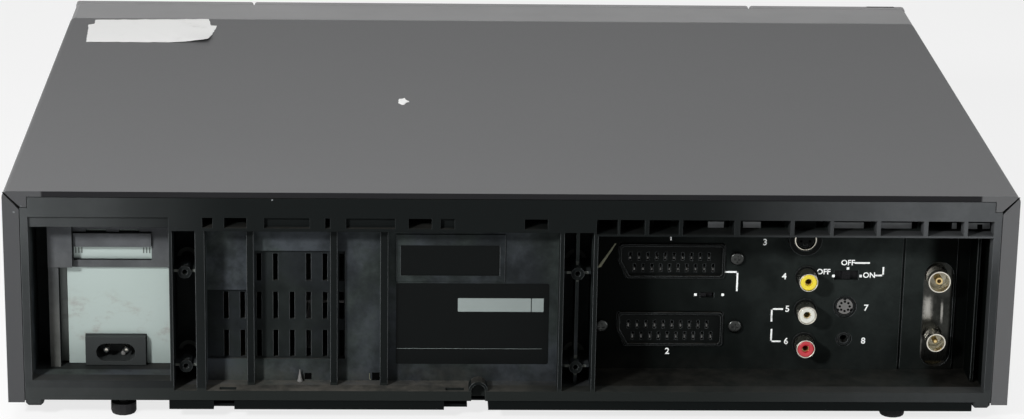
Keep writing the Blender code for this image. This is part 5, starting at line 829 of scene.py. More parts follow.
class Palette:
    """Every finish of the machine, by what it is on."""

    cover = CoverPaint("cover_paint")
    # The pan's lip colours are painted shade, as on the cover.
    pan = CoverPaint("base_pan_paint", colour=(0.010, 0.012, 0.013), rubbed=(0.04, 0.04, 0.04),
                     lip=(0.003, 0.004, 0.004), far_lip_shade=(0.004, 0.005, 0.005), shine=0.04)
    # Its edges take a painted highlight.
    back = BackPanelPlastic("back_panel_plastic", shine=0.02, dust=0.8, edge_highlight_share=1.0,
                            dust_colour=(0.085, 0.079, 0.069))
    fascia = MouldedPlastic("fascia_plastic", colour=(0.205, 0.205, 0.207), rough=0.40,
                            grain=2400.0, relief_share=0.08)
    keys = MouldedPlastic("key_plastic", colour=(0.040, 0.041, 0.043), rough=0.36,
                          relief_share=0.08, shine=0.2)
    # Its rims take a painted highlight.
    socket = MouldedPlastic("socket_plastic", colour=(0.0035, 0.0042, 0.0040), rough=0.34,
                            relief_share=0.08, dust=0.3, shine=0.04, edge_highlight_share=0.8)
    inlet = MouldedPlastic("inlet_plastic", colour=(0.027, 0.030, 0.030), rough=0.40,
                           relief_share=0.08, shine=0.12)
    lid_steel = PlatedMetal("lid_flange_steel", colour=(0.20, 0.21, 0.215),
                            dulled=(0.11, 0.115, 0.12), rough=0.34)
    rim = MouldedPlastic("pale_rub_mark", colour=(0.150, 0.152, 0.105), rough=0.6)
    knob = MouldedPlastic("knob_plastic", colour=(0.006, 0.006, 0.007), rough=0.38, shine=0.15)
    grey_core = MouldedPlastic("socket_core_plastic", colour=(0.130, 0.128, 0.124), rough=0.4)
    label = GlossPlastic("rating_label_film", colour=(0.0030, 0.0038, 0.0038), rough=0.34, coat=0.0,
                         shine=0.06)
    strip = GlossPlastic("number_strip_film", colour=(0.205, 0.240, 0.232), rough=0.42, coat=0.0)
    # Painted shade: a darkened plate colour for the shield's flange in shadow and for the pressed
    # lines.
    flange = PalePlate("shield_flange", colour=(0.075, 0.086, 0.080), stain=(0.03, 0.03, 0.03),
                       sheen=(0.095, 0.108, 0.102))
    rubber = SoftRubber("foot_rubber")
    zinc = StreakedTin("tuner_tin", colour=(0.045, 0.046, 0.042), dulled=(0.012, 0.013, 0.012),
                       rough=0.20, brush=(1.0, 1.0, 0.12), dull_share=0.9)
    pale = PalePlate("shield_plate")
    yellow = GlossPlastic("yellow_socket_ring", colour=(0.760, 0.600, 0.020))
    white = GlossPlastic("white_socket_ring", colour=(0.640, 0.640, 0.580))
    red = GlossPlastic("red_socket_ring", colour=(0.480, 0.020, 0.032))
    nickel = PlatedMetal("socket_nickel", colour=(0.72, 0.69, 0.60), rough=0.16, dull_share=0.3)
    brass = PlatedMetal("contact_brass", colour=(0.78, 0.60, 0.28), dulled=(0.42, 0.32, 0.16))
    tin = PlatedMetal("contact_tin", colour=(0.11, 0.11, 0.105), dulled=(0.03, 0.03, 0.029),
                      rough=0.30)
    screw = PlatedMetal("screw_black_zinc", colour=(0.048, 0.050, 0.048),
                        dulled=(0.014, 0.015, 0.015), rough=0.16, dull_share=0.9)
    smoked = SmokedWindow("smoked_window")
    board = CircuitBoard("phenolic_board")
    aluminium = PlatedMetal("turned_aluminium", colour=(0.78, 0.78, 0.79), rough=0.20,
                            brush=(0.2, 0.2, 8.0), dull_share=0.15)
    steel = PlatedMetal("pressed_steel", colour=(0.50, 0.50, 0.49), rough=0.30)
    paper = Paper("sticker_paper")
    ink = ScreenInk("legend_ink", colour=(0.88, 0.90, 0.89), thin=(0.50, 0.52, 0.51))
    key_ink = ScreenInk("key_ink", colour=(0.62, 0.63, 0.63), thin=(0.40, 0.41, 0.41))
    # Near black: painted shade for holes, and the colour of dark joint lines and a rub mark.
    dark = MouldedPlastic("deep_hole", colour=(0.0015, 0.0015, 0.0015), rough=0.8, shine=0.02)


class Form:
    """Gathers the faces of one piece, in metres, in the frame's own place."""

    def __init__(self, *finishes: Finish) -> None:
        """Starts empty, with the finishes that its faces can take."""
        self.finishes = finishes
        self.shape = bmesh.new()

    def _new_faces(self, known: int, slot: int) -> None:
        """Gives new faces their finish.

        Args:
            known: how many faces there were before them.
            slot: which finish they take.
        """
        self.shape.faces.ensure_lookup_table()
        for face in self.shape.faces[known:]:
            face.material_index = slot

    def block(self, low: Point, high: Point, edge: float = 0.0, slot: int = 0) -> None:
        """A box with rounded edges.

        Args:
            low: its lowest corner.
            high: its highest corner.
            edge: the radius of its edges.
            slot: which finish it takes.
        """
        known = len(self.shape.faces)
        middle = [(a + b) / 2 for a, b in zip(low, high)]
        size = [abs(b - a) for a, b in zip(low, high)]
        place = Matrix.Translation(middle) @ Matrix.Diagonal((*size, 1.0))
        made = bmesh.ops.create_cube(self.shape, size=1.0, matrix=place)
        if edge:
            edges = list({e for v in made["verts"] for e in v.link_edges})
            bmesh.ops.bevel(self.shape, geom=edges, offset=edge, segments=2, profile=0.6,
                            affect="EDGES", clamp_overlap=True)
        self._new_faces(known, slot)

    def lathe(self, profile: list[Flat], base: Point, sides: int = 40, slot: int = 0,
              axis: Point = SIDEWAYS) -> None:
        """A turned shape.

        Args:
            profile: (radius, height) pairs, closed on the axis or back at its start.
            base: where height 0 lies.
            sides: steps round the axis.
            slot: which finish it takes.
            axis: the direction of height.
        """
        known = len(self.shape.faces)
        turn = Vector((0, 0, 1)).rotation_difference(Vector(axis)).to_matrix().to_4x4()
        place = Matrix.Translation(base) @ turn
        loop = profile[0] == profile[-1]
        rings = []
        for radius, height in profile[:-1] if loop else profile:
            steps = 1 if radius == 0 else sides
            ring = []
            for index in range(steps):
                angle = 2 * math.pi * index / steps
                point = Vector((radius * math.cos(angle), radius * math.sin(angle), height))
                ring.append(self.shape.verts.new(place @ point))
            rings.append(ring)
        pairs = list(zip(rings, rings[1:] + ([rings[0]] if loop else [])))
        for first, second in pairs:
            for index in range(sides):
                after = (index + 1) % sides
                corners = [first[index % len(first)], first[after % len(first)],
                           second[after % len(second)], second[index % len(second)]]
                kept = list(dict.fromkeys(corners))
                if len(kept) > 2:
                    self.shape.faces.new(kept)
        self._new_faces(known, slot)

    def slab(self, outline: list[Flat], base: Point, thick: float,
             axis: str = "Y", slot: int = 0) -> None:
        """A flat plate of any outline.

        Args:
            outline: corners in the plate's plane, X and Z for a plate that faces Y.
            base: where the outline's zero lies, on the plate's lower side.
            thick: its thickness, towards the axis.
            axis: the way that it faces, Y or Z.
            slot: which finish it takes.
        """
        known = len(self.shape.faces)
        sides = []
        for level in (0.0, thick):
            ring = []
            for first, second in outline:
                point = (first, level, second) if axis == "Y" else (first, second, level)
                ring.append(self.shape.verts.new(Vector(point) + Vector(base)))
            sides.append(ring)
        self.shape.faces.new(sides[0])
        self.shape.faces.new(list(reversed(sides[1])))
        count = len(outline)
        for index in range(count):
            after = (index + 1) % count
            self.shape.faces.new((sides[0][index], sides[1][index], sides[1][after],
                                  sides[0][after]))
        self._new_faces(known, slot)

    def add_mesh(self, mesh: Mesh, slot: int = 0) -> None:
        """Takes in the faces of a mesh, which is then removed.

        Args:
            mesh: the mesh.
            slot: which finish its faces take.
        """
        known = len(self.shape.faces)
        self.shape.from_mesh(mesh)
        self._new_faces(known, slot)
        bpy.data.meshes.remove(mesh)

    def mesh(self, name: str, sharp: float = 32.0) -> Mesh:
        """Ends the gathering.

        Args:
            name: the mesh's name.
            sharp: edges steeper than this many degrees stay sharp.

        Returns:
            A mesh whose faces point outwards, with its finishes.
        """
        bmesh.ops.remove_doubles(self.shape, verts=self.shape.verts, dist=0.0005 * MM)
        bmesh.ops.recalc_face_normals(self.shape, faces=self.shape.faces)
        made = bpy.data.meshes.new(name)
        self.shape.to_mesh(made)
        self.shape.free()
        for finish in self.finishes:
            made.materials.append(finish.material())
        made.polygons.foreach_set("use_smooth", [True] * len(made.polygons))
        made.set_sharp_from_angle(angle=math.radians(sharp))
        return made

    def piece(self, name: str, body: str = CASING, replaces: tuple[str, ...] = ()) -> None:
        """Makes the piece and lets it ride.

        Args:
            name: the piece's name.
            body: the CAD body that it rides on.
            replaces: the CAD nodes that it stands for.
        """
        add_piece(name, self.mesh(name), body, replaces)


def add_piece(name: str, mesh: Mesh, body: str = CASING,
              replaces: tuple[str, ...] = ()) -> None:
    """Puts a finished mesh into the scene on its body.

    Args:
        name: the piece's name.
        mesh: its mesh, in place.
        body: the CAD body that it rides on.
        replaces: the CAD nodes that it stands for.
    """
    made = new_object(name, mesh)
    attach(made, body)
    if replaces:
        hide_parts(*replaces)
    LOG.info("%s rides on %s, %d faces", name, body, len(mesh.polygons))


def stand_in_for(mesh: Mesh) -> Object:
    """An object that only Geometry Nodes read, for the form or the places that they repeat."""
    return bpy.data.objects.new(mesh.name, mesh)


class Pattern(Tree):
    """A Geometry Nodes tree that repeats one form."""

    def __init__(self, name: str, form: Mesh, finish: Finish,
                 **inputs: tuple[str, object]) -> None:
        """Makes the tree.

        Args:
            name: the tree's name.
            form: what is repeated.
            finish: what it is made of.
            **inputs: socket type and value of each further input.
        """
        super().__init__(bpy.data.node_groups.new(name, "GeometryNodeTree"))
        self.finish = finish
        self.inputs = {"Form": ("Object", stand_in_for(form)), **inputs}
        face = self.group.interface
        face.new_socket("Geometry", in_out="OUTPUT", socket_type="NodeSocketGeometry")
        for label, (kind, _value) in self.inputs.items():
            face.new_socket(label, in_out="INPUT", socket_type=f"NodeSocket{kind}")
        self.start = self.group.nodes.new("NodeGroupInput")
        self.end = self.group.nodes.new("NodeGroupOutput")

    def given(self, label: str) -> NodeSocket:
        """The socket of a named input."""
        return self.start.outputs[label]

    def shape(self, label: str) -> NodeSocket:
        """The geometry of an object input."""
        info = self.node("GeometryNodeObjectInfo", {}, {"Object": self.given(label)})
        return info.outputs["Geometry"]

    def vector(self, **parts: NodeSocket) -> NodeSocket:
        """A vector from the sockets of its parts."""
        return self.node("ShaderNodeCombineXYZ", {}, parts).outputs[0]

    def copies(self, points: NodeSocket, instance: NodeSocket,
               **sockets: NodeSocket) -> NodeSocket:
        """One instance at each point."""
        values = {"Points": points, "Instance": instance, **sockets}
        return self.node("GeometryNodeInstanceOnPoints", {}, values).outputs[0]

    def result(self, geometry: NodeSocket) -> Mesh:
        """Ends the tree, runs it and returns a plain mesh.

        Args:
            geometry: the instances.

        Returns:
            The mesh, with no modifier left.
        """
        real = self.node("GeometryNodeRealizeInstances", {}, {"Geometry": geometry})
        sockets = {"Geometry": real.outputs[0], "Material": self.finish.material()}
        dressed = self.node("GeometryNodeSetMaterial", {}, sockets)
        self.feed(self.end.inputs["Geometry"], dressed.outputs[0])
        name = self.group.name
        carrier = new_object(name, bpy.data.meshes.new(name))
        modifier = carrier.modifiers.new(name, "NODES")
        modifier.node_group = self.group
        for item in self.group.interface.items_tree:
            if item.in_out == "INPUT":
                modifier[item.identifier] = self.inputs[item.name][1]
        made = applied(carrier)
        carrier.modifiers.clear()
        bpy.data.objects.remove(carrier)
        for kind, value in self.inputs.values():
            if kind == "Object":
                bpy.data.objects.remove(value)
        return made


def placed(mesh: Mesh, place: Matrix) -> Mesh:
    """The mesh, moved by a matrix."""
    mesh.transform(place)
    return mesh


def repeat_at(name: str, form: Mesh, finish: Finish, pitch: float, count: int,
              rows: int = 1, row_pitch: float = 0.0, row_shift: float = 0.0) -> Mesh:
    """Rows of one form along X, the rows above each other along Z.

    Args:
        name: the pattern's name.
        form: what is repeated.
        finish: its finish.
        pitch: the step along a row.
        count: how many in a row.
        rows: how many rows.
        row_pitch: the step up to the next row.
        row_shift: how far along X each row is moved from the last.

    Returns:
        The mesh, with its first form at zero.
    """
    tree = Pattern(name, form, finish, Pitch=("Float", pitch), Count=("Int", count),
                   Rows=("Int", rows), Rise=("Float", row_pitch), Shift=("Float", row_shift))
    step = tree.vector(X=tree.given("Pitch"))
    line = tree.node("GeometryNodeMeshLine", {}, {"Count": tree.given("Count"), "Offset": step})
    climb = tree.vector(X=tree.given("Shift"), Z=tree.given("Rise"))
    stack = tree.node("GeometryNodeMeshLine", {}, {"Count": tree.given("Rows"), "Offset": climb})
    row = tree.copies(line.outputs[0], tree.shape("Form"))
    return tree.result(tree.copies(stack.outputs[0], row))


def repeat_round(name: str, form: Mesh, finish: Finish, radius: float,
                 count: int) -> Mesh:
    """One form repeated round a circle in the XY plane, turned to face outwards.

    Args:
        name: the pattern's name.
        form: what is repeated, standing at zero and facing +X.
        finish: its finish.
        radius: the circle's radius.
        count: how many.

    Returns:
        The mesh, centred on zero.
    """
    tree = Pattern(name, form, finish, Radius=("Float", radius), Count=("Int", count),
                   Step=("Float", 2 * math.pi / count))
    ring = tree.node("GeometryNodeMeshCircle", {},
                     {"Vertices": tree.given("Count"), "Radius": tree.given("Radius")})
    index = tree.node("GeometryNodeInputIndex", {}, {})
    angle = tree.node("ShaderNodeMath", {"operation": "MULTIPLY"},
                      {0: index.outputs[0], 1: tree.given("Step")})
    turn = tree.vector(Z=angle.outputs[0])
    return tree.result(tree.copies(ring.outputs[0], tree.shape("Form"), Rotation=turn))


def repeat_on(name: str, form: Mesh, finish: Finish,
              places: list[Point]) -> Mesh:
    """One form at each of some places.

    Args:
        name: the pattern's name.
        form: what is repeated.
        finish: its finish.
        places: where each copy stands.

    Returns:
        The mesh, in place.
    """
    points = bpy.data.meshes.new(f"{name}_places")
    points.from_pydata([tuple(place) for place in places], [], [])
    tree = Pattern(name, form, finish, Places=("Object", stand_in_for(points)))
    return tree.result(tree.copies(tree.shape("Places"), tree.shape("Form")))


def box_of(node: str) -> tuple[Vector, Vector, Vector]:
    """The low corner, the high corner and the middle of a CAD node's box."""
    low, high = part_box(node)
    return low, high, (low + high) / 2


def arc(radius: float, start: float, end: float, steps: int,
        centre: Flat = (0.0, 0.0)) -> list[Flat]:
    """Points on a circle.

    Args:
        radius: its radius.
        start: the first angle, in degrees.
        end: the last angle.
        steps: how many steps lie between them.
        centre: its middle.

    Returns:
        The points.
    """
    made = []
    for index in range(steps + 1):
        angle = math.radians(start + (end - start) * index / steps)
        made.append((centre[0] + radius * math.cos(angle), centre[1] + radius * math.sin(angle)))
    return made


def cross_head(radius: float, rise: float, seat: float, reach: float) -> Mesh:
    """A pan head with a cross recess, facing +Y from zero.

    Args:
        radius: the head's radius.
        rise: its height.
        seat: how deep the recess goes.
        reach: the half length of each slot of the cross.

    Returns:
        The mesh.
    """
    head = Form(Palette.screw)
    dome = [(0, rise)]
    dome += [(radius * share, rise * (1 - 0.34 * share ** 3)) for share in (0.3, 0.55, 0.75, 0.9)]
    dome += [(radius, rise * 0.52), (radius, 0), (0, 0)]
    head.lathe(dome, (0, 0, 0), 28)
    cutter = Form(Palette.screw)
    half = reach * 0.24
    outline = [(half, half), (half, reach), (-half, reach), (-half, half), (-reach, half),
               (-reach, -half), (-half, -half), (-half, -reach), (half, -reach), (half, -half),
               (reach, -half), (reach, half)]
    cutter.slab(outline, (0, rise - seat, 0), seat * 2)
    body = new_object("screw_body", head.mesh("screw_body"))
    tool = new_object("screw_cross", cutter.mesh("screw_cross"))
    boolean = body.modifiers.new("cross", "BOOLEAN")
    boolean.operation = "DIFFERENCE"
    boolean.solver = "EXACT"
    boolean.object = tool
    made = applied(body)
    made.name = "cross_head"
    for thing in (body, tool):
        bpy.data.objects.remove(thing)
    return made


def lettering(text: str, size: float, finish: Finish, place: Matrix) -> Mesh:
    """Thin printed characters, centred on a place.

    Args:
        text: plain numbers, or ON and OFF.
        size: the height of the type.
        finish: the ink.
        place: where it goes, its Z the way that it faces.

    Returns:
        The mesh, in place.
    """
    curve = bpy.data.curves.new(f"text_{text}", "FONT")
    curve.body = text
    curve.size = size
    curve.align_x, curve.align_y = "CENTER", "CENTER"
    curve.extrude = SHEET / 2
    curve.offset = size * 0.018
    curve.resolution_u = 3
    carrier = new_object("text", curve)
    made = applied(carrier)
    made.materials.clear()
    made.materials.append(finish.material())
    made.transform(place)
    bpy.data.objects.remove(carrier)
    return made


def wobbly_ring(steps: int, least: float, reach: float, stretch: float = 1.0) -> list[Flat]:
    """A ragged spot, its corners at random reaches.

    Args:
        steps: how many corners.
        least: the smallest share of the reach.
        reach: how far the corners can lie from the middle.
        stretch: the spot's second side by its first.

    Returns:
        The outline round zero.
    """
    made = []
    for index in range(steps):
        angle = 2 * math.pi * index / steps
        away = reach * random.uniform(least, 1.0)
        made.append((away * math.cos(angle), stretch * away * math.sin(angle)))
    return made


@dataclass
class CoverTop:
    """What is on the steel cover: a torn sticker, a chip, nicks, mitre gaps and side screws."""

    half_width: float = 215.0 * MM
    top: float = 103.1 * MM
    rear: float = 166.15 * MM
    chip_place: Flat = (46.6 * MM, 24.6 * MM)
    chip_radius: float = 3.1 * MM
    chip_stretch: float = 1.9
    sticker: tuple[Flat, ...] = (
        (202.5, -80.95), (204.4, -114.85), (201.6, -116.55), (201.8, -124.75),
        (144.8, -127.8), (143.1, -115.05), (140.0, -114.15), (142.6, -81.65))
    sticker_rings: int = 7
    tear_step: float = 2.2 * MM
    tear_depth: float = 0.22
    raised_corner: Flat = (142.6 * MM, -81.7 * MM)
    raised_reach: float = 22.0 * MM
    nicks: tuple[Point, ...] = ((101.8, 99.8, 0.45), (210.1, 93.9, 0.55), (207.0, 96.6, 0.25))
    mitre_outer: Flat = (214.6, 102.7)
    mitre_inner: Flat = (207.7, 95.9)
    mitre_gap: float = 0.8
    plate_mark: Box = (-209.8 * MM, -165.3 * MM, -195.5 * MM, -163.6 * MM)
    screw_ys: Flat = (70.0 * MM, -70.0 * MM)
    screw_height: float = 20.0 * MM
    screw_radius: float = 4.6 * MM
    screw_seat: float = 1.5 * MM

    def build(self) -> None:
        """Adds the sticker, the chip, the nicks, the mitre gaps, the rub mark and the screws."""
        self.build_sticker()
        self.build_chip()
        self.build_nicks()
        self.build_mitres()
        self.build_plate_mark()
        self.build_screws()

    def torn_edge(self) -> list[Flat]:
        """Tears the sticker's edges in short steps that jog in and out.

        Returns:
            The outline.
        """
        random.seed(7)
        corners = [(x * MM, y * MM) for x, y in self.sticker]
        ring = []
        for (ax, ay), (bx, by) in zip(corners, corners[1:] + corners[:1]):
            length = math.hypot(bx - ax, by - ay)
            nx, ny = (ay - by) / length, (bx - ax) / length
            count = max(2, int(length / self.tear_step))
            for index in range(count):
                share = index / count
                jog = random.uniform(-self.tear_depth, self.tear_depth) * MM if index else 0.0
                ring.append((ax + (bx - ax) * share + nx * jog, ay + (by - ay) * share + ny * jog))
        return ring

    def build_sticker(self) -> None:
        """A bare paper label with torn edges and one raised corner."""
        ring = self.torn_edge()
        count = len(ring)
        middle = (sum(x for x, _ in ring) / count, sum(y for _, y in ring) / count)
        sheet = Form(Palette.paper)
        point, face = sheet.shape.verts.new, sheet.shape.faces.new
        layers = []
        for level in (0.0, 1.0):
            rows = []
            for step in range(1, self.sticker_rings + 1):
                share = step / self.sticker_rings
                row = []
                for x, y in ring:
                    px = middle[0] + (x - middle[0]) * share
                    py = middle[1] + (y - middle[1]) * share
                    row.append(point((px, py, self.lift(px, py, level))))
                rows.append(row)
            layers.append((point((*middle, self.lift(*middle, level))), rows))
        for hub, rows in layers:
            for index in range(count):
                after = (index + 1) % count
                face((hub, rows[0][index], rows[0][after]))
                for inner, outer in zip(rows, rows[1:]):
                    face((inner[index], outer[index], outer[after], inner[after]))
        lower, upper = layers[0][1][-1], layers[1][1][-1]
        for index in range(count):
            after = (index + 1) % count
            face((lower[index], upper[index], upper[after], lower[after]))
        sheet.piece("cover_sticker")

    def lift(self, x: float, y: float, level: float) -> float:
        """Height of the sticker's under side or face.

        Args:
            x: the place across the cover.
            y: the place along it.
            level: 0 for the under side, 1 for the face.

        Returns:
            The height.
        """
        away = math.hypot(x - self.raised_corner[0], y - self.raised_corner[1])
        corner = max(0.0, 1.0 - away / self.raised_reach)
        wave = 0.5 + 0.5 * math.sin(x * 620.0 + y * 410.0)
        return self.top + SHEET * (1 + 2 * level) + 2.0 * MM * corner ** 2 + 0.08 * MM * wave

    def build_chip(self) -> None:
        """A fleck of pale paint or paper stuck to the cover."""
        fleck = Form(Palette.paper)
        random.seed(3)
        outline = wobbly_ring(14, 0.55, self.chip_radius, self.chip_stretch)
        fleck.slab(outline, (*self.chip_place, self.top + SHEET), 7 * SHEET, "Z")
        fleck.piece("cover_fleck")

    def build_nicks(self) -> None:
        """Small nicks that show bare metal on the top bar and the left corner."""
        marks = Form(Palette.lid_steel)
        random.seed(5)
        for x, z, radius in self.nicks:
            outline = [(x * MM + dx * MM, z * MM + dz * MM)
                       for dx, dz in wobbly_ring(9, 0.6, radius)]
            marks.slab(outline, (0.0, self.rear + SHEET / 4, 0.0), SHEET / 2)
        marks.piece("paint_nicks")

    def build_mitres(self) -> None:
        """The open mitre joints, dark lines across both folded corners."""
        gaps = Form(Palette.dark)
        (ax, az), (bx, bz) = self.mitre_outer, self.mitre_inner
        length = math.hypot(ax - bx, az - bz)
        nx, nz = (az - bz) / length, (bx - ax) / length
        half = self.mitre_gap / 2
        for side in (-1, 1):
            outline = [(ax + nx * half * 0.6, az + nz * half * 0.6),
                       (ax - nx * half * 0.6, az - nz * half * 0.6),
                       (bx - nx * half, bz - nz * half), (bx + nx * half, bz + nz * half)]
            gaps.slab([(side * x * MM, z * MM) for x, z in outline],
                      (0.0, self.rear + SHEET / 8, 0.0), SHEET / 4)
        gaps.piece("mitre_gaps")

    def build_plate_mark(self) -> None:
        """A dark rub mark on top of the right face plate."""
        _low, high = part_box("right_face_plate")
        left, front, right, back = self.plate_mark
        mark = Form(Palette.dark)
        mark.block((left, front, high.z + SHEET / 4), (right, back, high.z + SHEET / 2))
        mark.piece("face_plate_mark")

    def build_screws(self) -> None:
        """Two screws through each side of the cover."""
        for side, name in ((1, "left"), (-1, "right")):
            head = cross_head(self.screw_radius, 1.6 * MM, 0.9 * MM, 2.3 * MM)
            places = [(y * side, 0.0, self.screw_height) for y in self.screw_ys]
            made = repeat_on(f"{name}_cover_screws", head, Palette.screw, places)
            turn = Matrix.Rotation(-side * math.pi / 2, 4, "Z")
            inward = self.half_width - self.screw_seat
            placed(made, Matrix.Translation((side * inward, 0, 0)) @ turn)
            add_piece(f"{name}_cover_screws", made)


class SocketUse(Enum):
    """The uses of the phono sockets, by their CAD nodes."""

    PICTURE = "video_out_socket"
    LEFT = "left_audio_socket"
    RIGHT = "right_audio_socket"


@dataclass
class PhonoSocket:
    """A phono socket: base, nickel barrel, coloured insulator and spring contact."""

    use: SocketUse
    barrel: float = 4.15 * MM
    wall: float = 0.55 * MM
    bore: float = 1.6 * MM
    flange: float = 5.2 * MM
    flange_thick: float = 0.8 * MM
    rim: float = 0.18 * MM
    edge: float = 0.35 * MM
    sunk: float = 0.25 * MM
    depth: float = 7.5 * MM

    def finish(self) -> Finish:
        """Finds the insulator's colour.

        Returns:
            Its finish.
        """
        colours = {SocketUse.PICTURE: Palette.yellow, SocketUse.LEFT: Palette.white,
                   SocketUse.RIGHT: Palette.red}
        return colours[self.use]

    def build(self, wall_y: float) -> None:
        """Replaces the plain solid of the CAD.

        Args:
            wall_y: the face of the wall that the flange stands on.
        """
        node = self.use.value
        low, high, centre = box_of(node)
        base = (centre.x, 0.0, centre.z)
        form = Form(self.finish(), Palette.nickel, Palette.socket, Palette.brass)
        self.turn_barrel(form, base, high.y, wall_y)
        self.turn_insulator(form, base, high.y - self.sunk)
        self.turn_collar(form, base, low.y, wall_y)
        form.piece(f"{node}_detail", replaces=(node,))

    def turn_barrel(self, form: Form, base: Point, front: float, wall_y: float) -> None:
        """The plated barrel, from a groove at the flange to its rounded mouth.

        Args:
            form: the piece.
            base: the socket's middle.
            front: its mouth.
            wall_y: the face of the wall.
        """
        rim, outer = self.rim, self.barrel
        inner = outer - self.wall
        foot = wall_y + self.flange_thick
        form.lathe([(inner, front - 1.2 * MM), (inner, front - rim), (inner + rim, front),
                    (outer - rim, front), (outer, front - rim), (outer, foot + 0.3 * MM),
                    (outer - 0.2 * MM, foot + 0.1 * MM), (outer - 0.2 * MM, front - 1.2 * MM),
                    (inner, front - 1.2 * MM)], base, 48, 1)

    def turn_insulator(self, form: Form, base: Point, face: float) -> None:
        """The coloured ring in the mouth, with the spring leaf in its bore.

        Args:
            form: the piece.
            base: the socket's middle.
            face: the ring's face.
        """
        bore, edge = self.bore, self.edge
        inner = self.barrel - self.wall
        form.lathe([(bore, face - self.depth), (bore, face - edge),
                    (bore + edge * 0.3, face - edge * 0.3), (bore + edge, face),
                    (inner - edge, face), (inner - 0.05 * MM, face - edge * 0.6),
                    (inner - 0.05 * MM, face - 2 * MM), (bore + 0.4 * MM, face - 2 * MM),
                    (bore + 0.4 * MM, face - self.depth), (bore, face - self.depth)], base, 48)
        form.lathe([(bore * 0.9, face - 5 * MM), (bore * 0.7, face - 2.2 * MM),
                    (bore * 0.85, face - 1.6 * MM), (bore * 0.97, face - 1.6 * MM),
                    (bore * 0.97, face - 5 * MM), (bore * 0.9, face - 5 * MM)], base, 16, 3)

    def turn_collar(self, form: Form, base: Point, back: float, wall_y: float) -> None:
        """The black flange on the wall and the neck behind it.

        Args:
            form: the piece.
            base: the socket's middle.
            back: where the neck ends.
            wall_y: the face of the wall.
        """
        bore, flange = self.bore, self.flange
        top = wall_y + self.flange_thick
        form.lathe([(0, wall_y + 0.1 * MM), (flange - 0.3 * MM, wall_y + 0.1 * MM),
                    (flange, wall_y + 0.3 * MM), (flange, top - 0.2 * MM),
                    (flange - 0.2 * MM, top), (bore + 0.2 * MM, top), (bore, wall_y + MM),
                    (0, wall_y + MM)], base, 40, 2)
        form.lathe([(0, back), (flange - 0.9 * MM, back), (flange - 0.9 * MM, wall_y - MM),
                    (0, wall_y - MM)], base, 24, 2)


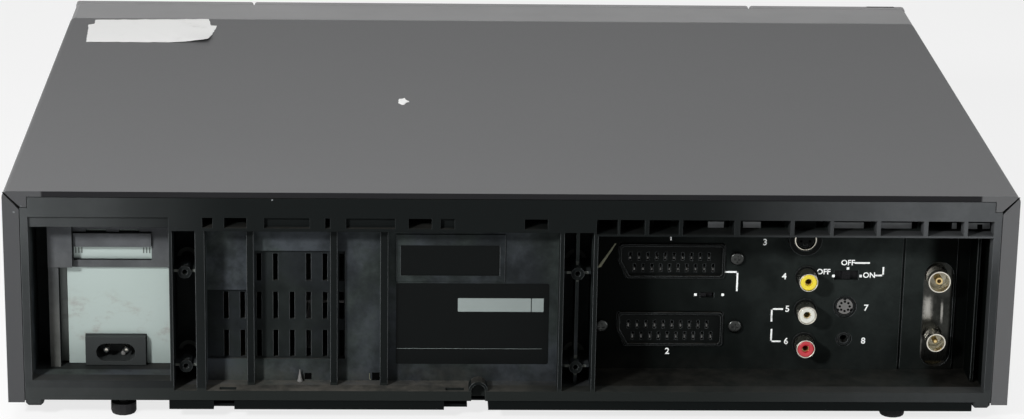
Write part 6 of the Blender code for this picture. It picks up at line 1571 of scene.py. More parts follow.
@dataclass
class RoundSockets:
    """The small multi-pin sockets and the jack."""

    pin_hole: float = 0.42 * MM
    pin_rim: float = 0.10 * MM
    shell: float = 4.75 * MM
    shell_wall: float = 0.50 * MM
    shell_depth: float = 3.4 * MM
    shell_lip: float = 0.3 * MM
    picture_sunk: float = 1.15 * MM
    picture_ring: float = 2.1 * MM
    picture_pins: tuple[int, ...] = (35, 145, 205, 335)
    edit_radius: float = 3.55 * MM
    edit_sunk: float = 0.45 * MM
    edit_thick: float = 0.35 * MM
    edit_ring: float = 2.15 * MM
    edit_pins: tuple[int, ...] = tuple(range(0, 360, 45))
    keyway_half: float = 12.0
    keyway_share: float = 0.82

    def build(self) -> None:
        """Details on the picture socket, the edit socket and the control jack."""
        self.build_picture_socket()
        self.build_edit_socket()
        self.build_jack()

    def holes(self, name: str, centre: Vector, face: float, ring: float,
              angles: tuple[int, ...]) -> None:
        """Blind pin holes, as short wells with a rim, painted dark as their shade.

        Args:
            name: the name of the piece.
            centre: the middle of the socket.
            face: the face that they are in.
            ring: the radius of their circle.
            angles: where they lie on it, in degrees.
        """
        well = Form(Palette.dark)
        radius, rim = self.pin_hole, self.pin_rim
        outer = radius * 1.25
        well.lathe([(0, 0.02 * MM), (radius, 0.02 * MM), (radius, rim), (outer, rim), (outer, 0),
                    (0, 0)], (0, 0, 0), 12)
        places = []
        for angle in angles:
            a = math.radians(angle)
            places.append((centre.x + ring * math.cos(a), face, centre.z + ring * math.sin(a)))
        add_piece(name, repeat_on(name, well.mesh("pin_hole"), Palette.dark, places))

    def build_picture_socket(self) -> None:
        """A bright shell between the black rim and the core, with a key and four holes."""
        _low, high, centre = box_of("s_video_socket")
        floor, edge = high.y - self.shell_depth, high.y - self.shell_lip
        form = Form(Palette.nickel, Palette.socket)
        inner = self.shell - self.shell_wall
        ring = [(inner, floor), (inner, edge), (inner + 0.1 * MM, high.y - 0.15 * MM),
                (self.shell, edge), (self.shell, floor), (inner, floor)]
        form.lathe(ring, (centre.x, 0, centre.z), 48)
        core = high.y - self.picture_sunk
        form.block((centre.x - 1.0 * MM, core - 0.4 * MM, centre.z - 2.9 * MM),
                   (centre.x + 1.0 * MM, core + 0.25 * MM, centre.z - 1.9 * MM), 0.12 * MM, 1)
        form.piece("s_video_shell")
        self.holes("s_video_pin_holes", centre, core, self.picture_ring, self.picture_pins)

    def build_edit_socket(self) -> None:
        """A grey core with its ring of holes and three keyways."""
        _low, high, centre = box_of("edit_socket")
        face = high.y - self.edit_sunk
        core = Form(Palette.grey_core)
        inner = self.edit_radius * self.keyway_share
        outline = []
        for keyway in (90, 210, -30):
            ends = (keyway + self.keyway_half, keyway + 120 - self.keyway_half)
            first, last = ((inner * math.cos(math.radians(end)), inner * math.sin(math.radians(end)))
                           for end in ends)
            outline += [first, *arc(self.edit_radius, *ends, 10), last]
        core.slab(outline, (centre.x, face, centre.z), self.edit_thick)
        core.piece("edit_socket_core")
        self.holes("edit_pin_holes", centre, face + self.edit_thick, self.edit_ring,
                   self.edit_pins)

    def build_jack(self) -> None:
        """A bright spring contact deep in the jack's bore, and the nut round its mouth."""
        _low, high, centre = box_of("control_jack")
        base = (centre.x, high.y, centre.z)
        form = Form(Palette.tin, Palette.socket)
        contact = [(1.62, -6.0), (1.45, -4.0), (1.62, -2.5), (1.78, -2.5), (1.78, -6.0),
                   (1.62, -6.0)]
        nut = [(1.9, 0.0), (2.1, 0.25), (2.8, 0.25), (3.0, 0.0), (1.9, 0.0)]
        for slot, (profile, sides) in enumerate(((contact, 24), (nut, 32))):
            form.lathe([(radius * MM, height * MM) for radius, height in profile], base, sides,
                       slot)
        form.piece("control_jack_contact")


@dataclass
class ScartContacts:
    """Spring leaves in the two keyed sockets."""

    node: str
    pitch: float = 3.81 * MM
    count: int = 10
    row: float = 2.6 * MM
    drop: float = 0.8 * MM
    recess: float = 1.6 * MM
    leaf_half: float = 0.30 * MM
    leaf_thick: float = 0.18 * MM
    leaf_side: tuple[Flat, ...] = ((-4.6, -1.2), (-3.0, -1.2), (-1.6, 0.35), (-0.8, -0.3),
                                   (-0.45, -1.2))

    def leaf(self) -> Mesh:
        """Bends one leaf.

        Returns:
            The leaf, standing in its slot and facing +Y from zero.
        """
        form = Form(Palette.tin)
        half, thick = self.leaf_half, self.leaf_thick
        rows = []
        for y, z in self.leaf_side:
            point = Vector((0, y * MM, z * MM))
            rows.append([form.shape.verts.new(point + Vector((dx, 0, dz)))
                         for dx, dz in ((-half, 0), (half, 0), (half, thick), (-half, thick))])
        for first, second in zip(rows, rows[1:]):
            for index in range(4):
                after = (index + 1) % 4
                form.shape.faces.new((first[index], first[after], second[after], second[index]))
        form.shape.faces.new(rows[0])
        form.shape.faces.new(list(reversed(rows[-1])))
        return form.mesh(f"{self.node}_leaf")

    def build(self) -> None:
        """Twenty leaves in two rows, the upper row moved by half a pitch."""
        _low, high, centre = box_of(self.node)
        shift = self.pitch / 4
        first_x = centre.x - shift - self.pitch * (self.count - 1) / 2
        made = repeat_at(f"{self.node}_contacts", self.leaf(), Palette.tin, self.pitch,
                         self.count, 2, 2 * self.row, 2 * shift)
        face = high.y - self.recess
        place = Matrix.Translation((first_x, face, centre.z - self.drop - self.row))
        add_piece(f"{self.node}_contacts", placed(made, place))


@dataclass
class SocketWall:
    """The wall of sockets: legends, screws and switch knobs."""

    face: float = 137.15 * MM
    line: float = 0.75 * MM
    dot: float = 1.15 * MM
    type_size: float = 4.0 * MM
    word_share: float = 0.86
    screw_places: tuple[Flat, ...] = ((-40.0, 34.1), (-98.5, 34.1), (-98.5, 65.4))
    screw_lift: float = 0.75 * MM
    strokes: tuple[tuple[Flat, ...], ...] = (
        ((-93.8, 59.0), (-99.0, 59.0), (-99.0, 50.6)),
        ((-114.7, 36.6), (-114.7, 42.0), (-119.2, 42.0)),
        ((-114.9, 32.4), (-114.9, 27.0), (-118.8, 27.0)),
        ((-150.4, 63.4), (-156.3, 63.4)),
        ((-159.6, 57.7), (-162.7, 57.7), (-162.7, 61.2)))
    dots: tuple[Flat, ...] = ((-80.95, 48.5), (-92.9, 48.5), (-147.2, 60.9), (-141.0, 57.4),
                              (-152.9, 57.4))
    marks: tuple[tuple[str, float, float], ...] = (
        ("1", -69.5, 74.6), ("2", -69.4, 22.2), ("3", -110.5, 72.6), ("4", -119.5, 57.0),
        ("5", -121.5, 42.0), ("6", -121.5, 27.0), ("7", -156.0, 42.6), ("8", -155.5, 27.3),
        ("OFF", -147.1, 63.4), ("OFF", -136.6, 59.2), ("ON", -156.6, 57.7))

    def build(self) -> None:
        """Adds everything that stands on the wall."""
        for use in SocketUse:
            PhonoSocket(use).build(self.face)
        RoundSockets().build()
        for node in ("scart_socket_upper", "scart_socket_lower"):
            ScartContacts(node).build()
        self.build_screws()
        self.build_lines()
        self.build_numbers()
        self.build_knob_ridges()

    def build_screws(self) -> None:
        """The three screws beside the keyed sockets."""
        head = cross_head(2.9 * MM, 1.25 * MM, 0.5 * MM, 1.45 * MM)
        seat = self.face + self.screw_lift
        places = [(x * MM, seat, z * MM) for x, z in self.screw_places]
        add_piece("socket_screws", repeat_on("socket_screws", head, Palette.screw, places))

    def print_box(self, form: Form, start: Flat, end: Flat, half: float) -> None:
        """Prints a bar between two places on the wall.

        Args:
            form: the piece.
            start: the place of one end, in millimetres.
            end: the place of the other.
            half: half its width, in metres.
        """
        (ax, az), (bx, bz) = start, end
        form.block((min(ax, bx) * MM - half, self.face + SHEET / 4, min(az, bz) * MM - half),
                   (max(ax, bx) * MM + half, self.face + SHEET, max(az, bz) * MM + half))

    def build_lines(self) -> None:
        """Brackets that join the printed marks, and dots at the switch positions."""
        form = Form(Palette.ink)
        for points in self.strokes:
            for start, end in zip(points, points[1:]):
                self.print_box(form, start, end, self.line / 2)
        for place in self.dots:
            self.print_box(form, place, place, self.dot / 2)
        form.piece("printed_brackets")

    def build_numbers(self) -> None:
        """Plain numbers beside the sockets, and ON and OFF at the switch."""
        form = Form(Palette.ink)
        axes = Matrix(((-1, 0, 0), (0, 0, 1), (0, 1, 0))).to_4x4()
        for text, x, z in self.marks:
            size = self.type_size * (1.0 if text.isdigit() else self.word_share)
            spot = Matrix.Translation((x * MM, self.face + SHEET * 0.6, z * MM))
            form.add_mesh(lettering(text, size, Palette.ink, spot @ axes))
        form.piece("printed_numbers")

    def build_knob_ridges(self) -> None:
        """Grip ridges on the two sliding knobs."""
        for node, body, width, tall, count in (
                ("rf_switch_knob", "rf_switch", 3.6, 3.6, 4),
                ("output_selector_knob", "output_selector", 2.2, 1.7, 3)):
            _low, high, centre = box_of(node)
            pitch, half = width / count * MM, tall / 2 * MM
            ridge = Form(Palette.knob)
            ridge.block((-0.2 * MM, -0.1 * MM, -half), (0.2 * MM, 0.3 * MM, half), 0.12 * MM)
            made = repeat_at(f"{node}_ridges", ridge.mesh("ridge"), Palette.knob, pitch, count)
            place = (centre.x - pitch * (count - 1) / 2, high.y, centre.z)
            add_piece(f"{node}_ridges", placed(made, Matrix.Translation(place)), body)


@dataclass
class AerialPair:
    """The two coaxial sockets in their deep window."""

    wall: float = 0.7 * MM
    pin: float = 1.15 * MM
    pin_sunk: float = 1.4 * MM
    cavity: float = 8.0 * MM
    lip: float = 0.3 * MM
    waist: float = 0.25 * MM
    rings: tuple[float, ...] = (0.32, 0.42, 0.52, 0.62)

    def build(self) -> None:
        """Replaces both plain sockets."""
        self.build_socket("aerial_socket", True)
        self.build_socket("rf_out_socket", False)

    def build_socket(self, node: str, tube: bool) -> None:
        """One socket: shell with a rolled lip, insulator and a tube or pin in the middle.

        Args:
            node: the CAD node that it replaces.
            tube: whether its contact is a tube.
        """
        low, high, centre = box_of(node)
        base = (centre.x, 0, centre.z)
        radius = (high.z - low.z) / 2
        inner = radius - self.wall
        floor = high.y - self.cavity
        form = Form(Palette.nickel, Palette.white, Palette.brass)
        form.lathe(self.shell(radius, inner, low.y, high.y), base, 48)
        edge = inner - 0.05 * MM
        form.lathe([(0, floor + 1.2 * MM), (inner * 0.7, floor + 1.2 * MM),
                    (edge, floor + 0.8 * MM), (edge, floor + 0.05 * MM),
                    (0, floor + 0.05 * MM)], base, 32, 1)
        form.lathe(self.post(tube, floor, high.y - self.pin_sunk), base, 24, 2)
        form.piece(f"{node}_detail", replaces=(node,))

    def shell(self, radius: float, inner: float, back: float, front: float) -> list[Flat]:
        """The shell, with four raised rings and a cavity in front.

        Args:
            radius: its outer radius.
            inner: the radius of the cavity.
            back: where it starts.
            front: where its mouth is.

        Returns:
            The outline.
        """
        waist = radius - self.waist
        made = [(0, back), (radius, back), (radius, back + MM), (waist, back + 2 * MM)]
        for share in self.rings:
            height = back + (front - back) * share
            made += [(waist, height), (radius - 0.05 * MM, height + 0.25 * MM),
                     (waist, height + 0.5 * MM)]
        return made + [(waist, front - 1.2 * MM), (radius, front - 0.9 * MM),
                       (radius, front - self.lip), (radius - self.lip * 0.5, front),
                       (inner + self.lip * 0.3, front), (inner, front - self.lip),
                       (inner, front - self.cavity), (0, front - self.cavity)]

    def post(self, tube: bool, floor: float, top: float) -> list[Flat]:
        """The contact in the middle.

        Args:
            tube: whether it is a tube, and not a pin.
            floor: where it stands.
            top: where it ends.

        Returns:
            The outline.
        """
        if not tube:
            return [(0, top), (self.pin * 0.6, top - 0.15 * MM), (self.pin, top - 0.9 * MM),
                    (self.pin, floor), (0, floor)]
        inner, outer = self.pin * 0.8, self.pin * 1.45
        return [(inner, floor), (inner, top), (outer - 0.1 * MM, top), (outer, top - 0.2 * MM),
                (outer, floor), (inner, floor)]


@dataclass
class MainsInlet:
    """The two pins in the mains socket and the moulded key below them."""

    pitch: float = 8.6 * MM
    radius: float = 1.23 * MM
    pin_drop: float = 7.0 * MM
    pin_sunk: float = 2.9 * MM
    root: float = 11.8 * MM
    key_place: Flat = (-2.7 * MM, -3.1 * MM)
    key_radius: float = 1.0 * MM
    key_height: float = 4.6 * MM

    def build(self) -> None:
        """Bright caps over the two pins, and the moulded key below them."""
        low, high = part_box("mains_inlet")
        x = (low.x + high.x) / 2
        z = high.z - self.pin_drop
        deep, tip = high.y - self.root, high.y - self.pin_sunk
        form = Form(Palette.nickel)
        for side in (-1, 1):
            form.lathe([(0, tip), (self.radius * 0.55, tip - 0.1 * MM),
                        (self.radius, tip - 0.7 * MM), (self.radius, deep), (0, deep)],
                       (x + side * self.pitch / 2, 0, z), 24)
        form.piece("mains_pins")
        key = Form(Palette.grey_core)
        top = deep + self.key_height
        key.lathe([(0, deep), (self.key_radius, deep), (self.key_radius, top - 0.4 * MM),
                   (self.key_radius * 0.6, top), (0, top)],
                  (x + self.key_place[0], 0, z + self.key_place[1]), 20)
        key.piece("mains_key")


def rounded(box: Box, radius: float) -> list[Flat]:
    """A rectangle with round corners.

    Args:
        box: its low and high sides.
        radius: the radius of its corners.

    Returns:
        The outline.
    """
    low_x, low_z, high_x, high_z = box
    made = []
    for x, z, start in ((high_x - radius, high_z - radius, 0), (low_x + radius, high_z - radius, 90),
                        (low_x + radius, low_z + radius, 180),
                        (high_x - radius, low_z + radius, 270)):
        made += arc(radius, start, start + 90, 4, (x, z))
    return made


@dataclass
class RatingArea:
    """The bare labels: rating plate film, number strip, and the moulded label frame."""

    face: float = 153.15 * MM
    plate: Box = (-16.3, 21.9, 49.4, 58.7)
    frame_box: Box = (2.8, 59.6, 49.5, 80.8)
    frame_rise: float = 0.5 * MM
    inner_box: Box = (5.2, 62.3, 47.5, 75.9)
    strips: tuple[Box, ...] = ((-14.0, 45.9, -8.9, 52.0), (-8.5, 45.9, 22.9, 52.0))
    rule: Point = (-13.6, 49.1, 28.95)

    def film(self, name: str, finish: Finish, boxes: tuple[Box, ...], radius: float,
             lift: float, thick: float) -> None:
        """Thin films on the panel, without words.

        Args:
            name: the piece's name.
            finish: what they are made of.
            boxes: their low and high sides, in millimetres.
            radius: the radius of their corners.
            lift: how far they lie off the panel.
            thick: how thick they are.
        """
        form = Form(finish)
        for box in boxes:
            outline = rounded(tuple(value * MM for value in box), radius)
            form.slab(outline, (0, self.face + lift, 0), thick)
        form.piece(name)

    def build(self) -> None:
        """Adds the films, the rule and the frame."""
        self.film("rating_film", Palette.label, (self.plate,), 0.8 * MM, 0.0, 2 * SHEET)
        self.film("number_strip", Palette.strip, self.strips, 0.2 * MM, 2 * SHEET, SHEET)
        start, end, level = (value * MM for value in self.rule)
        rule = Form(Palette.strip)
        rule.block((start, self.face + 2 * SHEET, level - SHEET),
                   (end, self.face + 2.5 * SHEET, level + SHEET))
        rule.piece("printed_rule")
        self.build_frame()
        self.film("upper_label_film", Palette.label, (self.inner_box,), 0.5 * MM, 0.0, 2 * SHEET)

    def build_frame(self) -> None:
        """A low raised border round the upper label's place."""
        ax, az, bx, bz = (value * MM for value in self.frame_box)
        cx, cz, dx, dz = (value * MM for value in self.inner_box)
        border = Form(Palette.back)
        top = self.face + self.frame_rise
        for low, high in (((ax, az), (bx, cz)), ((ax, dz), (bx, bz)), ((ax, cz), (cx, dz)),
                          ((dx, cz), (bx, dz))):
            border.block((low[0], self.face, low[1]), (high[0], top, high[1]))
        border.piece("label_frame")


@dataclass
class HookRow:
    """The lid's steel behind the hook windows, and the small marks low in the bays."""

    floor: float = 155.66 * MM
    thick: float = 0.35 * MM
    levels: Flat = (85.35, 88.0)
    tabs: tuple[Flat, ...] = (
        (-83.4, -90.2), (-98.4, -106.0), (-137.4, -150.2), (-157.6, -170.8), (-188.1, -190.2),
        (-195.0, -199.0), (-201.3, -204.5))
    bridge: float = 0.6 * MM
    bay_wall: float = 153.15 * MM
    clip_holes: tuple[Box, ...] = ((85.8, 14.6, 88.8, 17.5), (56.2, 14.3, 59.7, 17.8))
    rim_marks: tuple[Box, ...] = ((60.6, 14.6, 60.9, 17.4), (60.2, 14.2, 60.6, 14.8))
    pin_place: Point = (90.8 * MM, 154.6 * MM, 14.2 * MM)
    pin_height: float = 5.4 * MM
    socket_wall: float = 137.15 * MM
    scratch: tuple[Flat, ...] = ((-37.7, 60.6), (-39.4, 61.0), (-45.8, 71.6), (-45.3, 71.9))
    shield_face: float = 143.9 * MM
    stamp_starts: Flat = (155.0, 184.0)
    stamp_step: float = 1.3
    stamp_width: float = 0.55 * MM
    stamp_levels: Flat = (68.6 * MM, 71.2 * MM)
    flange_levels: Flat = (18.9 * MM, 69.5 * MM)
    flange_sides: Flat = (0.1 * MM, 4.3 * MM)
    flange_depths: Flat = (2.5 * MM, 0.8 * MM)

    def build(self) -> None:
        """Adds the tabs, clip holes, moulding pin, scratch, pressed marks and flange."""
        self.build_tabs()
        self.build_marks()
        self.build_pin()
        self.build_scratch()
        self.build_stamps()
        self.build_flange()

    def build_tabs(self) -> None:
        """Bare steel that shows through the windows, one tab with a hole in it."""
        form = Form(Palette.lid_steel)
        low, high = (level * MM for level in self.levels)
        for right, left in self.tabs:
            form.block((left * MM, self.floor, low), (right * MM, self.floor + self.thick, high))
        (_right, start), (end, _left) = self.tabs[-2:]
        form.block((end * MM, self.floor, high - self.bridge),
                   (start * MM, self.floor + self.thick, high))
        form.piece("lid_hook_tabs")

    def build_marks(self) -> None:
        """Two clip holes, as sheets painted dark as their shade, and the pale rubbed rims beside
        them.
        """
        for name, finish, boxes in (("clip_holes", Palette.dark, self.clip_holes),
                                    ("clip_rims", Palette.rim, self.rim_marks)):
            form = Form(finish)
            for left, foot, right, top in boxes:
                form.block((left * MM, self.bay_wall, foot * MM),
                           (right * MM, self.bay_wall + SHEET, top * MM))
            form.piece(name)

    def build_pin(self) -> None:
        """A moulded pin that stands on the floor of a bay."""
        form = Form(Palette.grey_core)
        tall = self.pin_height
        form.lathe([(0, 0), (1.3 * MM, 0), (0.9 * MM, 0.25 * tall), (0.35 * MM, 0.75 * tall),
                    (0.15 * MM, tall), (0, tall)], self.pin_place, 14, axis=UPRIGHT)
        form.piece("moulding_pin")

    def build_scratch(self) -> None:
        """A long scratch across the corner of the socket wall."""
        form = Form(Palette.rim)
        outline = [(x * MM, z * MM) for x, z in self.scratch]
        form.slab(outline, (0.0, self.socket_wall + SHEET / 4, 0.0), SHEET / 2)
        form.piece("wall_scratch")

    def build_stamps(self) -> None:
        """Short pressed lines at both ends of the shield, as dark sheets of painted shade."""
        form = Form(Palette.flange)
        low, high = self.stamp_levels
        for left in self.stamp_starts:
            for step in range(3):
                x = (left + step * self.stamp_step) * MM
                form.block((x, self.shield_face, low),
                           (x + self.stamp_width, self.shield_face + SHEET / 2, high))
        form.piece("pressed_lines")

    def build_flange(self) -> None:
        """The folded flange at the shield's side, its plate colour darkened as painted shade."""
        side = Form(Palette.flange)
        _low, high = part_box("power_shield")
        (left, right), (back, front), (foot, top) = (self.flange_sides, self.flange_depths,
                                                     self.flange_levels)
        side.block((high.x + left, high.y - back, foot), (high.x + right, high.y - front, top),
                   0.3 * MM)
        side.piece("shield_side_flange")


@dataclass
class DialGroup:
    """The grip ribs round the shuttle ring."""

    ribs: int = 72
    rib_low: Point = (-1.6 * MM, -0.35 * MM, -0.3 * MM)
    rib_high: Point = (1.6 * MM, 0.35 * MM, 0.45 * MM)
    ring_radius: float = 23.4 * MM
    sunk: float = 0.1 * MM

    def build(self) -> None:
        """Adds the ribs on the ring's face."""
        low, _high, centre = box_of("shuttle_ring")
        rib = Form(Palette.keys)
        rib.block(self.rib_low, self.rib_high, 0.2 * MM)
        made = repeat_round("ring_ribs", rib.mesh("rib"), Palette.keys, self.ring_radius,
                            self.ribs)
        turn = Matrix.Rotation(math.pi / 2, 4, "X")
        place = Matrix.Translation((centre.x, low.y + self.sunk, centre.z)) @ turn
        add_piece("shuttle_ring_ribs", placed(made, place), "shuttle")


class KeySign(Enum):
    """Plain signs on the transport keys."""

    PLAY = "play_button"
    STOP = "stop_button"
    REWIND = "rewind_button"
    FORWARD = "fast_forward_button"
    PAUSE = "pause_button"
    RECORD = "record_button"
    EJECT = "eject_button"
    POWER = "power_button"


@dataclass
class FrontKeys:
    """Signs printed on the keys, as most machines of this kind have them."""

    size: float = 2.6 * MM

    def outlines(self, sign: KeySign) -> list[list[Flat]]:
        """The forms of a sign, seen from the front, in its own plane.

        Args:
            sign: which one.

        Returns:
            The outlines.
        """
        s = self.size / 2
        right = [(-s, -s), (-s, s), (s, 0)]
        left = [(s, -s), (-s, 0), (s, s)]
        shapes = {
            KeySign.PLAY: [right],
            KeySign.STOP: [[(-s, -s), (-s, s), (s, s), (s, -s)]],
            KeySign.REWIND: [[(x - s, z) for x, z in left], [(x + s, z) for x, z in left]],
            KeySign.FORWARD: [[(x - s, z) for x, z in right], [(x + s, z) for x, z in right]],
            KeySign.PAUSE: [[(-s, -s), (-s, s), (-s / 3, s), (-s / 3, -s)],
                            [(s / 3, -s), (s / 3, s), (s, s), (s, -s)]],
            KeySign.RECORD: [arc(s, 0, 345, 23)],
            KeySign.EJECT: [[(-s, -s / 4), (0, s), (s, -s / 4)],
                            [(-s, -s), (-s, -s / 2), (s, -s / 2), (s, -s)]],
            KeySign.POWER: [[(-s / 6, -s), (-s / 6, s), (s / 6, s), (s / 6, -s)]],
        }
        return shapes[sign]

    def build(self) -> None:
        """Prints one sign on each key."""
        for sign in KeySign:
            low, _high, centre = box_of(sign.value)
            form = Form(Palette.key_ink)
            for outline in self.outlines(sign):
                form.slab(outline, (centre.x, low.y - SHEET, centre.z), SHEET)
            body = sign.value.replace("_button", "_key")
            form.piece(f"{sign.value}_sign", body)


@dataclass
class TapeDrum:
    """The clamp ring on top of the upper drum."""

    inner_share: float = 0.35
    outer_share: float = 0.42
    rise: float = 0.4 * MM

    def build(self) -> None:
        """Adds the ring."""
        low, high, centre = box_of("head_drum")
        radius = (high.x - low.x) / 2
        inner, outer = radius * self.inner_share, radius * self.outer_share
        foot, top = high.z, high.z + self.rise
        form = Form(Palette.aluminium)
        form.lathe([(inner, foot), (inner, top), (outer, top), (outer, foot), (inner, foot)],
                   (centre.x, centre.y, 0), 48, axis=UPRIGHT)
        form.piece("drum_clamp_ring", "spinning_drum")


@dataclass
class BoardParts:
    """Small components on the main board, scattered by a fixed seed."""

    seed: int = 11
    count: int = 26
    chips: int = 8
    apart: float = 11 * MM
    back_limit: float = 75 * MM
    can_radius: float = 2.6 * MM
    can_height: float = 6.5 * MM
    leg_pitch: float = 1.9 * MM
    leg_reach: float = 3.6 * MM

    def capacitor(self) -> Mesh:
        """A small electrolytic can.

        Returns:
            The can, standing at zero.
        """
        form = Form(Palette.keys)
        radius, tall = self.can_radius, self.can_height
        form.lathe([(0, tall), (radius * 0.8, tall), (radius, tall - radius * 0.2),
                    (radius, radius * 0.5), (radius * 0.93, radius * 0.38),
                    (radius, radius * 0.26), (radius, 0), (0, 0)], (0, 0, 0), 16, axis=UPRIGHT)
        return form.mesh("capacitor")

    def chip(self) -> Mesh:
        """A flat package with its legs.

        Returns:
            The package, standing at zero.
        """
        form = Form(Palette.keys)
        form.block((-7 * MM, -3 * MM, 0.6 * MM), (7 * MM, 3 * MM, 2.8 * MM), 0.3 * MM)
        for index in range(-3, 4):
            x = index * self.leg_pitch
            for y in (-self.leg_reach, self.leg_reach):
                form.block((x - 0.3 * MM, y - 0.5 * MM, 0.05 * MM),
                           (x + 0.3 * MM, y + 0.5 * MM, 1.2 * MM))
        return form.mesh("chip")

    def build(self) -> None:
        """Scatters the parts over the main board."""
        random.seed(self.seed)
        low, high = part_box("main_board")
        top = high.z + 0.05 * MM
        spots: list[Point] = []
        while len(spots) < self.count:
            x = random.uniform(low.x + 10 * MM, high.x - 12 * MM)
            y = random.uniform(low.y + 12 * MM, self.back_limit)
            if all(math.hypot(x - a, y - b) > self.apart for a, b, _top in spots):
                spots.append((x, y, top))
        add_piece("main_board_chips",
                  repeat_on("board_chips", self.chip(), Palette.keys, spots[:self.chips]))
        add_piece("main_board_capacitors",
                  repeat_on("board_cans", self.capacitor(), Palette.keys, spots[self.chips:]))


@dataclass(frozen=True)
class PhotoCamera:
    """The camera, solved from the edges of the cover in the photograph."""

    place: Point = (0.0510, 1.45185, 0.5048)
    turns: Point = (17.63, -2.13, 0.30)
    focal_share: float = 3199.31 / 1024
    sensor: float = 36.0

    def build(self) -> None:
        """Adds the camera."""
        data = bpy.data.cameras.new("photo_camera")
        data.sensor_width = self.sensor
        data.lens = self.sensor * self.focal_share
        data.clip_start, data.clip_end = 0.05, 30.0
        view = new_object("photo_camera", data)
        facing = Matrix(((-1, 0, 0), (0, 0, -1), (0, -1, 0)))
        rx, ry, rz = (math.radians(angle) for angle in self.turns)
        turn = Matrix.Rotation(rz, 3, "Z") @ Matrix.Rotation(ry, 3, "Y")
        turn = turn @ Matrix.Rotation(rx, 3, "X") @ facing
        flip = Matrix.Diagonal((1, -1, -1))
        view.matrix_world = Matrix.Translation(self.place) @ (turn.transposed() @ flip).to_4x4()
        bpy.context.scene.camera = view


@dataclass(frozen=True)
class Lamp:
    """One soft lamp that looks at the machine."""

    name: str
    place: Point
    power: float
    width: float
    height: float
    aim: Point = (0.0, 0.0, 0.05)

    def build(self) -> None:
        """Adds the lamp."""
        data = bpy.data.lights.new(self.name, "AREA")
        data.shape = "RECTANGLE"
        data.size, data.size_y = self.width, self.height
        data.energy = self.power
        lamp = new_object(self.name, data)
        lamp.visible_camera = False
        lamp.location = self.place
        way = Vector(self.aim) - Vector(self.place)
        lamp.rotation_euler = way.to_track_quat("-Z", "Y").to_euler()


@dataclass
class Studio:
    """Floor, world and lamps."""

    floor_half: float = 6.0
    floor_colour: Colour = (0.86, 0.86, 0.86)
    floor_glow: float = 0.78
    world_level: float = 0.16
    lamps: tuple[Lamp, ...] = (
        Lamp("key", (0.55, 0.84, 0.50), 9.0, 0.10, 0.10, (0.10, 0.16, 0.05)),
        Lamp("top_softbox", (0.05, 0.30, 0.90), 2.2, 0.90, 0.25, (0.05, 0.25, 0.10)),
        Lamp("left_softbox", (0.50, 0.35, 0.80), 0.6, 0.30, 0.30, (0.10, 0.10, 0.05)),
        Lamp("front_softbox", (0.0, -0.50, 1.30), 2.4, 1.20, 0.60, (0.0, 0.0, 0.10)),
        Lamp("left_edge", (0.60, 0.25, 0.12), 0.35, 0.15, 0.15, (0.20, 0.16, 0.05)),
        Lamp("right_edge", (-0.60, 0.25, 0.12), 0.55, 0.15, 0.15, (-0.20, 0.16, 0.05)),
        Lamp("right_fill", (-0.55, 0.42, 0.22), 0.8, 0.15, 0.15, (-0.20, 0.16, 0.05)),
    )

    def build(self) -> None:
        """Adds the stage and the lights."""
        self.build_floor()
        self.build_world()
        for lamp in self.lamps:
            lamp.build()
        bpy.context.scene.view_settings.view_transform = "Standard"

    def build_floor(self) -> None:
        """A pale floor that is near white to the camera and keeps the shadow."""
        mesh = bpy.data.meshes.new("studio_floor")
        half = self.floor_half
        mesh.from_pydata([(-half, -half, 0), (half, -half, 0), (half, half, 0), (-half, half, 0)],
                         [], [(0, 1, 2, 3)])
        floor = new_object("studio_floor", mesh)
        surface = Surface("pale_floor")
        surface.dress(base_color=self.floor_colour, roughness=0.9)
        glow = surface.node("ShaderNodeEmission", {}, {"Color": WHITE, "Strength": 1.0})
        share = white_rays(surface) * self.floor_glow
        mix = surface.node("ShaderNodeMixShader", {}, {0: share})
        surface.group.links.new(surface.shader.outputs[0], mix.inputs[1])
        surface.group.links.new(glow.outputs[0], mix.inputs[2])
        surface.group.links.new(mix.outputs[0], surface.end.inputs["Surface"])
        mesh.materials.append(surface.material)

    def build_world(self) -> None:
        """White to the camera and in reflections, and a soft level of light besides."""
        world = bpy.data.worlds.new("studio_world")
        bpy.context.scene.world = world
        world.use_nodes = True
        tree = Tree(world.node_tree)
        tree.group.nodes.clear()
        level = self.world_level + white_rays(tree) * (1.0 - self.world_level)
        back = tree.node("ShaderNodeBackground", {}, {"Color": WHITE, "Strength": level})
        end = tree.node("ShaderNodeOutputWorld", {}, {})
        tree.group.links.new(back.outputs[0], end.inputs["Surface"])


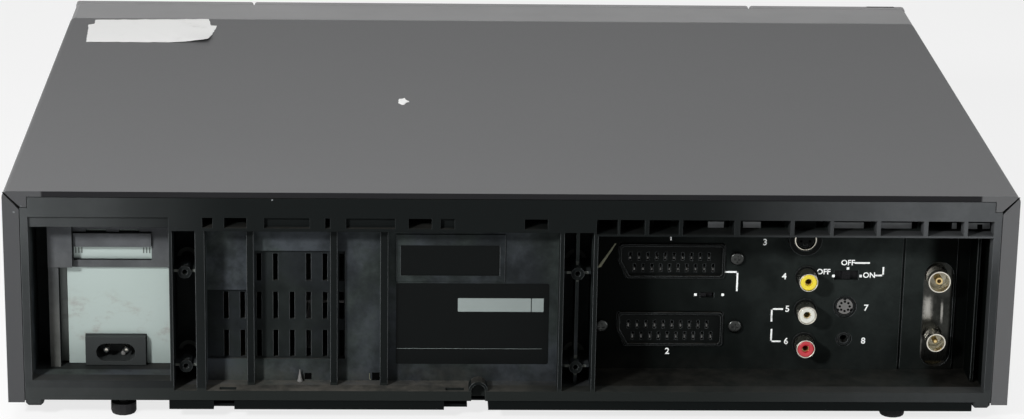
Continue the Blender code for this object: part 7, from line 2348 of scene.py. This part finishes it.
class Machine:
    """The whole recorder: its CAD nodes' finishes and the pieces added to them."""

    finishes: tuple[tuple[Finish, tuple[str, ...]], ...] = (
        (Palette.cover, ("top_cover",)),
        (Palette.pan, ("bottom_plate",)),
        (Palette.back, ("rear_panel",)),
        (Palette.fascia, ("front_fascia", "left_face_plate", "centre_face_plate",
                          "right_face_plate", "cassette_flap", "control_door")),
        (Palette.keys, ("power_button", "eject_button", "play_button", "stop_button",
                        "rewind_button", "fast_forward_button", "pause_button", "record_button",
                        "jog_dial", "shuttle_ring", "supply_reel", "take_up_reel",
                        "clutch_pulley")),
        (Palette.socket, ("scart_socket_upper", "scart_socket_lower", "s_video_socket",
                          "edit_socket", "control_jack")),
        (Palette.inlet, ("mains_inlet",)),
        (Palette.knob, ("rf_switch_knob", "output_selector_knob")),
        (Palette.rubber, ("back_left_foot", "back_right_foot", "front_left_foot",
                          "front_right_foot", "drive_belt", "pinch_roller")),
        (Palette.zinc, ("tuner_can",)),
        (Palette.pale, ("power_shield",)),
        (Palette.smoked, ("display_window",)),
        (Palette.board, ("main_board", "power_board", "jack_board")),
        (Palette.aluminium, ("lower_drum", "head_drum", "supply_guide", "take_up_guide")),
        (Palette.steel, ("transformer", "mechanism_deck", "capstan_flywheel", "pinch_arm",
                         "loading_motor", "audio_head", "carriage_left_plate",
                         "carriage_right_plate", "cassette_holder")),
        (Palette.white, ("video_out_socket", "left_audio_socket", "right_audio_socket")),
        (Palette.nickel, ("aerial_socket", "rf_out_socket")),
    )

    def dress(self) -> None:
        """Gives every CAD node its finish."""
        for finish, nodes in self.finishes:
            for node in nodes:
                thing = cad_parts[node]
                for place in thing.material_slots:
                    place.material = finish.material()
                if not thing.material_slots:
                    thing.data.materials.append(finish.material())
                LOG.info("%s takes %s", node, finish.name)

    def build(self) -> None:
        """Adds the pieces, group by group."""
        for group in (CoverTop(), SocketWall(), AerialPair(), MainsInlet(), RatingArea(),
                      HookRow(), DialGroup(), FrontKeys(), TapeDrum(), BoardParts()):
            group.build()


def main() -> None:
    """Builds the camera, the studio and the machine."""
    logging.basicConfig(level=logging.INFO, format="%(name)s: %(message)s")
    PhotoCamera().build()
    Studio().build()
    machine = Machine()
    machine.dress()
    machine.build()


if __name__ == "__main__":
    main()
